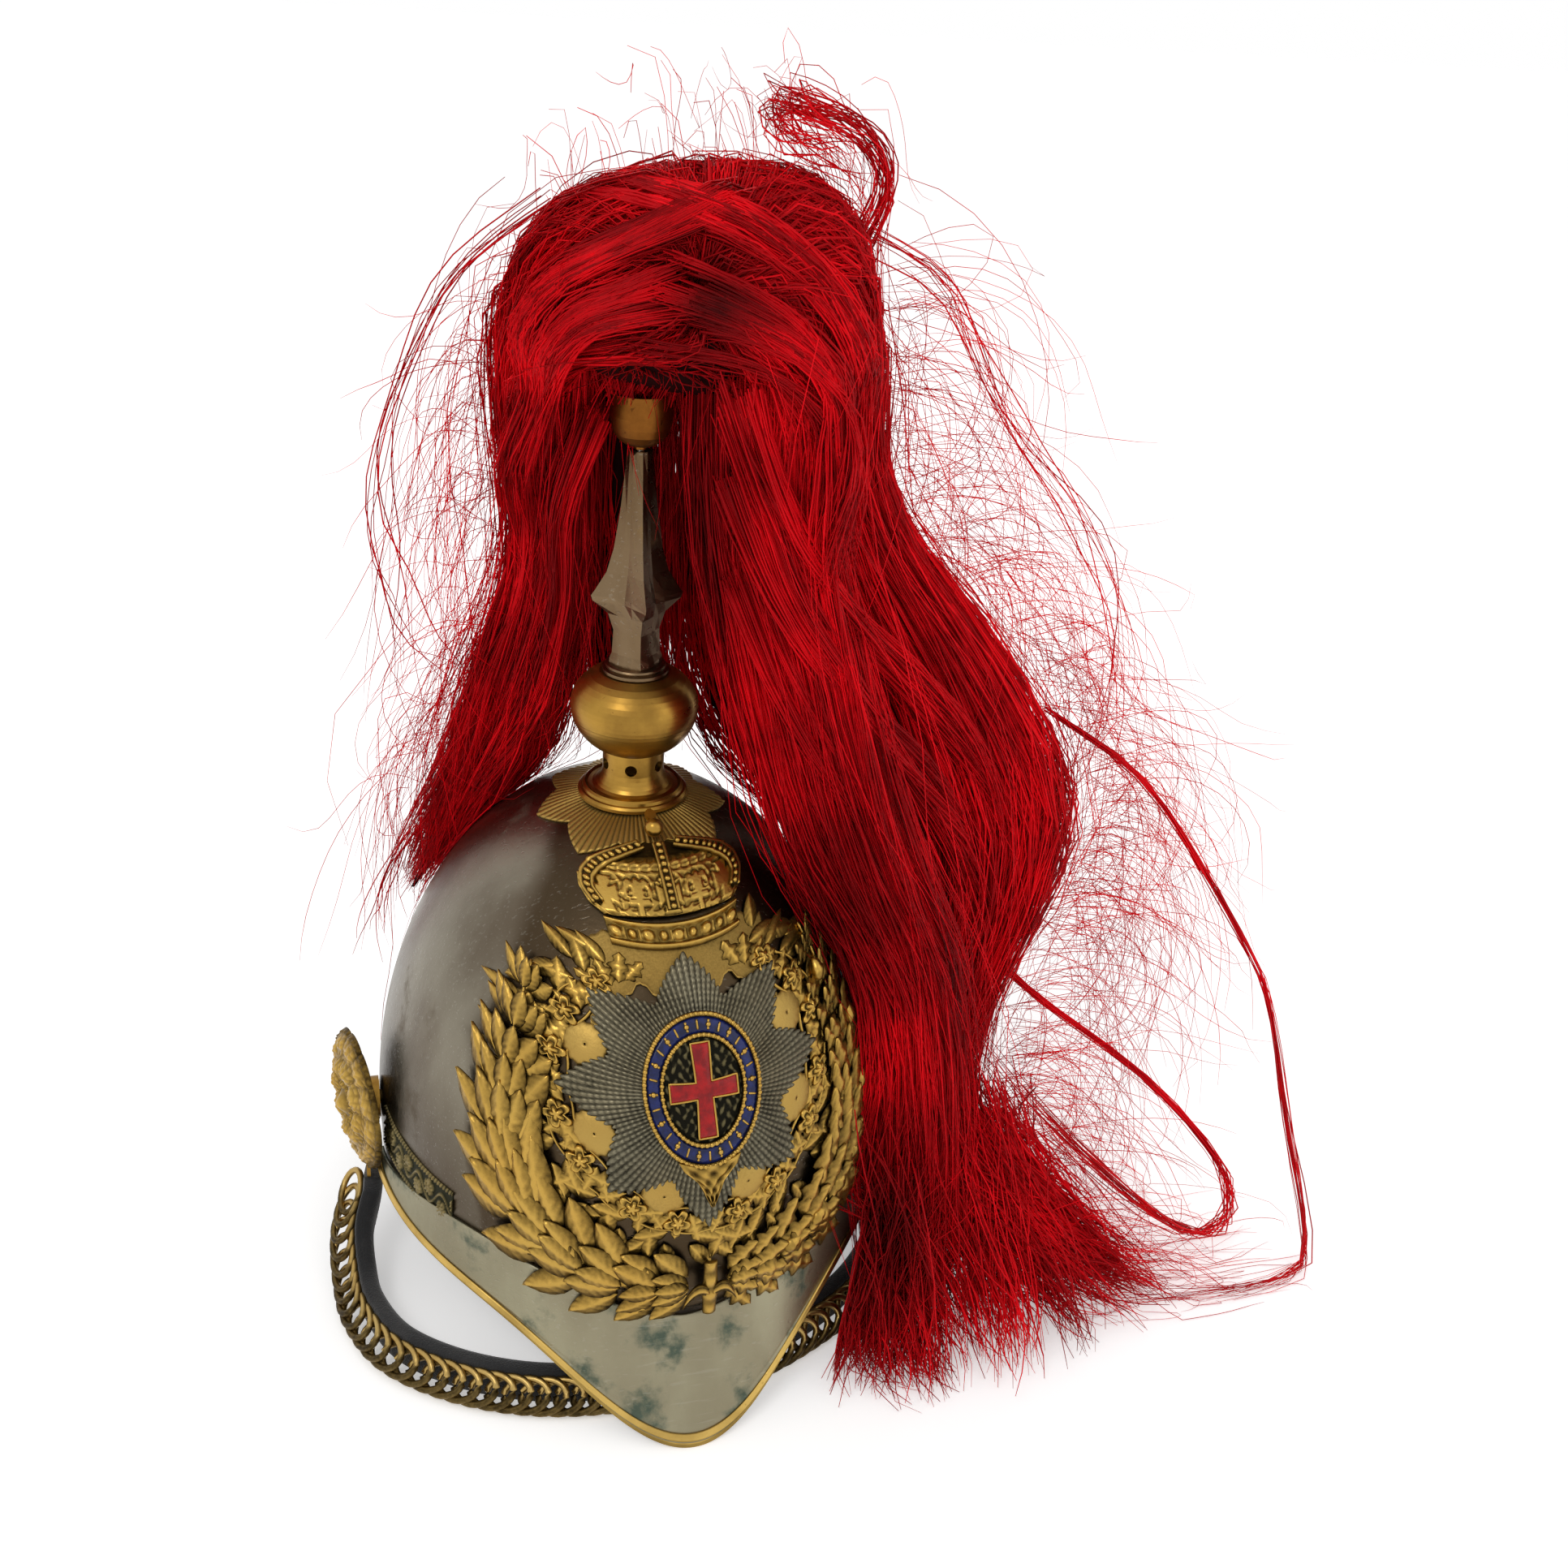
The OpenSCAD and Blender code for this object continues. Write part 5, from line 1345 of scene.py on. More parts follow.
    def on_oval(self, f: Any, a: Any) -> tuple[Array, Array]:
        """Places across and up at share f of the ring's size and clock angle a."""
        return self.ring_u * f * np.sin(a), FORM.star_v + self.ring_v * f * np.cos(a)

    def ring(self) -> None:
        """Oval ring: beaded gilt rims, blue enamel with generic pellets, dark filigree."""
        rims = Shape()
        for low, high in ((0.925, 1.0), (0.66, 0.725)):
            u, v, k = self.oval(low, high, 160, 7)
            lift = 0.9 + 1.1 * np.sin(math.pi * (0.1 + 0.8 * k))
            sheet_on_plate(rims, u, v, self.ring_back, lift, None, True)
            f = (low + high) / 2
            a = turns(int(2 * math.pi * f * 23.5 / 1.9))
            bead_row(rims, np.stack(self.on_oval(f, a), -1), 0.82,
                     self.over(self.ring_back + 1.55))
        for f, r in ((0.828, 0.95), (0.775, 0.5), (0.88, 0.5)):
            a = (np.arange(14) + 0.5) * 2 * math.pi / 14
            bead_row(rims, np.stack(self.on_oval(f, a), -1), r, self.over(self.ring_back + 1.25))
        for a in (np.arange(28) + 0.5) * 2 * math.pi / 28:
            tick = FORM.plate(*self.on_oval(np.linspace(0.765, 0.89, 5), a + 0.11),
                              self.ring_back + 1.35)
            rims.tubes(tick[None], 0.42, 6, 0.9)
        rims.build("ring_rims_beaded", Dye.GILT, ["ring_rims"])
        u, v, k = self.oval(0.72, 0.93, 120, 5)
        sheet_on_plate(Shape(), u, v, self.ring_back, 1.05 + 0.25 * np.sin(math.pi * k), 0.5,
                       True).build("ring_enamel_blue", Dye.BLUE, ["ring_enamel"])
        u, v, _ = self.oval(0.04, 0.665, 140, 40)
        y = v - FORM.star_v
        curl = np.sin(u * 1.5) * np.sin(y * 1.5) + 0.6 * np.sin(u * 2.6 + 1.4 * np.sin(y * 1.3))
        sheet_on_plate(Shape(), u, v, self.ring_back, 0.35 + 0.4 * ease(curl), ease(curl) * 0.9,
                       True).build("ring_ground_filigree", Dye.GROUND, ["ring_ground"])

    def over(self, base: float) -> Callable[[Array, Array], Array]:
        """Placing function for beads at a height over the skull."""
        return lambda uv, h: FORM.plate(uv[..., 0], uv[..., 1], base + h)

    def cross(self) -> None:
        """Red enamel cross whose arms widen slightly, with a gilt edge round it."""
        reach_u, reach_v, half, flare = 11.2, 15.0, 2.6, 0.5
        quarter = np.array([[half, half], [reach_u, half + flare], [reach_u, -half - flare]])
        up = np.array([[half, -half], [half + flare, -reach_v], [-half - flare, -reach_v]])
        ring = np.concatenate([quarter, up, -quarter, -up])
        red = Shape()
        ww, ss = np.meshgrid(np.linspace(-1, 1, 9), np.linspace(-1, 1, 33))
        width = half + flare * np.abs(ss) ** 1.6
        lift = 0.55 + 0.55 * (1 - ww ** 4) * (1 - ss ** 16)
        for u, v, high in (((ss * reach_u).T, (ww * width).T, lift.T),
                           (ww * width, ss * reach_v, lift)):
            sheet_on_plate(red, u, FORM.star_v + v, self.ring_back + 0.65, high, 0.5)
        red.build("cross_red", Dye.RED, ["badge_cross"])
        edge = Shape()
        s = np.linspace(0, 1, 9)[:-1, None]
        nxt = np.roll(ring, -1, 0)
        path = (ring[:, None] * (1 - s) + nxt[:, None] * s).reshape(-1, 2)
        line = FORM.plate(path[:, 0], FORM.star_v + path[:, 1], self.ring_back + 1.3)
        edge.tubes(line[None], 0.42, 6, 0.9, ring=True)
        edge.build("cross_edge", Dye.GILT, ["badge_cross"])

    def buckle(self) -> None:
        """Strap end and buckle below the ring."""
        s, w = span(44, 41)
        half = np.interp(s, [0, 0.3, 0.55, 0.8, 1.0], [0.5, 2.6, 4.4, 8.6, 10.2])
        v = FORM.star_v - self.ring_v + 3.5 - 15.5 * (1 - s) - 2.2 * s * (1 - w ** 2)
        scroll = np.cos(w * 9.0 + 3.0 * s) * np.cos(s * 16.0)
        lift = 2.3 + 0.6 * scroll * ease((1 - np.abs(w)) * 5) + 0.4 * hump(np.abs(w), 0.9, 0.08)
        sheet_on_plate(Shape(), w * half, v + 0 * w, self.ring_back, lift + 0 * s).build(
            "ring_buckle_fine", Dye.GILT, ["ring_buckle"])

    def make(self) -> None:
        """Build the plate and the badge."""
        self.frosted_field()
        self.collar()
        self.roses()
        self.branch("laurel_leaves", -1, Leaf.LAUREL, "laurel_branch")
        self.branch("oak_leaves", 1, Leaf.OAK, "oak_branch")
        self.tie()
        self.star()
        self.ring()
        self.cross()
        self.buckle()


@dataclass
class CrownBadge:
    """Royal-style crown over the plate, of general form.

    Attributes:
        foot: height of its band along the skull.
        half: half width of the band.
    """

    foot: float = 120.5
    half: float = 22.5

    def back(self, v: Array) -> Array:
        """Distance of the crown's back off the skull, more where the rayed plate is."""
        return np.where(v < 149.9, 1.3, 1.75)

    def put(self, shape: Shape, u: Array, v: Array, low: float, lift: Array, crest: Any = None
            ) -> Shape:
        """Add a closed skin of the crown.

        Args:
            shape: gathers the points.
            u: places across.
            v: heights over the crown's foot.
            low: distance of its back over the crown's back.
            lift: thickness.
            crest: relief height.

        Returns:
            The shape.
        """
        y = self.foot + v
        return sheet_on_plate(shape, u, y, self.back(y) + low, lift, crest)

    def band(self) -> None:
        """Jewelled band with rolled edges."""
        s, w = span(29, 121)
        v = 10.0 * s - 2.0 * (1 - w ** 2)
        roll = hump(s, 0.12, 0.09) + hump(s, 0.86, 0.09)
        x = w * 4.5
        odd = np.abs(np.round(x)) % 2
        gem = np.clip(1.25 - np.hypot((x - np.round(x)) * (2.4 + 1.3 * odd),
                                      (s - 0.49) * (4.4 + odd)) ** 2, 0, 1)
        gem = np.maximum(gem, 0.55 * hump(np.abs(x - np.round(x)), 0.46, 0.03)
                         * (np.abs(s - 0.49) < 0.2))
        lift = 1.0 + 1.7 * roll + 1.8 * gem
        crest = np.clip(0.2 + 0.8 * (roll + gem), 0, 1)
        self.put(Shape(), w * (self.half + s), v, -0.4, lift, crest).build(
            "crown_band_jewelled", Dye.GILT, ["crown_band"])

    def cap(self) -> None:
        """Crosses and three-petalled flowers over the band, dark behind and above them."""
        rows = np.array([[10.4, 23], [14, 27], [19, 29], [24, 28.5], [29, 25], [34, 19],
                         [38, 12], [42, 4]])
        s = np.linspace(10.4, 42, 84)[:, None]
        half = np.interp(s, rows[:, 0], rows[:, 1])
        w = np.linspace(-1, 1, 131)[None]
        u = w * half
        y = (s - 10.4) / 15.5
        shown = np.full(u.shape, -1.0)
        for k in range(-2, 3):
            x = (u - 10.6 * k) / 5.6
            if k % 2:
                shown = np.maximum(shown, 1 - np.hypot(x / 0.30, (y - 0.66) / 0.34))
                ring = 0.11 - np.abs(np.hypot(np.abs(x) - 0.46, y - 0.62) - 0.24)
                shown = np.maximum(shown, 5 * np.where(y > 0.45, ring, -1))
                shown = np.maximum(shown, 5 * np.minimum(0.08 - np.abs(y - 0.36),
                                                         0.62 - np.abs(x)))
                shown = np.maximum(shown, 5 * np.minimum(0.16 - np.abs(x), 0.36 - y))
            else:
                p, q = np.abs(x) * 0.62, np.abs(y - 0.52)
                arm = np.maximum(np.minimum(0.10 + 0.42 * q - p, 0.46 - q),
                                 np.minimum(0.10 + 0.42 * p - q, 0.46 - p))
                shown = np.maximum(shown, 5 * arm)
        vine = 0.5 - np.abs(np.sin(u * 0.9 + 1.2 * np.sin(s * 0.7)) * np.sin(s * 0.8))
        ground = (0.5 + 0.35 * ease(vine * 3 + 0.4)) * ease((36 - s) / 4)
        figure = ease(shown * 2.5 + 0.6)
        line = np.exp(-((shown + 0.16) / 0.09) ** 2)
        rim = hump(np.abs(w), 0.93, 0.05)
        relief = np.clip(np.maximum(np.maximum(figure, ground * (1 - line)), rim), 0, 1)
        self.put(Shape(), u, s + 0 * w, 0.0, 0.3 + 1.15 * relief, relief).build(
            "crown_cap_relief", Dye.GILT, ["crown_cap"])

    def arch(self, path: Array, shape: Shape) -> None:
        """Add one arch with a row of pearls.

        Args:
            path: places across and heights over the foot, from outside to the top.
            shape: gathers the points.
        """
        n = 61
        d = np.concatenate([[0], np.cumsum(np.linalg.norm(np.diff(path, axis=0), axis=1))])
        at = np.linspace(0, d[-1], n)
        c = np.stack([np.interp(at, d, path[:, i]) for i in (0, 1)], -1)
        kern = np.hanning(9) / np.hanning(9).sum()
        c = np.stack([np.convolve(np.pad(c[:, i], 4, "reflect", reflect_type="odd"), kern,
                                  "valid") for i in (0, 1)], -1)
        g = np.gradient(c, axis=0)
        g = unit(g)
        w = np.linspace(-1, 1, 9)[:, None]
        u = c[None, :, 0] - w * 2.1 * g[None, :, 1]
        v = c[None, :, 1] + w * 2.1 * g[None, :, 0]
        lift = 1.6 + 0.5 * hump(np.abs(w), 0.85, 0.15) + 0 * u
        self.put(shape, u, v, 1.1, lift)
        count = int(d[-1] / 2.55)
        ids = np.linspace(2, n - 3, count).astype(int)
        y = self.foot + c[ids, 1]

        def frame(uv: Array, h: Array) -> Array:
            """Bead places to points."""
            return FORM.plate(uv[..., 0], uv[..., 1], self.back(uv[..., 1]) + 2.5 + h)

        bead_row(shape, np.stack([c[ids, 0], y], -1), 1.18, frame)

    def arches(self) -> None:
        """Two side arches and the middle one."""
        shape = Shape()
        side = np.array([[24, 14], [26.4, 19], [25.6, 24], [22.6, 28.5], [18, 32.5],
                         [12, 36.5], [6, 39.6]], float)
        self.arch(side, shape)
        self.arch(side * [-1, 1], shape)
        self.arch(np.array([[0, 12 + i * 4.6] for i in range(7)], float), shape)
        shape.build("crown_arches_pearled", Dye.GILT, ["crown_arches"])

    def make(self) -> None:
        """Build the crown; its orb stays the frame's own."""
        self.band()
        self.cap()
        self.arches()


# ---------------------------------------------------------------- rosettes, strap, liner


@dataclass
class RosetteWork:
    """Rosette boss of three layers of petals.

    Attributes:
        radius: outer radius.
        out: how far its back is from the middle plane.
        shift: how far a whole radian of lean would move it out.
    """

    radius: float = 28.0
    out: float = 105.1
    shift: float = 1.0

    def placed(self, side: int, lean: float = 0.0) -> Callable[[Array], Array]:
        """Placing function for one side, its face turned forward by lean.

        Args:
            side: -1 or 1.
            lean: turn about the upright through the post, radians.

        Returns:
            A function from local x, y and height to points.
        """
        c, n = math.cos(lean), math.sin(lean)

        def inner(p: Array) -> Array:
            """Local x, y and height to points."""
            back = side * p[..., 0]
            return np.stack([side * (self.out + self.shift * lean + p[..., 2] * c + back * n),
                             POST_Y + back * c - p[..., 2] * n, POST_Z + p[..., 1]], -1)
        return inner

    def make(self, side: int, name: str, node: str) -> None:
        """One rosette: height is a sum of waves of the angle under each layer's outline.

        Args:
            side: -1 or 1.
            name: the piece's name.
            node: the node it replaces.
        """
        a = turns(240)
        k = np.linspace(1, 0.004, 62)[:, None]
        r0 = self.radius
        lobe = np.abs(np.cos(6 * a))[None]
        edge = r0 * (0.955 + 0.045 * lobe ** 0.5)
        r = k * edge
        share = r / r0
        outer = hump(share, 0.80, 0.12) * (0.35 + 0.65 * lobe ** 0.6)
        vein = 0.18 * np.cos(48 * a)[None] * hump(share, 0.8, 0.1)
        lobe2 = np.abs(np.cos(4 * a + 0.4))[None]
        second = hump(share, 0.50, 0.13) * (0.3 + 0.7 * lobe2 ** 0.7)
        vein2 = 0.16 * np.cos(32 * a)[None] * hump(share, 0.5, 0.1)
        rope = hump(share, 0.965, 0.022) * (0.6 + 0.4 * np.cos(60 * a)[None])
        boss = hump(share, 0.0, 0.16)
        ring = hump(share, 0.26, 0.03) * (0.5 + 0.5 * np.cos(20 * a)[None])
        curl = np.sin(r * 1.5 + 3 * np.sin(6 * a)[None]) * np.sin(18 * a + share * 9)
        curl = 0.55 * np.abs(curl) * (share < 0.93) * (share > 0.2)
        relief = (2.2 * outer + vein + 3.4 * second + vein2 + 1.0 * rope + 4.4 * boss
                  + 1.4 * ring + curl)
        height = 0.9 + 4.2 * (1 - share ** 1.6) + relief
        height = height * ease((1 - k) / 0.04 + 0.15)
        local = np.stack([r * np.cos(a), r * np.sin(a), height + 0 * r], -1)
        under = np.stack([r * np.cos(a), r * np.sin(a), np.zeros_like(r)], -1)
        crest = np.clip(0.05 + relief / 5.0 + 0.25 * outer + 0.6 * curl, 0, 1)
        leaning = self.placed(side, LEAN)
        shape = Shape().shell(leaning(local), leaning(under), crest, True)
        shape.build(name, Dye.GILT, [node])
        stud = np.array([[2.6, 3.0], [2.6, -12.0], [0.2, -12.3]])
        Shape().lathe(stud, self.placed(side), 20, 0.4).build(name + "_stud", Dye.OLD, [node])


def curve(points: Array, per: int) -> Array:
    """Catmull-Rom curve through points.

    Args:
        points: rows of coordinates, any leading shape before the last two axes.
        per: steps between neighbours.

    Returns:
        Points along the curve.
    """
    p = np.concatenate([2 * points[..., :1, :] - points[..., 1:2, :], points,
                        2 * points[..., -1:, :] - points[..., -2:-1, :]], -2)
    t = (np.arange(per) / per)[:, None]
    a, b, c, d = (p[..., i:p.shape[-2] - 3 + i, None, :] for i in range(4))
    out = 0.5 * (2 * b + (c - a) * t + (2 * a - 5 * b + 4 * c - d) * t ** 2
                 + (3 * b - a - 3 * c + d) * t ** 3)
    out = out.reshape(*points.shape[:-2], -1, points.shape[-1])
    return np.concatenate([out, points[..., -1:, :]], -2)


@dataclass
class ChinWork:
    """Black strap and its plaited chain, lying forward under the peak.

    Attributes:
        width: strap width.
        thick: strap thickness.
        radius: room kept for a link at each end, less the wire.
        wire: radius of the wire.
        pitch: step from link to link.
        half_long: half length of a link's middle line.
        half_wide: half width of a link's middle line.
        slant: turn of a link in the strap's plane.
        twist: turn of a link about its own length.
        tab_x: how far out the tabs are.
        tab_len: length of a tab.
    """

    width: float = 14.0
    thick: float = 2.0
    radius: float = 5.2
    wire: float = 1.3
    pitch: float = 5.9
    half_long: float = 8.4
    half_wide: float = 5.7
    slant: float = math.radians(16)
    twist: float = math.radians(40)
    tab_x: float = 103.4
    tab_len: float = 31.0

    def path(self) -> Array:
        """Middle line of the strap, from the right tab round the front to the left one."""
        low = FLOOR_Z + self.width / 2 + 0.2
        top = POST_Z - self.tab_len

        def fall(side: float) -> list[list[float]]:
            """From the end of a tab to the floor.

            Args:
                side: -1 or 1.

            Returns:
                Four points, from the tab down.
            """
            x = side * (self.tab_x + 0.7)
            rows = []
            for r in (self.tab_len + 0.3, self.tab_len + 9):
                rows.append([x, POST_Y - r * math.sin(LEAN), POST_Z - r * math.cos(LEAN)])
            rows[1][0] += 1.5 * side
            rows[1][1] -= 1
            far = side * (self.tab_x + 6)
            return rows + [[far, y, top + (low - top) * k] for y, k in ((-28, 0.62), (-43, 0.93))]

        lie = [[-1.09, -0.5], [-0.99, -0.67], [-0.79, -0.81], [-0.54, -0.905], [-0.28, -0.945],
               [0, -0.945], [0.28, -0.91], [0.53, -0.82], [0.74, -0.71], [0.9, -0.57]]
        wide, long = FORM.side, FORM.depth
        floor = [[x * wide, y * long, low] for x, y in lie] + [[wide, -long * 0.44, low + 1.5]]
        return curve(np.array(fall(-1) + floor + fall(1)[2::-1]), 4)

    def frames(self, c: Array) -> tuple[Array, Array, Array]:
        """Directions along the strap: its run, outward from the head, and across.

        Args:
            c: points of its middle line.

        Returns:
            Three arrays of directions of length one.
        """
        t = np.gradient(c, axis=0)
        t = unit(t)
        r = c - np.array([0, -26.0, 0])
        r[:, 2] = 0
        n = r - (r * t).sum(1, keepdims=True) * t
        n = unit(n)
        return t, n, np.cross(t, n)

    def strap(self) -> None:
        """Strap with rounded edges and a thick velvet backing."""
        c = curve(self.path(), 3)
        _, n, w = self.frames(c)
        a = np.linspace(0, 2 * math.pi, 25)[:-1]
        x = np.sign(np.cos(a)) * np.abs(np.cos(a)) ** 0.5 * self.width / 2
        y = np.sign(np.sin(a)) * np.abs(np.sin(a)) ** 0.6 * self.thick * 0.8
        m = len(c)
        nap = np.random.default_rng(9).normal(0, 0.32, (m, 24)) * (x > 0)
        y = np.where(y < 0, y * 3.6, y)
        x = x + np.where(x > 0, 2.2, 0.0) + nap
        rings = c[:, None] + x[..., None] * w[:, None] + y[None, :, None] * n[:, None]
        Shape().tube(rings).build("strap_velvet", Dye.VELVET, ["chin_strap"], "chin_chain")

    def links(self) -> None:
        """Curb chain: long rings close together, each turned about its own length."""
        c = curve(self.path(), 6)
        d = np.concatenate([[0], np.cumsum(np.linalg.norm(np.diff(c, axis=0), axis=1))])
        margin = self.radius + self.wire + 2
        count = int((d[-1] - 2 * margin) / self.pitch) + 1
        s = d[-1] / 2 + (np.arange(count) - (count - 1) / 2) * self.pitch
        p, t, n, w = (np.stack([np.interp(s, d, q[:, i]) for i in range(3)], -1)
                      for q in (c, *self.frames(c)))
        long = math.cos(self.slant) * t - math.sin(self.slant) * w
        long = unit(long)
        flat = w - (w * long).sum(1, keepdims=True) * long
        flat = unit(flat)
        wide = math.cos(self.twist) * flat + math.sin(self.twist) * n
        a = turns(24)
        reach = self.thick / 2 + self.wire + self.half_wide * math.sin(self.twist)
        mid = p + n * reach - w * 0.5
        ring = (mid[:, None] + self.half_long * np.cos(a)[None, :, None] * long[:, None]
                + self.half_wide * np.sin(a)[None, :, None] * wide[:, None])
        # Relief value round the wire: one side of each link lighter, the other darker, a painted
        # highlight and painted shade.
        lift = 0.55 + 0.45 * np.cos(np.arange(8) * math.pi / 4)
        Shape().tubes(ring, self.wire, 8, lift[None, None], True, ref=(0.31, 0.52, 0.79)).build(
            "chain_links", Dye.CHAIN, ["chin_chain"], "chin_chain")

    def make(self) -> None:
        """Build the strap and the chain."""
        self.strap()
        self.links()


@dataclass
class LinerWork:
    """Leather band, eight tongues and the lace inside the skull.

    Attributes:
        gap: distance of the band off the skull's outside.
        thick: leather thickness.
        tongues: number of tongues.
    """

    gap: float = 6.2
    thick: float = 1.5
    tongues: int = 8

    def band(self) -> None:
        """Sweat band with a rolled lower edge."""
        t = np.linspace(0, 2 * math.pi, 193)[:-1]
        s = np.linspace(0, 1, 16)[:, None]
        v = -13.0 + 30.0 * s + 0 * t
        wave = 0.25 * np.sin(t * 24) * ease(s * 2 - 1)
        t = t[None] + 0 * v
        Shape().shell(FORM.skin(t, v, -self.gap + wave - 0.4),
                      FORM.skin(t, v, -self.gap - self.thick + wave), 0.6, True).build(
            "liner_band_leather", Dye.LINER, ["liner_band"])

    def leaves(self) -> None:
        """Tongues that narrow upward, cupped between their edges."""
        shape = Shape()
        half = math.pi / self.tongues - math.radians(1.5)
        s = np.linspace(0, 1, 24)[:, None]
        wide = np.interp(s, [0, 0.25, 0.5, 0.75, 0.93, 1.0], [1, 1, 0.97, 0.85, 0.6, 0.3])
        w = np.linspace(-1, 1, 15)[None]
        v = 9.0 + 158.9 * s + 0 * w
        for k in range(self.tongues):
            mid = (k + 0.5) * 2 * math.pi / self.tongues
            t = mid + w * half * wide
            cup = -1.2 * np.sin(math.pi * s) * (1 - w ** 2)
            d = -self.gap - self.thick - 0.3 + cup
            shape.shell(FORM.skin(t, v, d), FORM.skin(t, v, d - self.thick), 0.6)
        shape.build("liner_tongues_leather", Dye.LINER, ["liner_tongues"])

    def make(self) -> None:
        """Build the liner's band and tongues; the lace stays the frame's own."""
        self.band()
        self.leaves()


# ---------------------------------------------------------------- horsehair


@dataclass(frozen=True)
class Fall:
    """One fall of the plume.

    Attributes:
        name: used in the piece's name.
        rows: height, x, y, half width, half depth and turn in degrees, from the top down.
        strands: number of strands.
        clumps: number of locks that they gather in.
    """

    name: str
    rows: tuple[tuple[float, ...], ...]
    strands: int
    clumps: int


FALLS = (
    Fall("left", ((336, -28, 4, 18, 20, 0), (308, -30, 14, 17, 18, 0), (275, -28, 26, 17, 13, 0),
        (238, -25, 32, 15, 11, 0), (205, -30, 35, 18, 11, 0), (182, -36, 37, 21, 11, 0),
        (158, -40, 44, 24, 10, 8), (130, -50, 54, 25, 10, 20), (105, -66, 57, 16, 9, 30),
        (84, -79, 54, 6, 5, 40)), 1300, 44),
    Fall("front", ((334, 46, -4, 30, 20, 0), (300, 40, -8, 23, 15, 0), (268, 40, -12, 23, 13, 0),
        (240, 46, -16, 24, 12, -6), (210, 54, -22, 25, 12, -10),
        (175, 62, -33, 26, 11, -14), (146, 71, -42, 26, 11, -16),
        (122, 81, -49, 25, 10, -12), (98, 93, -56, 22, 10, -8),
        (66, 97, -64, 21, 11, 0), (40, 95, -74, 24, 12, 0), (14, 93, -84, 26, 13, 0),
        (-12, 90, -95, 30, 14, 0)), 2000, 60),
    Fall("middle", ((326, 58, 2, 27, 24, 0), (292, 60, 4, 25, 20, 0), (268, 61, 5, 25, 17, 0),
        (248, 69, 4, 31, 15, 0), (224, 83, 2, 40, 14, 0), (200, 97, -1, 46, 13, -4),
        (180, 108, -4, 50, 13, -6), (156, 119, -8, 54, 13, -6),
        (134, 126, -11, 52, 13, -6), (110, 129, -14, 45, 12, -6),
        (86, 126, -21, 30, 11, -6), (64, 119, -30, 22, 10, -6),
        (42, 113, -45, 16, 9, 0), (18, 112, -58, 17, 9, 0), (-8, 117, -73, 21, 10, 0)),
        2200, 80),
    Fall("rear", ((322, 30, 18, 28, 20, 0), (290, 40, 28, 26, 14, 0), (258, 41, 33, 25, 12, 0),
        (222, 44, 37, 29, 12, 0), (190, 52, 41, 34, 11, 0), (160, 64, 46, 38, 11, -10),
        (130, 80, 50, 36, 10, -20), (102, 98, 46, 28, 9, -30), (78, 112, 38, 17, 8, -40),
        (62, 120, 31, 7, 5, -40)), 1000, 40),
    Fall("back", ((318, -4, 14, 26, 16, 0), (290, -4, 28, 24, 9, 0), (258, -2, 33, 22, 7, 0),
        (225, 0, 36, 22, 6, 0), (192, 4, 40, 22, 6, 0), (165, 8, 46, 24, 6, 0),
        (148, 12, 54, 24, 5, 0)), 560, 26),
)

# Loose loops: name, strands, half width, sway and the points of the line.
LOOPS = (
    ("loop_high", 22, 0.7, 2.4, (
        (160, -8, 178), (203, -14, 148), (236, -26, 104), (264, -44, 56), (282, -66, 4),
        (284, -90, -26), (262, -108, -35), (222, -114, -35), (184, -112, -33))),
    ("loop_low", 24, 0.7, 2.2, (
        (128, -20, 97), (155, -30, 66), (204, -50, 30), (234, -68, 0), (243, -82, -18),
        (230, -92, -26), (206, -92, -16), (167, -80, 18), (131, -70, 59), (112, -60, 84))),
    ("curl_top", 44, 2.6, 6.5, (
        (72, 2, 345), (81, 4, 366), (72, 4, 382), (55, 2, 391), (40, 0, 394), (45, -4, 385),
        (63, -2, 376), (74, 0, 358))),
    ("arc_right", 9, 2.2, 6.0, (
        (78, 4, 350), (106, 4, 335), (119, 2, 311), (139, 0, 282), (164, -4, 253),
        (187, -8, 215), (190, -10, 178), (172, -10, 148))),
    ("arc_left", 8, 1.8, 5.0, (
        (-30, 0, 359), (-60, 4, 335), (-76, 8, 306), (-87, 12, 268), (-89, 14, 236),
        (-79, 20, 202), (-58, 36, 168))),
    ("low_left", 8, 1.8, 3.0, ((-60, 44, 140), (-84, 46, 106), (-93, 44, 80), (-97, 38, 62))),
)

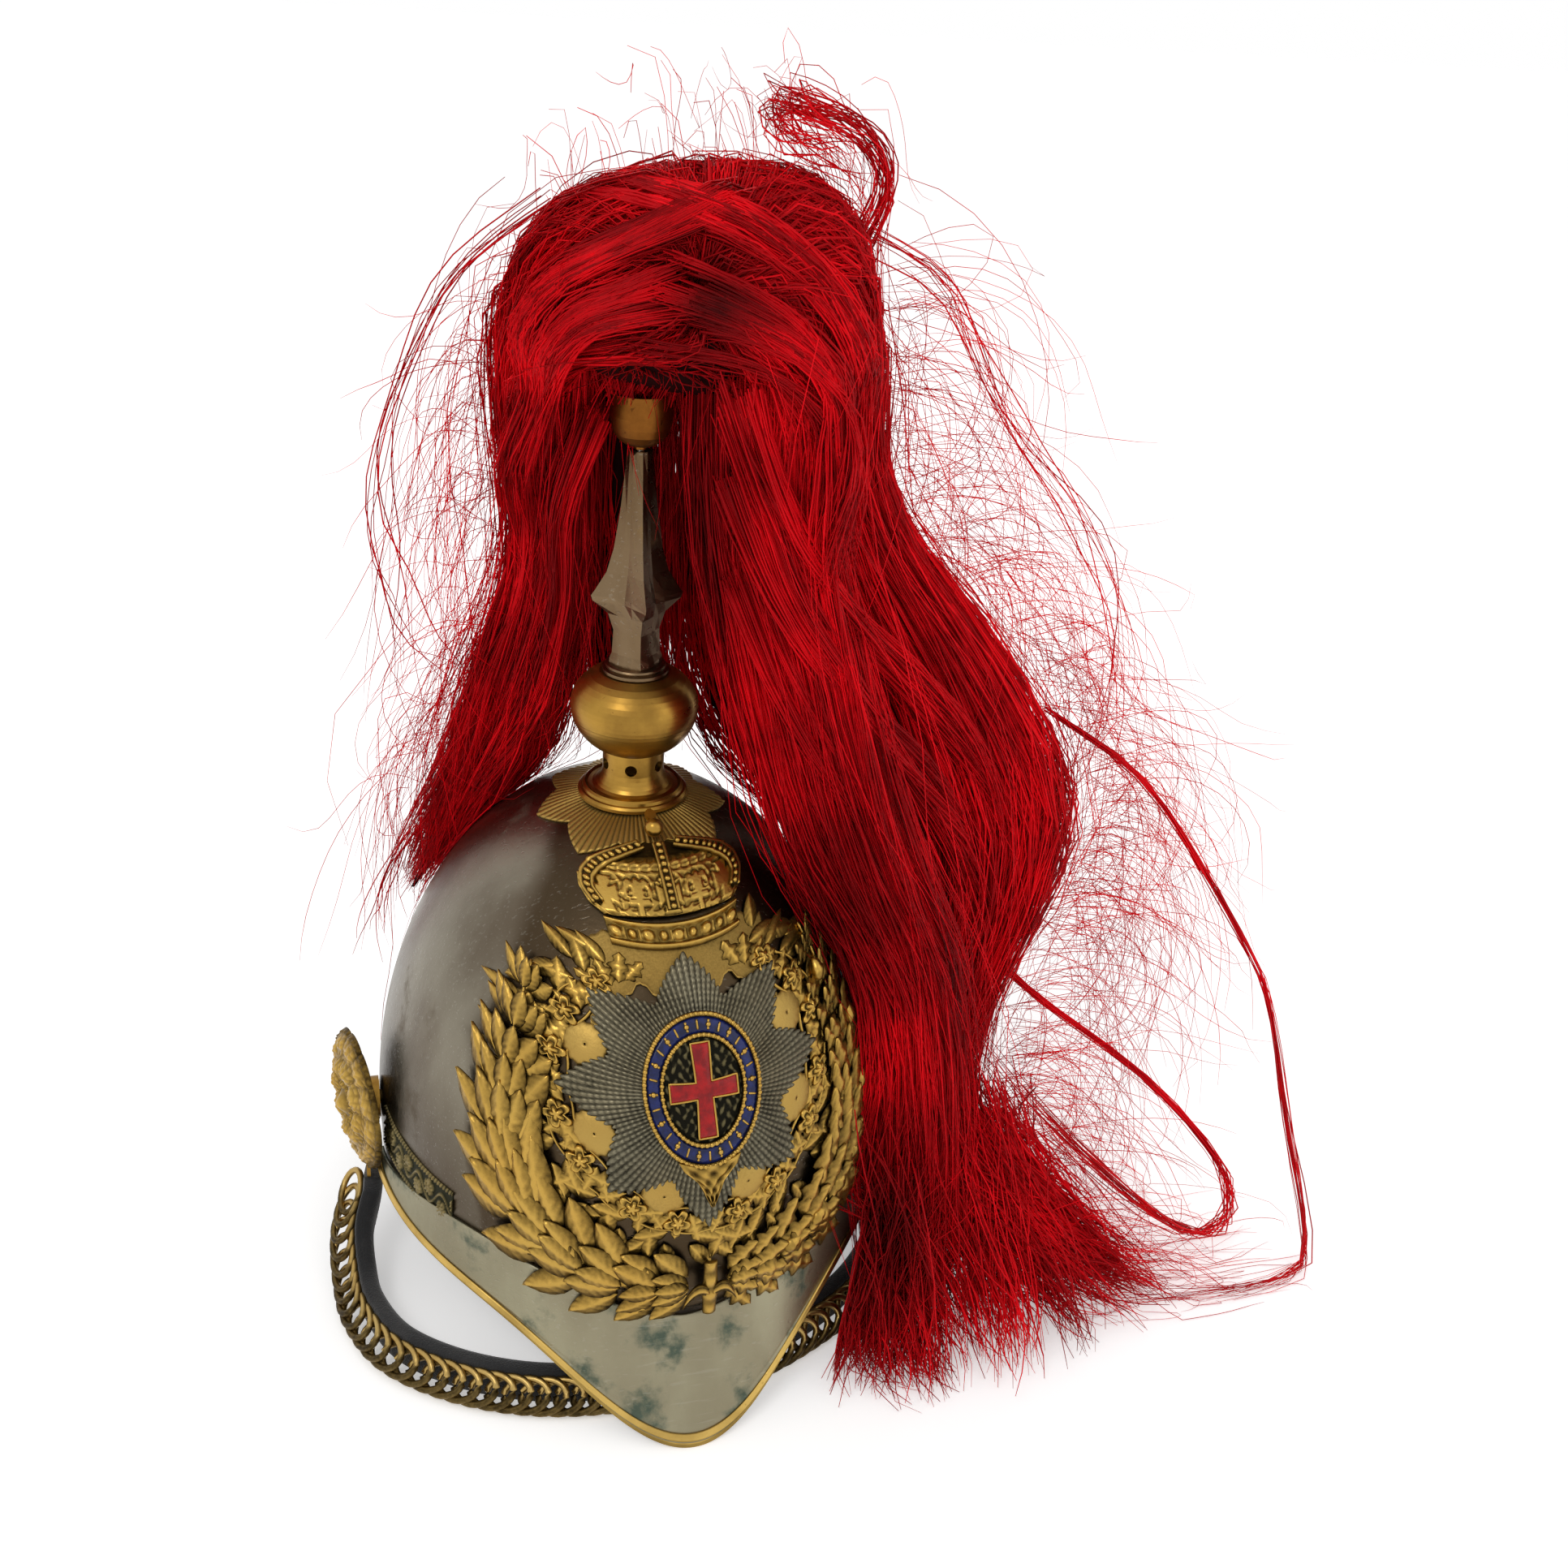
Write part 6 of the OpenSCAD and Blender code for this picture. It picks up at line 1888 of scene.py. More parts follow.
# Combed locks: name, strands, half width and the points of the line.
SWEEPS = (
    ("sweep_top", 620, 6.0, ((-22, 14, 346), (-10, -6, 364), (20, -26, 361), (48, -31, 345),
        (68, -27, 321), (74, -17, 292), (72, -12, 262), (72, -10, 240))),
    ("sweep_left", 420, 5.0, ((34, -6, 352), (20, -20, 364), (-2, -26, 360), (-20, -26, 352),
        (-37, -19, 338), (-44, -9, 312), (-42, 4, 280), (-38, 16, 250))),
    ("sweep_low", 420, 6.0, ((10, -29, 334), (30, -35, 329), (52, -35, 318), (68, -30, 298),
        (62, -27, 270), (58, -27, 236))),
    ("sweep_cheek", 260, 4.5, ((6, -28, 337), (-12, -32, 335), (-31, -28, 327),
        (-41, -17, 306), (-40, 0, 272))),
    ("sweep_fall_high", 300, 5.0, ((26, -30, 302), (42, -31, 262), (68, -27, 228),
        (102, -22, 192), (130, -20, 160), (144, -20, 128))),
    ("sweep_fall_mid", 300, 5.0, ((30, -27, 276), (44, -32, 240), (70, -36, 204),
        (98, -32, 168), (122, -28, 134), (134, -30, 104))),
    ("sweep_fall_low", 280, 5.0, ((30, -24, 246), (44, -33, 210), (64, -45, 174),
        (90, -50, 140), (108, -52, 110), (114, -56, 80),
        (110, -66, 44))),
    ("sweep_fall_left", 240, 4.0, ((-18, 0, 292), (-26, 10, 256), (-24, 20, 222),
        (-30, 24, 190), (-42, 32, 156), (-60, 42, 122))),
)

# Shaded places of the hair: middle, half sizes and depth of the shade.
HOLLOWS = (
    (15, -30, 334, 17, 17, 15, 1.0), (3, -10, 301, 18, 28, 11, 0.6),
    (20, -6, 245, 13, 40, 62, 0.75), (-6, 22, 235, 6, 30, 60, 0.3),
    (62, -52, 118, 30, 34, 50, 0.85), (80, -94, 4, 26, 34, 46, 0.85),
    (106, -50, 84, 26, 32, 36, 0.62),
)

# Fine hair off the edges: strands, reach outwards and the line of the edge.
CLOUDS = {
    "cloud_right": (860, 58.0, ((84, 0, 345), (88, 0, 300), (92, 4, 262), (118, 0, 238),
        (148, 0, 208), (172, -6, 178), (184, -8, 150), (186, -12, 122),
        (172, -20, 92))),
    "cloud_low": (660, 66.0, ((172, -16, 110), (150, -40, 62), (140, -58, 30), (138, -70, 4),
        (150, -92, -18), (176, -108, -28))),
    "cloud_left": (370, -30.0, ((-46, 5, 344), (-46, 20, 304), (-45, 28, 270), (-42, 32, 240),
        (-50, 36, 200), (-60, 42, 170), (-76, 50, 138))),
    "cloud_top": (200, 16.0, ((-38, 2, 362), (-10, 0, 380), (30, 0, 386), (66, 2, 376))),
}

# Hair on the floor: name, strands, line of the tips and start inside the fall.
HEAPS = (
    ("heap_left", 1500, ((52, -106, -35), (60, -123, -36), (80, -133, -36), (104, -136, -36)),
     (88, -86, 12)),
    ("heap_back", 700, ((84, -96, -24), (94, -110, -32), (112, -122, -34)), (92, -74, 30)),
    ("heap_right", 1300, ((112, -137, -36), (136, -134, -36), (160, -126, -36),
        (186, -116, -35), (196, -104, -32), (172, -92, -26),
        (150, -82, -12)), (120, -74, 12)),
    ("heap_fill", 800, ((128, -110, -34), (156, -108, -33), (182, -102, -30),
        (168, -90, -18), (150, -80, -4)), (124, -62, 24)),
    ("heap_curl", 260, ((146, -66, -2), (152, -72, -16), (150, -86, -24)), (126, -64, 20)),
)
# Lobes of the dome: number of the fall, side, strands, locks and range of tau.
LOBES = ((0, -1.0, 1400, 60, (0.0, 1.0)), (2, 1.0, 1800, 70, (0.12, 1.0)),
         (1, 0.55, 700, 26, (-0.12, 0.5)), (3, 0.30, 700, 24, (0.6, 1.2)),
         (3, -0.30, 600, 22, (0.55, 1.1)), (0, -0.6, 420, 16, (-0.45, 0.1)),
         (1, 0.45, 420, 16, (-0.5, 0.0)), (4, 0.22, 420, 16, (0.85, 1.3)),
         (4, -0.22, 420, 16, (0.85, 1.3)))
DOME = np.array([16.0, 0.0, 325.0])
DOME_SIZE = np.array([66.0, 34.0, 48.0])
PARTING = np.array([12.0, -19.0, 333.0])
HAIR_NODES = ("plume_hair", "plume_tail", "plume_wisps")


@dataclass
class PlumeWork:
    """Dyed horsehair: thousands of closed three-sided strands gathered in locks.

    Attributes:
        steps: points along a strand.
        thick: middle radius of a strand.
        root: height where the hair leaves the cup.
        share: share of the full number of strands, which keeps the triangles few.
        far: place across past which loose hair is drawn in, so that it stays in the box.
        rng: source of the random draws, whose order sets every strand.
    """

    steps: int = 14
    thick: float = 0.36
    root: float = 303.0
    share: float = 0.60
    far: float = 262.0
    rng: Any = field(default_factory=lambda: np.random.default_rng(71))

    def few(self, count: int) -> int:
        """Number of strands built for a full number of them."""
        return int(count * self.share)

    def blur(self, count: int, size: Sequence[float]) -> Array:
        """Random offsets, normal with a size along each axis."""
        return self.rng.normal(0, 1, (count, 3)) * size

    @staticmethod
    def across(rows: Array, dx: Array, dy: Array) -> Array:
        """Points off the middles of a fall's rows.

        Args:
            rows: the fall's rows.
            dx: offset along each row's width, any leading shape.
            dy: offset along its depth.

        Returns:
            Middle + dx (cos t, sin t) + dy (-sin t, cos t), with t the row's turn.
        """
        t = np.radians(rows[:, 5])
        return np.stack([rows[:, 1] + dx * np.cos(t) - dy * np.sin(t),
                         rows[:, 2] + dx * np.sin(t) + dy * np.cos(t),
                         np.broadcast_to(rows[:, 0], dx.shape)], -1)

    def clear(self, p: Array, room: float = 1.6) -> Array:
        """Keep points off the skull, the rosettes and the floor.

        A point inside the ellipsoid or, lower, the elliptic cylinder that is room off the
        skull is scaled out to it. Low points stay outside a line along the peak's edge, and
        points near a rosette outside its face.

        Args:
            p: points.
            room: least distance off the skull.

        Returns:
            The moved points.
        """
        p = p.copy()
        x, y, z = (p[..., i] for i in range(3))
        rim = FORM.rim_z
        e = np.sqrt((x / (FORM.side + room)) ** 2 + (y / (FORM.depth + room)) ** 2
                    + (np.maximum(z - rim, 0) / (FORM.height + room)) ** 2)
        k = np.where(e < 1, 1 / np.maximum(e, 0.2), 1.0)
        x *= k
        y *= k
        z[...] = np.where(z > rim, rim + (z - rim) * k, z)
        beside, left = 104, 40  # the peak's widest place, and where its left side starts
        low = (z < 20) & (np.abs(y) < 125) & (x > left)
        edge = beside + 0.62 * np.minimum(y + 45, 0)
        x[...] = np.where(low & (x < edge), edge + (x - left) * 0.05, x)
        around, face = 36, 118.0  # radius kept free round a rosette's post, and its face
        near = (np.hypot(y + 6, z - 26) < around) & (np.abs(x) > 60)
        x[...] = np.where(near, np.sign(x) * np.maximum(np.abs(x), face), x)
        z[...] = np.maximum(z, FLOOR_Z + 0.8)
        x -= np.maximum(x - self.far, 0) * 0.55
        return p

    def wander(self, count: int, n: int, size: Array, waves: float = 2.2) -> Array:
        """Smooth random sway of each strand: three sine waves of random phase per axis.

        Args:
            count: number of strands.
            n: points of each.
            size: size of the sway, one for each strand.
            waves: waves along the strand.

        Returns:
            Offsets, strands by points by 3.
        """
        s = np.linspace(0, 1, n)[None, :, None]
        out = np.zeros((count, n, 3))
        for k in range(1, 4):
            f = self.rng.uniform(0.5, 1.3, (count, 1, 3)) * waves * k / 2
            ph = self.rng.uniform(0, 2 * math.pi, (count, 1, 3))
            out += np.sin(2 * math.pi * f * s + ph) / k
        return out * size[:, None, None] * np.linspace(0.1, 1, n)[None, :, None]

    def on_dome(self, aim: Array, deep: Array) -> Array:
        """Points on the dome of hair: each reach is that of the superellipsoid.

        Along a direction d from the dome's middle the reach is one over the nth root of
        |dx/rx|^n + |dy/ry|^n + |dz/rz|^n, with the half sizes rx, ry, rz of that side and
        n from 2 on the left, which is round, to 3 on the right, which is fuller.

        Args:
            aim: directions, not zero.
            deep: share of the reach.

        Returns:
            Points.
        """
        d = unit(aim, TINY)
        size = np.where(d > 0, np.array([66.0, 35.0, 48.0]), np.array([66.0, 33.0, 36.0]))
        power = 2.5 + 0.5 * np.tanh(4 * d[..., 0])
        reach = 1 / ((np.abs(d) / size) ** power[..., None]).sum(-1) ** (1 / power)
        return DOME + d * (reach * deep)[..., None]

    def from_cup(self, to: Array) -> Array:
        """Way of each lock's middle from the cup through the dome to its fall.

        Args:
            to: where each lock leaves the dome.

        Returns:
            Three points for each lock.
        """
        inner = np.stack([0.55 * to[:, 0], 0.5 * to[:, 1], np.full(len(to), 345.0)], -1)
        return np.stack([np.tile([0.0, 0.0, self.root], (len(to), 1)),
                         inner * [0.35, 0.35, 1] - [0, 0, 20], inner], 1)

    def lobe(self, fall: Fall, side: float, count: int, locks: int, band: tuple[float, float]
             ) -> None:
        """Hair that fans from the parting over one side of the dome and down its fall.

        A lock's place in the fan (tau) sets how high it arcs and how far back it comes down:
        low in front for 0, over the top to the back for 1. Its outward share sets how far
        from the middle it turns down.

        Args:
            fall: the fall that it goes down.
            side: -1 for the left, 1 for the right, or a smaller share for a narrow lobe.
            count: number of strands.
            locks: number of locks.
            band: least and greatest tau.
        """
        rng = self.rng
        rows = np.array(fall.rows)[1:]
        lock = rng.integers(0, locks, count)
        tau = rng.uniform(band[0], band[1], locks)[lock] + rng.normal(0, 0.045, count)
        out = np.clip(rng.uniform(0, 1, locks)[lock] ** 0.7 + rng.normal(0, 0.07, count), 0, 1)
        rise = rng.normal(0, 0.10, locks)[lock]
        parting = np.array([0.0, -0.80, 0.20])
        cross = side * (0.12 + 0.70 * out * (1 - 0.3 * tau)) + rng.normal(0, 0.10, locks)[lock]
        top = np.stack([cross, -0.88 + 1.2 * tau + rise, 0.16 + 1.05 * tau + rise], -1)
        end = np.stack([side * (0.55 + 0.45 * out), -0.75 + 1.35 * tau, np.full(count, -0.15)],
                       -1)
        top, end = unit(top), unit(end)
        deep = rng.uniform(0.86, 1.0, locks)[lock] - 0.03 * np.abs(rng.normal(0, 1, count))
        hollow = PARTING + self.blur(count, [3.0, 2.0, 4.0])
        ways = [np.tile([0.0, 0.0, self.root], (count, 1)), hollow]
        for q in (0.5 * parting + 0.62 * top, top, 0.62 * top + 0.5 * end):
            ways.append(self.on_dome(q * DOME_SIZE, deep))
        hug = side / max(abs(side), 0.01)
        a = hug * (-0.25 + 1.15 * out) * abs(side) ** 0.3
        b = np.clip(-0.95 + 1.75 * tau, -0.95, 0.95)
        near = 1 - 0.35 * rng.uniform(0, 1, count)[:, None] * np.linspace(0, 1, len(rows))[None]
        dx = a[:, None] * near * rows[:, 3] * 0.97
        dy = b[:, None] * near * rows[:, 4]
        body = self.across(rows, dx, dy)
        full = curve(np.concatenate([np.stack(ways, 1), body], 1), 4)
        full = self.resample(full, self.steps, rng.uniform(0.32, 1.0, count))
        full = full + self.wander(locks, self.steps, rng.uniform(0.5, 3.5, locks), 1.5)[lock]
        full = full + self.wander(count, self.steps, rng.uniform(0.2, 1.3, count) ** 2)
        tone = rng.uniform(0, 1, locks)[lock] * 0.75 + rng.uniform(0, 1, count) * 0.25
        name = f"hair_lobe_{fall.name}_{int(100 * band[1])}_" + ("left" if side < 0 else "right")
        self.strands(name, full, tone, self.thick)
        loose = rng.random(count) < 0.07
        number = int(loose.sum())
        free = full[loose] + self.wander(number, self.steps, rng.uniform(2, 9, number), 1.3)
        free = free + (full[loose] - DOME) * 0.05
        self.strands(name + "_loose", free, tone[loose], self.thick * 0.5)

    def fall_paths(self, fall: Fall, count: int, loose: float) -> tuple[Array, Array]:
        """Strands of one fall, over the dome and down through its rows.

        Each lock has a middle line: over the dome, then at its own shares across (a) and in
        depth (b) of each row's ellipse, with a sway of its own. A strand keeps its distance
        from its lock's line, less so further down.

        Args:
            fall: the fall.
            count: number of strands.
            loose: how far beyond the ellipse strands may lie.

        Returns:
            Paths and a tone for each strand.
        """
        rng = self.rng
        rows = np.array(fall.rows)
        m = len(rows)
        angle = rng.uniform(0, 2 * math.pi, fall.clumps)
        reach = rng.uniform(0.22, 0.88, fall.clumps) ** 0.5
        lock = rng.integers(0, fall.clumps, count)
        own = rng.normal(0, 0.24, (2, count)) * loose
        narrow = 1 - rng.uniform(0.1, 0.75, count)[:, None] * ease(
            np.linspace(0, 1, m)[None] * 1.5)
        sway = self.wander(fall.clumps, m, rng.uniform(2.0, 8.5, fall.clumps), 1.8)
        wide, deep = rows[:, 3], rows[:, 4]
        ga, gb = (reach * np.cos(angle))[:, None], (reach * np.sin(angle))[:, None]
        guide = self.across(rows, ga * wide, gb * deep)
        dome = self.from_cup(guide[:, 0])[lock]
        a, b = ga[lock] + own[0][:, None] * narrow, gb[lock] + own[1][:, None] * narrow
        far = np.maximum(1.0, np.hypot(a, b) / loose)
        body = self.across(rows, a / far * wide, b / far * deep) + sway[lock] * [1.0, 0.7, 0.2]
        spread = rng.normal(0, 1, (count, 1, 3)) * [4.6, 3.4, 3.4] * loose
        dome = dome + spread * np.array([0.9, 0.8, 1.0])[None, :, None]
        full = curve(np.concatenate([dome, body], 1), 4)
        full = self.resample(full, self.steps, rng.uniform(0.6, 1.0, count) ** 0.5)
        tone = rng.uniform(0, 1, fall.clumps)[lock] * 0.78 + rng.uniform(0, 1, count) * 0.22
        return full, tone

    def resample(self, paths: Array, n: int, end: Array) -> Array:
        """Even points along each path, up to a share of its length.

        Args:
            paths: strands by points by 3.
            n: points wanted.
            end: share of the length kept, for each strand.

        Returns:
            Strands by n by 3.
        """
        step = np.linalg.norm(np.diff(paths, axis=1), axis=-1)
        d = np.concatenate([np.zeros((len(paths), 1)), np.cumsum(step, 1)], 1)
        want = np.linspace(0, 1, n)[None] * (d[:, -1] * end)[:, None]
        hit = (d[:, None, :] <= want[:, :, None]).sum(-1) - 1
        hit = np.clip(hit, 0, paths.shape[1] - 2)
        row = np.arange(len(paths))[:, None]
        low, high = d[row, hit], d[row, hit + 1]
        f = ((want - low) / np.maximum(high - low, TINY))[..., None]
        return paths[row, hit] * (1 - f) + paths[row, hit + 1] * f

    def strands(self, name: str, paths: Array, tone: Array, thick: float, points: int = 13
                ) -> None:
        """Build strands as one piece.

        Args:
            name: the piece's name.
            paths: strands by points by 3.
            tone: tone of each strand.
            thick: middle radius.
            points: points along a strand.
        """
        paths = self.resample(paths, points, np.ones(len(paths)))
        count, n = paths.shape[:2]
        taper = np.interp(np.linspace(0, 1, n), [0, 0.08, 0.8, 1], [0.8, 1, 0.9, 0.35])
        r = thick * self.rng.uniform(0.65, 1.35, count)[:, None] * taper
        # Each point's tone is the strand's tone darkened by the painted shade of the hollows.
        sheen = (np.clip(0.22 + 0.95 * tone, 0, 1)[:, None] * self.lit(paths))[..., None]
        Shape().tubes(self.clear(paths), r, 3, sheen, ref=(0.21, 1.0, 0.13)).build(
            name, Dye.HAIR, HAIR_NODES, "plume")

    def lit(self, p: Array) -> Array:
        """Share of light on the hair at places: 1 less the deepest of the hollows.

        Each hollow takes k exp(-e), with e the squared distance in its half sizes.

        Args:
            p: places.

        Returns:
            The share at each.
        """
        dark = np.zeros(p.shape[:-1])
        for x, y, z, rx, ry, rz, k in HOLLOWS:
            e = ((p - [x, y, z]) / [rx, ry, rz]) ** 2
            dark = np.maximum(dark, k * np.exp(-e.sum(-1)))
        return 1 - dark

    def hold(self, p: Array) -> Array:
        """Draw points above the cup's rim into the dome where they stand off it.

        Args:
            p: points.

        Returns:
            The moved points.
        """
        d = p - DOME
        edge = np.linalg.norm(self.on_dome(d, np.ones(p.shape[:-1])) - DOME, axis=-1)
        far = np.linalg.norm(d, axis=-1) / edge
        k = np.where(far > 1, 1 / far, 1.0)
        rim, fade = 272, 40
        k = 1 - (1 - k) * ease((p[..., 2] - rim) / fade)
        return DOME + d * k[..., None]

    def sweeps(self) -> None:
        """Locks combed over the dome, each with its own shift and tone."""
        rng = self.rng
        for name, count, spread, line in SWEEPS:
            count, locks = self.few(count), 11
            pick = rng.integers(0, locks, count)
            paths = self.along(line, count, 1.9, 1.5)
            shift = rng.normal(0, 1, (locks, 1, 3)) * [1.0, 0.35, 1.0] * spread
            n = paths.shape[1]
            paths = paths + shift[pick] * np.linspace(1, 0.25, n)[None, :, None]
            paths = paths + self.wander(locks, n, rng.uniform(1.0, 3.5, locks), 1.2)[pick]
            tone = rng.uniform(0.0, 0.8, locks)[pick] * 0.75 + rng.uniform(0, 0.8, count) * 0.25
            paths = self.hold(paths) + self.wander(count, n, rng.uniform(0.1, 0.9, count))
            self.strands("hair_" + name, paths, tone, self.thick)

    def core(self) -> None:
        """Dark mass inside each fall, well within its strands: painted shade for the hair deep
        inside.
        """
        shape = Shape()
        for fall in FALLS:
            rows = curve(np.array(fall.rows), 4)
            rows = rows[rows[:, 0] > 0] if fall.name in ("front", "middle") else rows
            a = turns(20, -1)
            m = len(rows)
            k = 0.58 * np.interp(np.linspace(0, 1, m), [0, 0.1, 0.85, 1],
                                 [0.6, 1, 0.9, 0.2])[:, None]
            rough = 1 + 0.22 * np.sin(3 * a)[None] * np.sin(np.arange(m) * 0.9)[:, None]
            dx = rows[:, 3, None] * k * np.cos(a) * rough
            dy = rows[:, 4, None] * k * np.sin(a) * rough
            shape.tube(self.clear(self.across(rows, dx.T, dy.T).swapaxes(0, 1), 2.5), 0.0)
        a = turns(28, -1)
        e = np.linspace(-1.5, 1.5, 15)[:, None]
        aim = np.stack([np.cos(e) * np.cos(a), np.cos(e) * np.sin(a), np.sin(e) + 0 * a], -1)
        shape.tube(self.on_dome(aim * DOME_SIZE, np.full(aim.shape[:2], 0.70)), 0.0)
        shape.build("hair_core", Dye.SHADOW, HAIR_NODES, "plume")

    def roots(self) -> None:
        """Short hair that rises from the cup and spreads over the front of the dome, kept dark as
        painted shade.
        """
        rng = self.rng
        count = self.few(700)
        q = rng.uniform(0, 2 * math.pi, count)
        p0 = np.stack([7 * np.cos(q), 7 * np.sin(q), np.full(count, self.root)], -1)
        a = rng.uniform(-1, 1, count)
        up = rng.uniform(-0.55, 0.35, count)
        aim = np.stack([a * 0.85, -0.75 + 0 * a, up], -1) * DOME_SIZE
        p3 = self.on_dome(aim, rng.uniform(0.70, 0.9, count))
        p1 = p0 + np.stack([3 * a, np.full(count, -6.0), rng.uniform(10, 18, count)], -1)
        p2 = p0 * 0.35 + p3 * 0.65 + self.blur(count, [4, 3, 3]) + [0, -4, 7]
        s = np.linspace(0, 1, self.steps)[None, :, None]
        paths = bezier(s, p0, p1, p2, p3)
        paths = paths + self.wander(count, self.steps, rng.uniform(0.2, 1.2, count))
        # Low tones only: painted shade where the hair leaves the cup.
        self.strands("hair_roots", paths, rng.uniform(0.0, 0.45, count), self.thick, 9)

    def falls(self) -> None:
        """The falls and their loose outer strands."""
        for fall in FALLS:
            count = self.few(fall.strands)
            paths, tone = self.fall_paths(fall, count, 1.0)
            size = self.rng.uniform(0.3, 1.5, count) ** 2 * 2.6
            paths = paths + self.wander(count, self.steps, size)
            self.strands("hair_" + fall.name, paths, tone, self.thick)
            count = int(fall.strands * 0.15 * self.share)  # in this order, for its rounding
            paths, tone = self.fall_paths(fall, count, 1.3)
            paths = paths + self.wander(count, self.steps, self.rng.uniform(3, 11, count), 1.6)
            self.strands("hair_" + fall.name + "_loose", paths, 0.3 + 0.7 * tone,
                         self.thick * 0.6)

    def along(self, line: Sequence[Sequence[float]], count: int, spread: float, sway: float,
              ) -> Array:
        """Strands that follow a line, gathered in the middle and loose at the ends.

        Args:
            line: points of the line.
            count: number of strands.
            spread: half width of the lock.
            sway: size of the random sway.

        Returns:
            Paths.
        """
        n = self.steps + 6
        c = self.resample(curve(np.array(line, float), 8)[None], n, np.ones(1))
        side = self.rng.normal(0, 1, (count, 1, 3)) * spread
        fan = 0.35 + 0.65 * np.abs(2 * np.linspace(0, 1, n)[None, :, None] - 0.9)
        size = sway * self.rng.uniform(0.4, 1.6, count)
        paths = c + side * fan + self.wander(count, n, size)
        return self.resample(paths, n, self.rng.uniform(0.8, 1.0, count))

    def loops(self) -> None:
        """Long loose loops and arcs round the plume."""
        for name, count, spread, sway, line in LOOPS:
            paths = self.along(line, count, spread, sway)
            self.strands("hair_" + name, paths, self.rng.uniform(0.3, 1, count),
                         self.thick * 0.7, 20)

    def heap(self) -> None:
        """Hair on the floor: the falls' ends, turned outward to tips along a line.

        Each strand is a cubic Bezier curve from inside the fall down to the floor and out.
        """
        rng = self.rng
        for name, count, tips, start in HEAPS:
            count, tufts = self.few(count), 26
            line = curve(np.array(tips, float), 6)
            pick = rng.integers(0, tufts, count)
            at = line[rng.integers(0, len(line), tufts)][pick] + self.blur(count, [5, 5, 2.5])
            p0 = np.array(start) + self.blur(count, [12, 7, 15])
            p1 = p0 * 0.75 + at * 0.25 + self.blur(count, [8, 6, 5]) - [0, 0, 10]
            lump = self.blur(tufts, [9, 8, 9])[pick] + [0, 0, 7]
            p2 = p0 * 0.3 + at * 0.7 + lump + self.blur(count, [5, 4, 4])
            f = np.linspace(0, 1, self.steps)[None, :, None]
            f = f * rng.uniform(0.55, 1.0, (count, 1, 1)) ** 0.6
            paths = bezier(f, p0, p1, p2, at)
            paths = paths + self.wander(count, self.steps, rng.uniform(0.5, 3.2, count))
            tone = rng.uniform(0, 1, tufts)[pick] * 0.6 + rng.uniform(0, 1, count) * 0.3
            self.strands("hair_" + name, paths, tone, self.thick * 0.85, 9)

    def cloud(self) -> None:
        """Fine single hairs that arc out from the edges of the mass and curl back.

        Each is a cubic Bezier curve: out and up from the edge, over, then down.
        """
        rng = self.rng
        for name, (count, out, line) in CLOUDS.items():
            count = self.few(count)
            edge = curve(np.array(line, float), 8)
            at = edge[rng.integers(0, len(edge), count)]
            ways = [at + self.blur(count, [5, 5, 9])]
            for least, most, low, high in (
                    (0.1, 1, [-6, -8, -14], [6, 8, 26]), (-0.25, 0.75, [-8, -8, -85], [8, 8, -8]),
                    (-0.9, 0.5, [-12, -8, -62], [12, 8, 16])):
                side = [out, 0.0, 0.0] * rng.uniform(least, most, (count, 1))
                ways.append(ways[-1] + side + rng.uniform(low, high, (count, 3)))
            paths = bezier(np.linspace(0, 1, self.steps)[None, :, None], *ways)
            paths = paths + self.wander(count, self.steps, rng.uniform(0.4, 3.0, count), 1.4)
            self.strands("hair_" + name, paths, rng.uniform(0.45, 1, count), self.thick * 0.36, 11)

    def flyaways(self) -> None:
        """Single hairs that stand off the mass in long arcs."""
        rng = self.rng
        shares = np.bincount(rng.integers(0, len(FALLS), self.few(640)), minlength=len(FALLS))
        paths = np.concatenate([self.fall_paths(fall, int(n), 1.9)[0]
                                for fall, n in zip(FALLS, shares)])
        paths = paths + self.wander(len(paths), self.steps, rng.uniform(6, 20, len(paths)), 1.2)
        self.strands("hair_flyaways", paths, rng.uniform(0.3, 1, len(paths)), self.thick * 0.5)

    def make(self) -> None:
        """Build the plume's hair."""
        self.core()
        self.roots()
        self.falls()
        for number, side, count, locks, band in LOBES:
            self.lobe(FALLS[number], side, self.few(count), locks, band)
        self.sweeps()
        self.loops()
        self.heap()
        self.cloud()
        self.flyaways()


# ---------------------------------------------------------------- stage


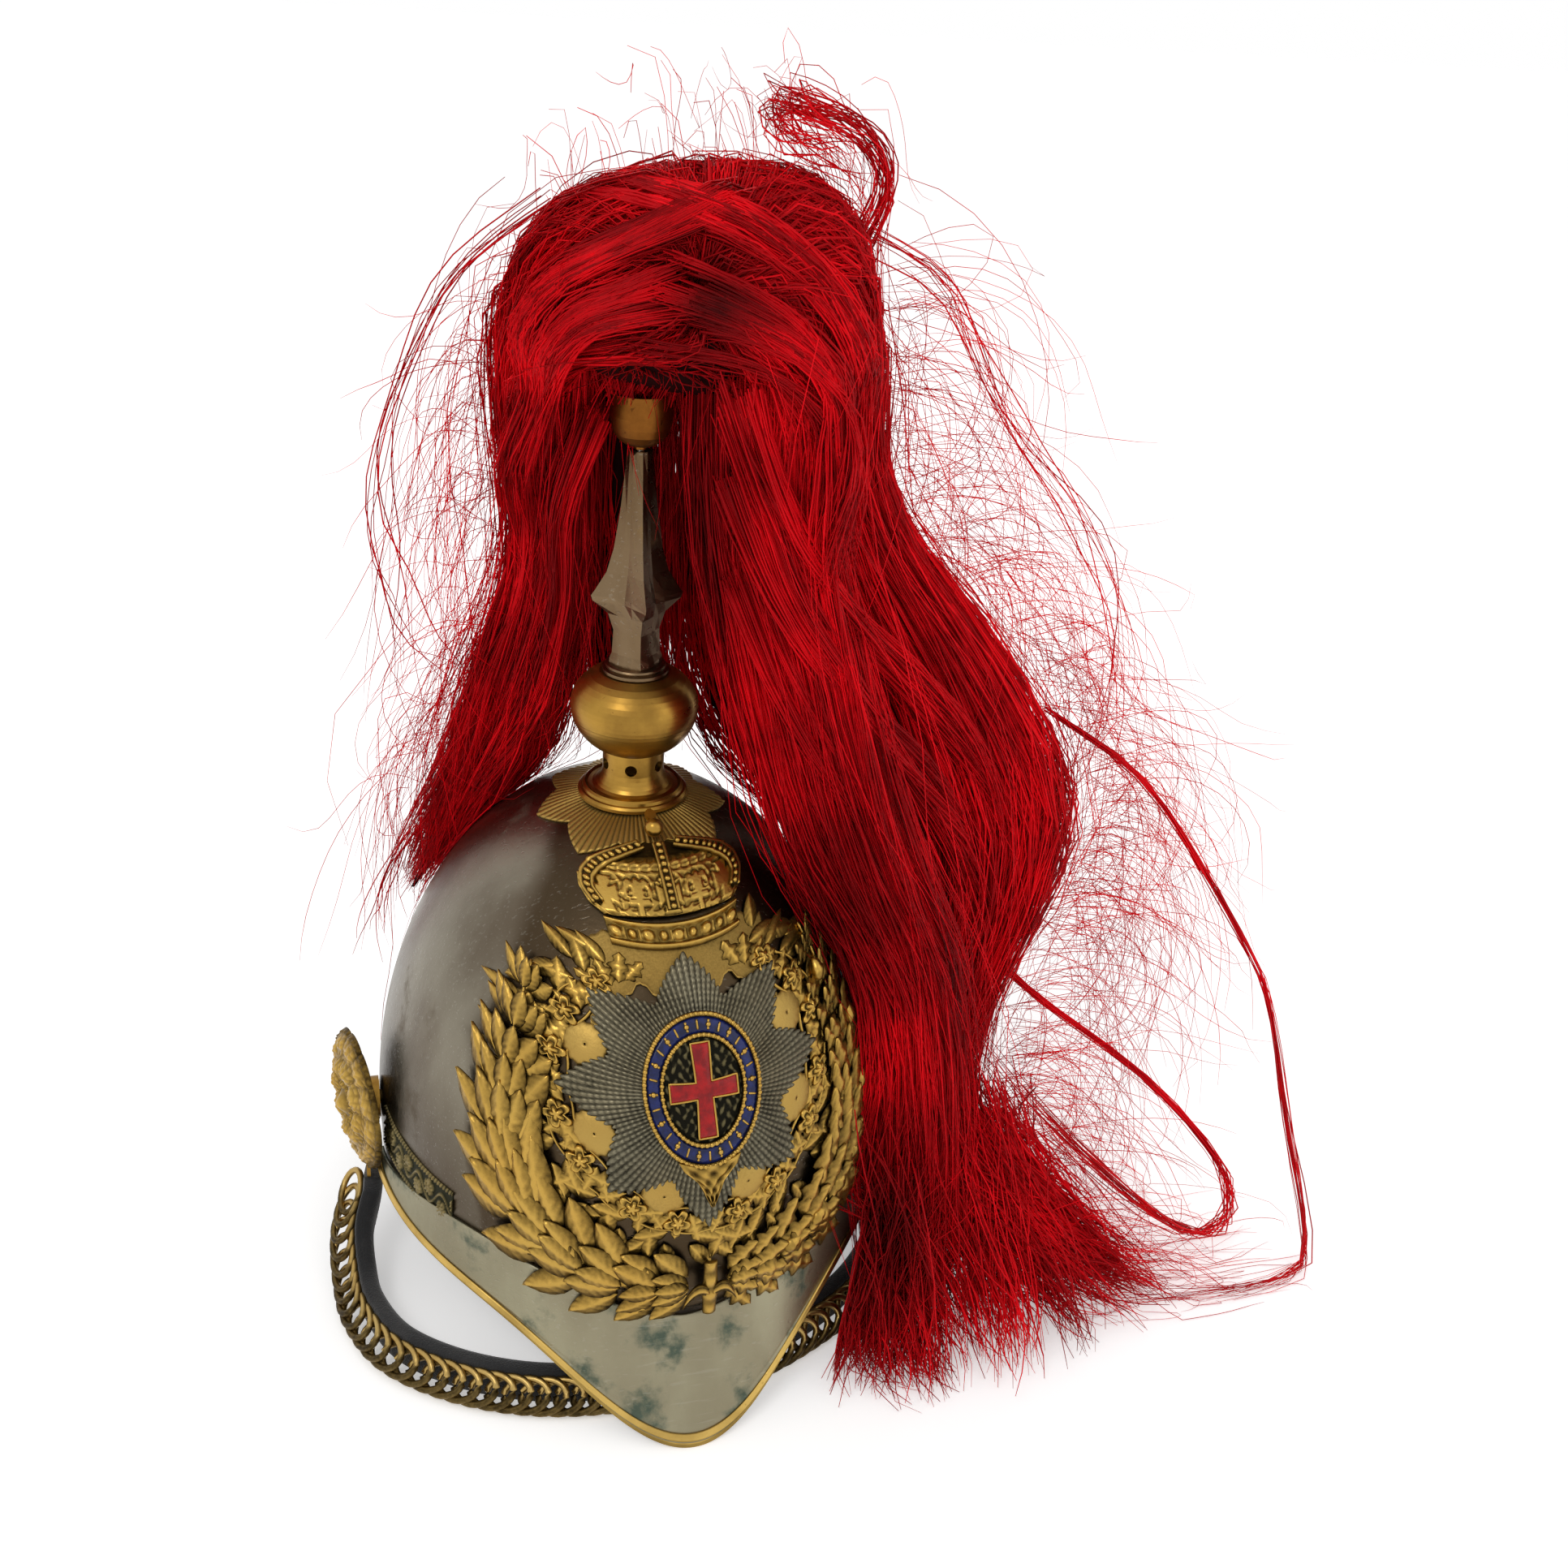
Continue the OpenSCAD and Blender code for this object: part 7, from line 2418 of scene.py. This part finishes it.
@dataclass
class Studio:
    """Pale floor, soft lamps, white surroundings and the camera.

    Attributes:
        eye: camera place, millimetres.
        yaw: camera turn about +Z, radians.
        pitch: camera tilt down, radians.
        roll: camera roll, radians.
        lens: focal length for a 36 mm sensor.
        light: strength of the even light.
    """

    eye: tuple[float, float, float] = (-106.1, -539.8, 438.3)
    yaw: float = 0.2965
    pitch: float = 0.4744
    roll: float = 0.0709
    lens: float = 38.03
    light: float = 0.70

    def floor(self) -> None:
        """Wide matte floor just under the helmet."""
        size = 9000.0
        p = np.array([[-size, -size, FLOOR_Z], [size, -size, FLOOR_Z], [size, size, FLOOR_Z],
                      [-size, size, FLOOR_Z]]) * MM
        mesh = bpy.data.meshes.new("stage_floor")
        mesh.from_pydata(p.tolist(), [], [(0, 1, 2, 3)])
        made = bpy.data.objects.new("stage_floor", mesh)
        bpy.context.scene.collection.objects.link(made)
        matte = Backdrop("floor_matte", (0.90, 0.90, 0.90), (0.9, 0.9, 0.9), 0.9)
        mesh.materials.append(matte.material())

    def world(self) -> None:
        """Soft even light; white where the camera or a reflection sees it."""
        world = bpy.data.worlds.new("studio")
        bpy.context.scene.world = world
        world.use_nodes = True
        nodes, links = world.node_tree.nodes, world.node_tree.links
        nodes.clear()
        path = nodes.new("ShaderNodeLightPath")
        seen = path.outputs["Is Camera Ray"]
        for ray in ("Is Glossy Ray", "Is Transmission Ray"):
            either = nodes.new("ShaderNodeMath")
            either.operation = "MAXIMUM"
            links.new(seen, either.inputs[0])
            links.new(path.outputs[ray], either.inputs[1])
            seen = either.outputs[0]
        mix = nodes.new("ShaderNodeMixShader")
        links.new(seen, mix.inputs[0])
        for place, strength in ((1, self.light), (2, 1.0)):
            glow = nodes.new("ShaderNodeBackground")
            glow.inputs[0].default_value = (1, 1, 1, 1)
            glow.inputs[1].default_value = strength
            links.new(glow.outputs[0], mix.inputs[place])
        out = nodes.new("ShaderNodeOutputWorld")
        links.new(mix.outputs[0], out.inputs[0])

    def lamp(self, name: str, place: tuple[float, float, float], size: float, power: float
             ) -> None:
        """Square lamp aimed at the middle of the helmet.

        Args:
            name: its name.
            place: where it is, metres.
            size: its side, metres.
            power: watts.
        """
        data = bpy.data.lights.new(name, "AREA")
        data.size = size
        data.energy = power
        made = bpy.data.objects.new(name, data)
        bpy.context.scene.collection.objects.link(made)
        aim = np.array([0.03, 0.0, 0.12]) - np.array(place)
        made.matrix_world = self.looking(place, unit(aim))

    @staticmethod
    def looking(place: Sequence[float], aim: Array) -> Matrix:
        """Matrix of something at place whose -Z looks along aim.

        Args:
            place: where it is, metres.
            aim: direction of length one.

        Returns:
            The matrix.
        """
        side = unit(np.cross(aim, [0, 0, 1.0]))
        up = np.cross(side, aim)
        rows = [[side[i], up[i], -aim[i], place[i]] for i in range(3)]
        return Matrix(rows + [[0, 0, 0, 1]])

    def camera(self) -> None:
        """Camera at the photograph's place and angle."""
        cy, sy = math.cos(self.yaw), math.sin(self.yaw)
        cp, sp = math.cos(self.pitch), math.sin(self.pitch)
        ahead = np.array([sy * cp, cy * cp, -sp])
        right = np.array([cy, -sy, 0.0])
        up = np.cross(right, ahead)
        cr, sr = math.cos(self.roll), math.sin(self.roll)
        side, top = cr * right + sr * up, -sr * right + cr * up
        data = bpy.data.cameras.new("view")
        data.lens = self.lens
        data.sensor_width = 36.0
        data.clip_end = 60.0
        made = bpy.data.objects.new("view", data)
        bpy.context.scene.collection.objects.link(made)
        made.matrix_world = Matrix([[side[i], top[i], -ahead[i], self.eye[i] * MM]
                                    for i in range(3)] + [[0, 0, 0, 1]])
        bpy.context.scene.camera = made

    def make(self) -> None:
        """Set the stage."""
        self.floor()
        self.world()
        self.lamp("key", (-0.9, -0.9, 1.7), 0.7, 7.5)
        self.lamp("fill", (1.2, -1.0, 1.0), 1.2, 1.8)
        self.lamp("back", (0.5, 1.3, 1.3), 1.0, 3.0)
        self.camera()
        bpy.context.scene.view_settings.view_transform = "Standard"


KEPT_DYES = {
    "vent_neck": Dye.SPUN, "vent_nut": Dye.SPUN, "onion_lower": Dye.SPUN,
    "onion_upper": Dye.SPUN, "spike": Dye.SPIKE, "plume_rod": Dye.STEEL, "plume_cup": Dye.COPPER,
    "plume_nut": Dye.STEEL, "plume_binding": Dye.OLD, "crown_orb": Dye.SPUN,
    "plate_studs": Dye.OLD, "rosette_washers": Dye.SPUN, "rosette_nuts": Dye.OLD,
    "strap_tabs": Dye.SPUN, "liner_lace": Dye.CORD,
}


def dress_frame() -> None:
    """Give the frame's own objects that stay in sight their finishes."""
    for node, dye in KEPT_DYES.items():
        for made in bpy.data.objects:
            if made.type == "MESH" and made.name.split(".")[0] == node:
                if not made.data.materials:
                    made.data.materials.append(dye.made)
                for index in range(len(made.data.materials)):
                    made.data.materials[index] = dye.made
                LOG.info("%s dressed in %s", made.name, dye.value.name)


def main() -> None:
    """Build every sub-assembly in order, then the stage."""
    logging.basicConfig(level=logging.INFO, format="%(name)s %(message)s")
    SkullWork().make()
    CrownWork().make()
    BadgeWork().make()
    CrownBadge().make()
    work = RosetteWork()
    work.make(-1, "rosette_left_petals", "rosette_left")
    work.make(1, "rosette_right_petals", "rosette_right")
    ChinWork().make()
    LinerWork().make()
    PlumeWork().make()
    dress_frame()
    Studio().make()


if __name__ == "__main__":
    main()
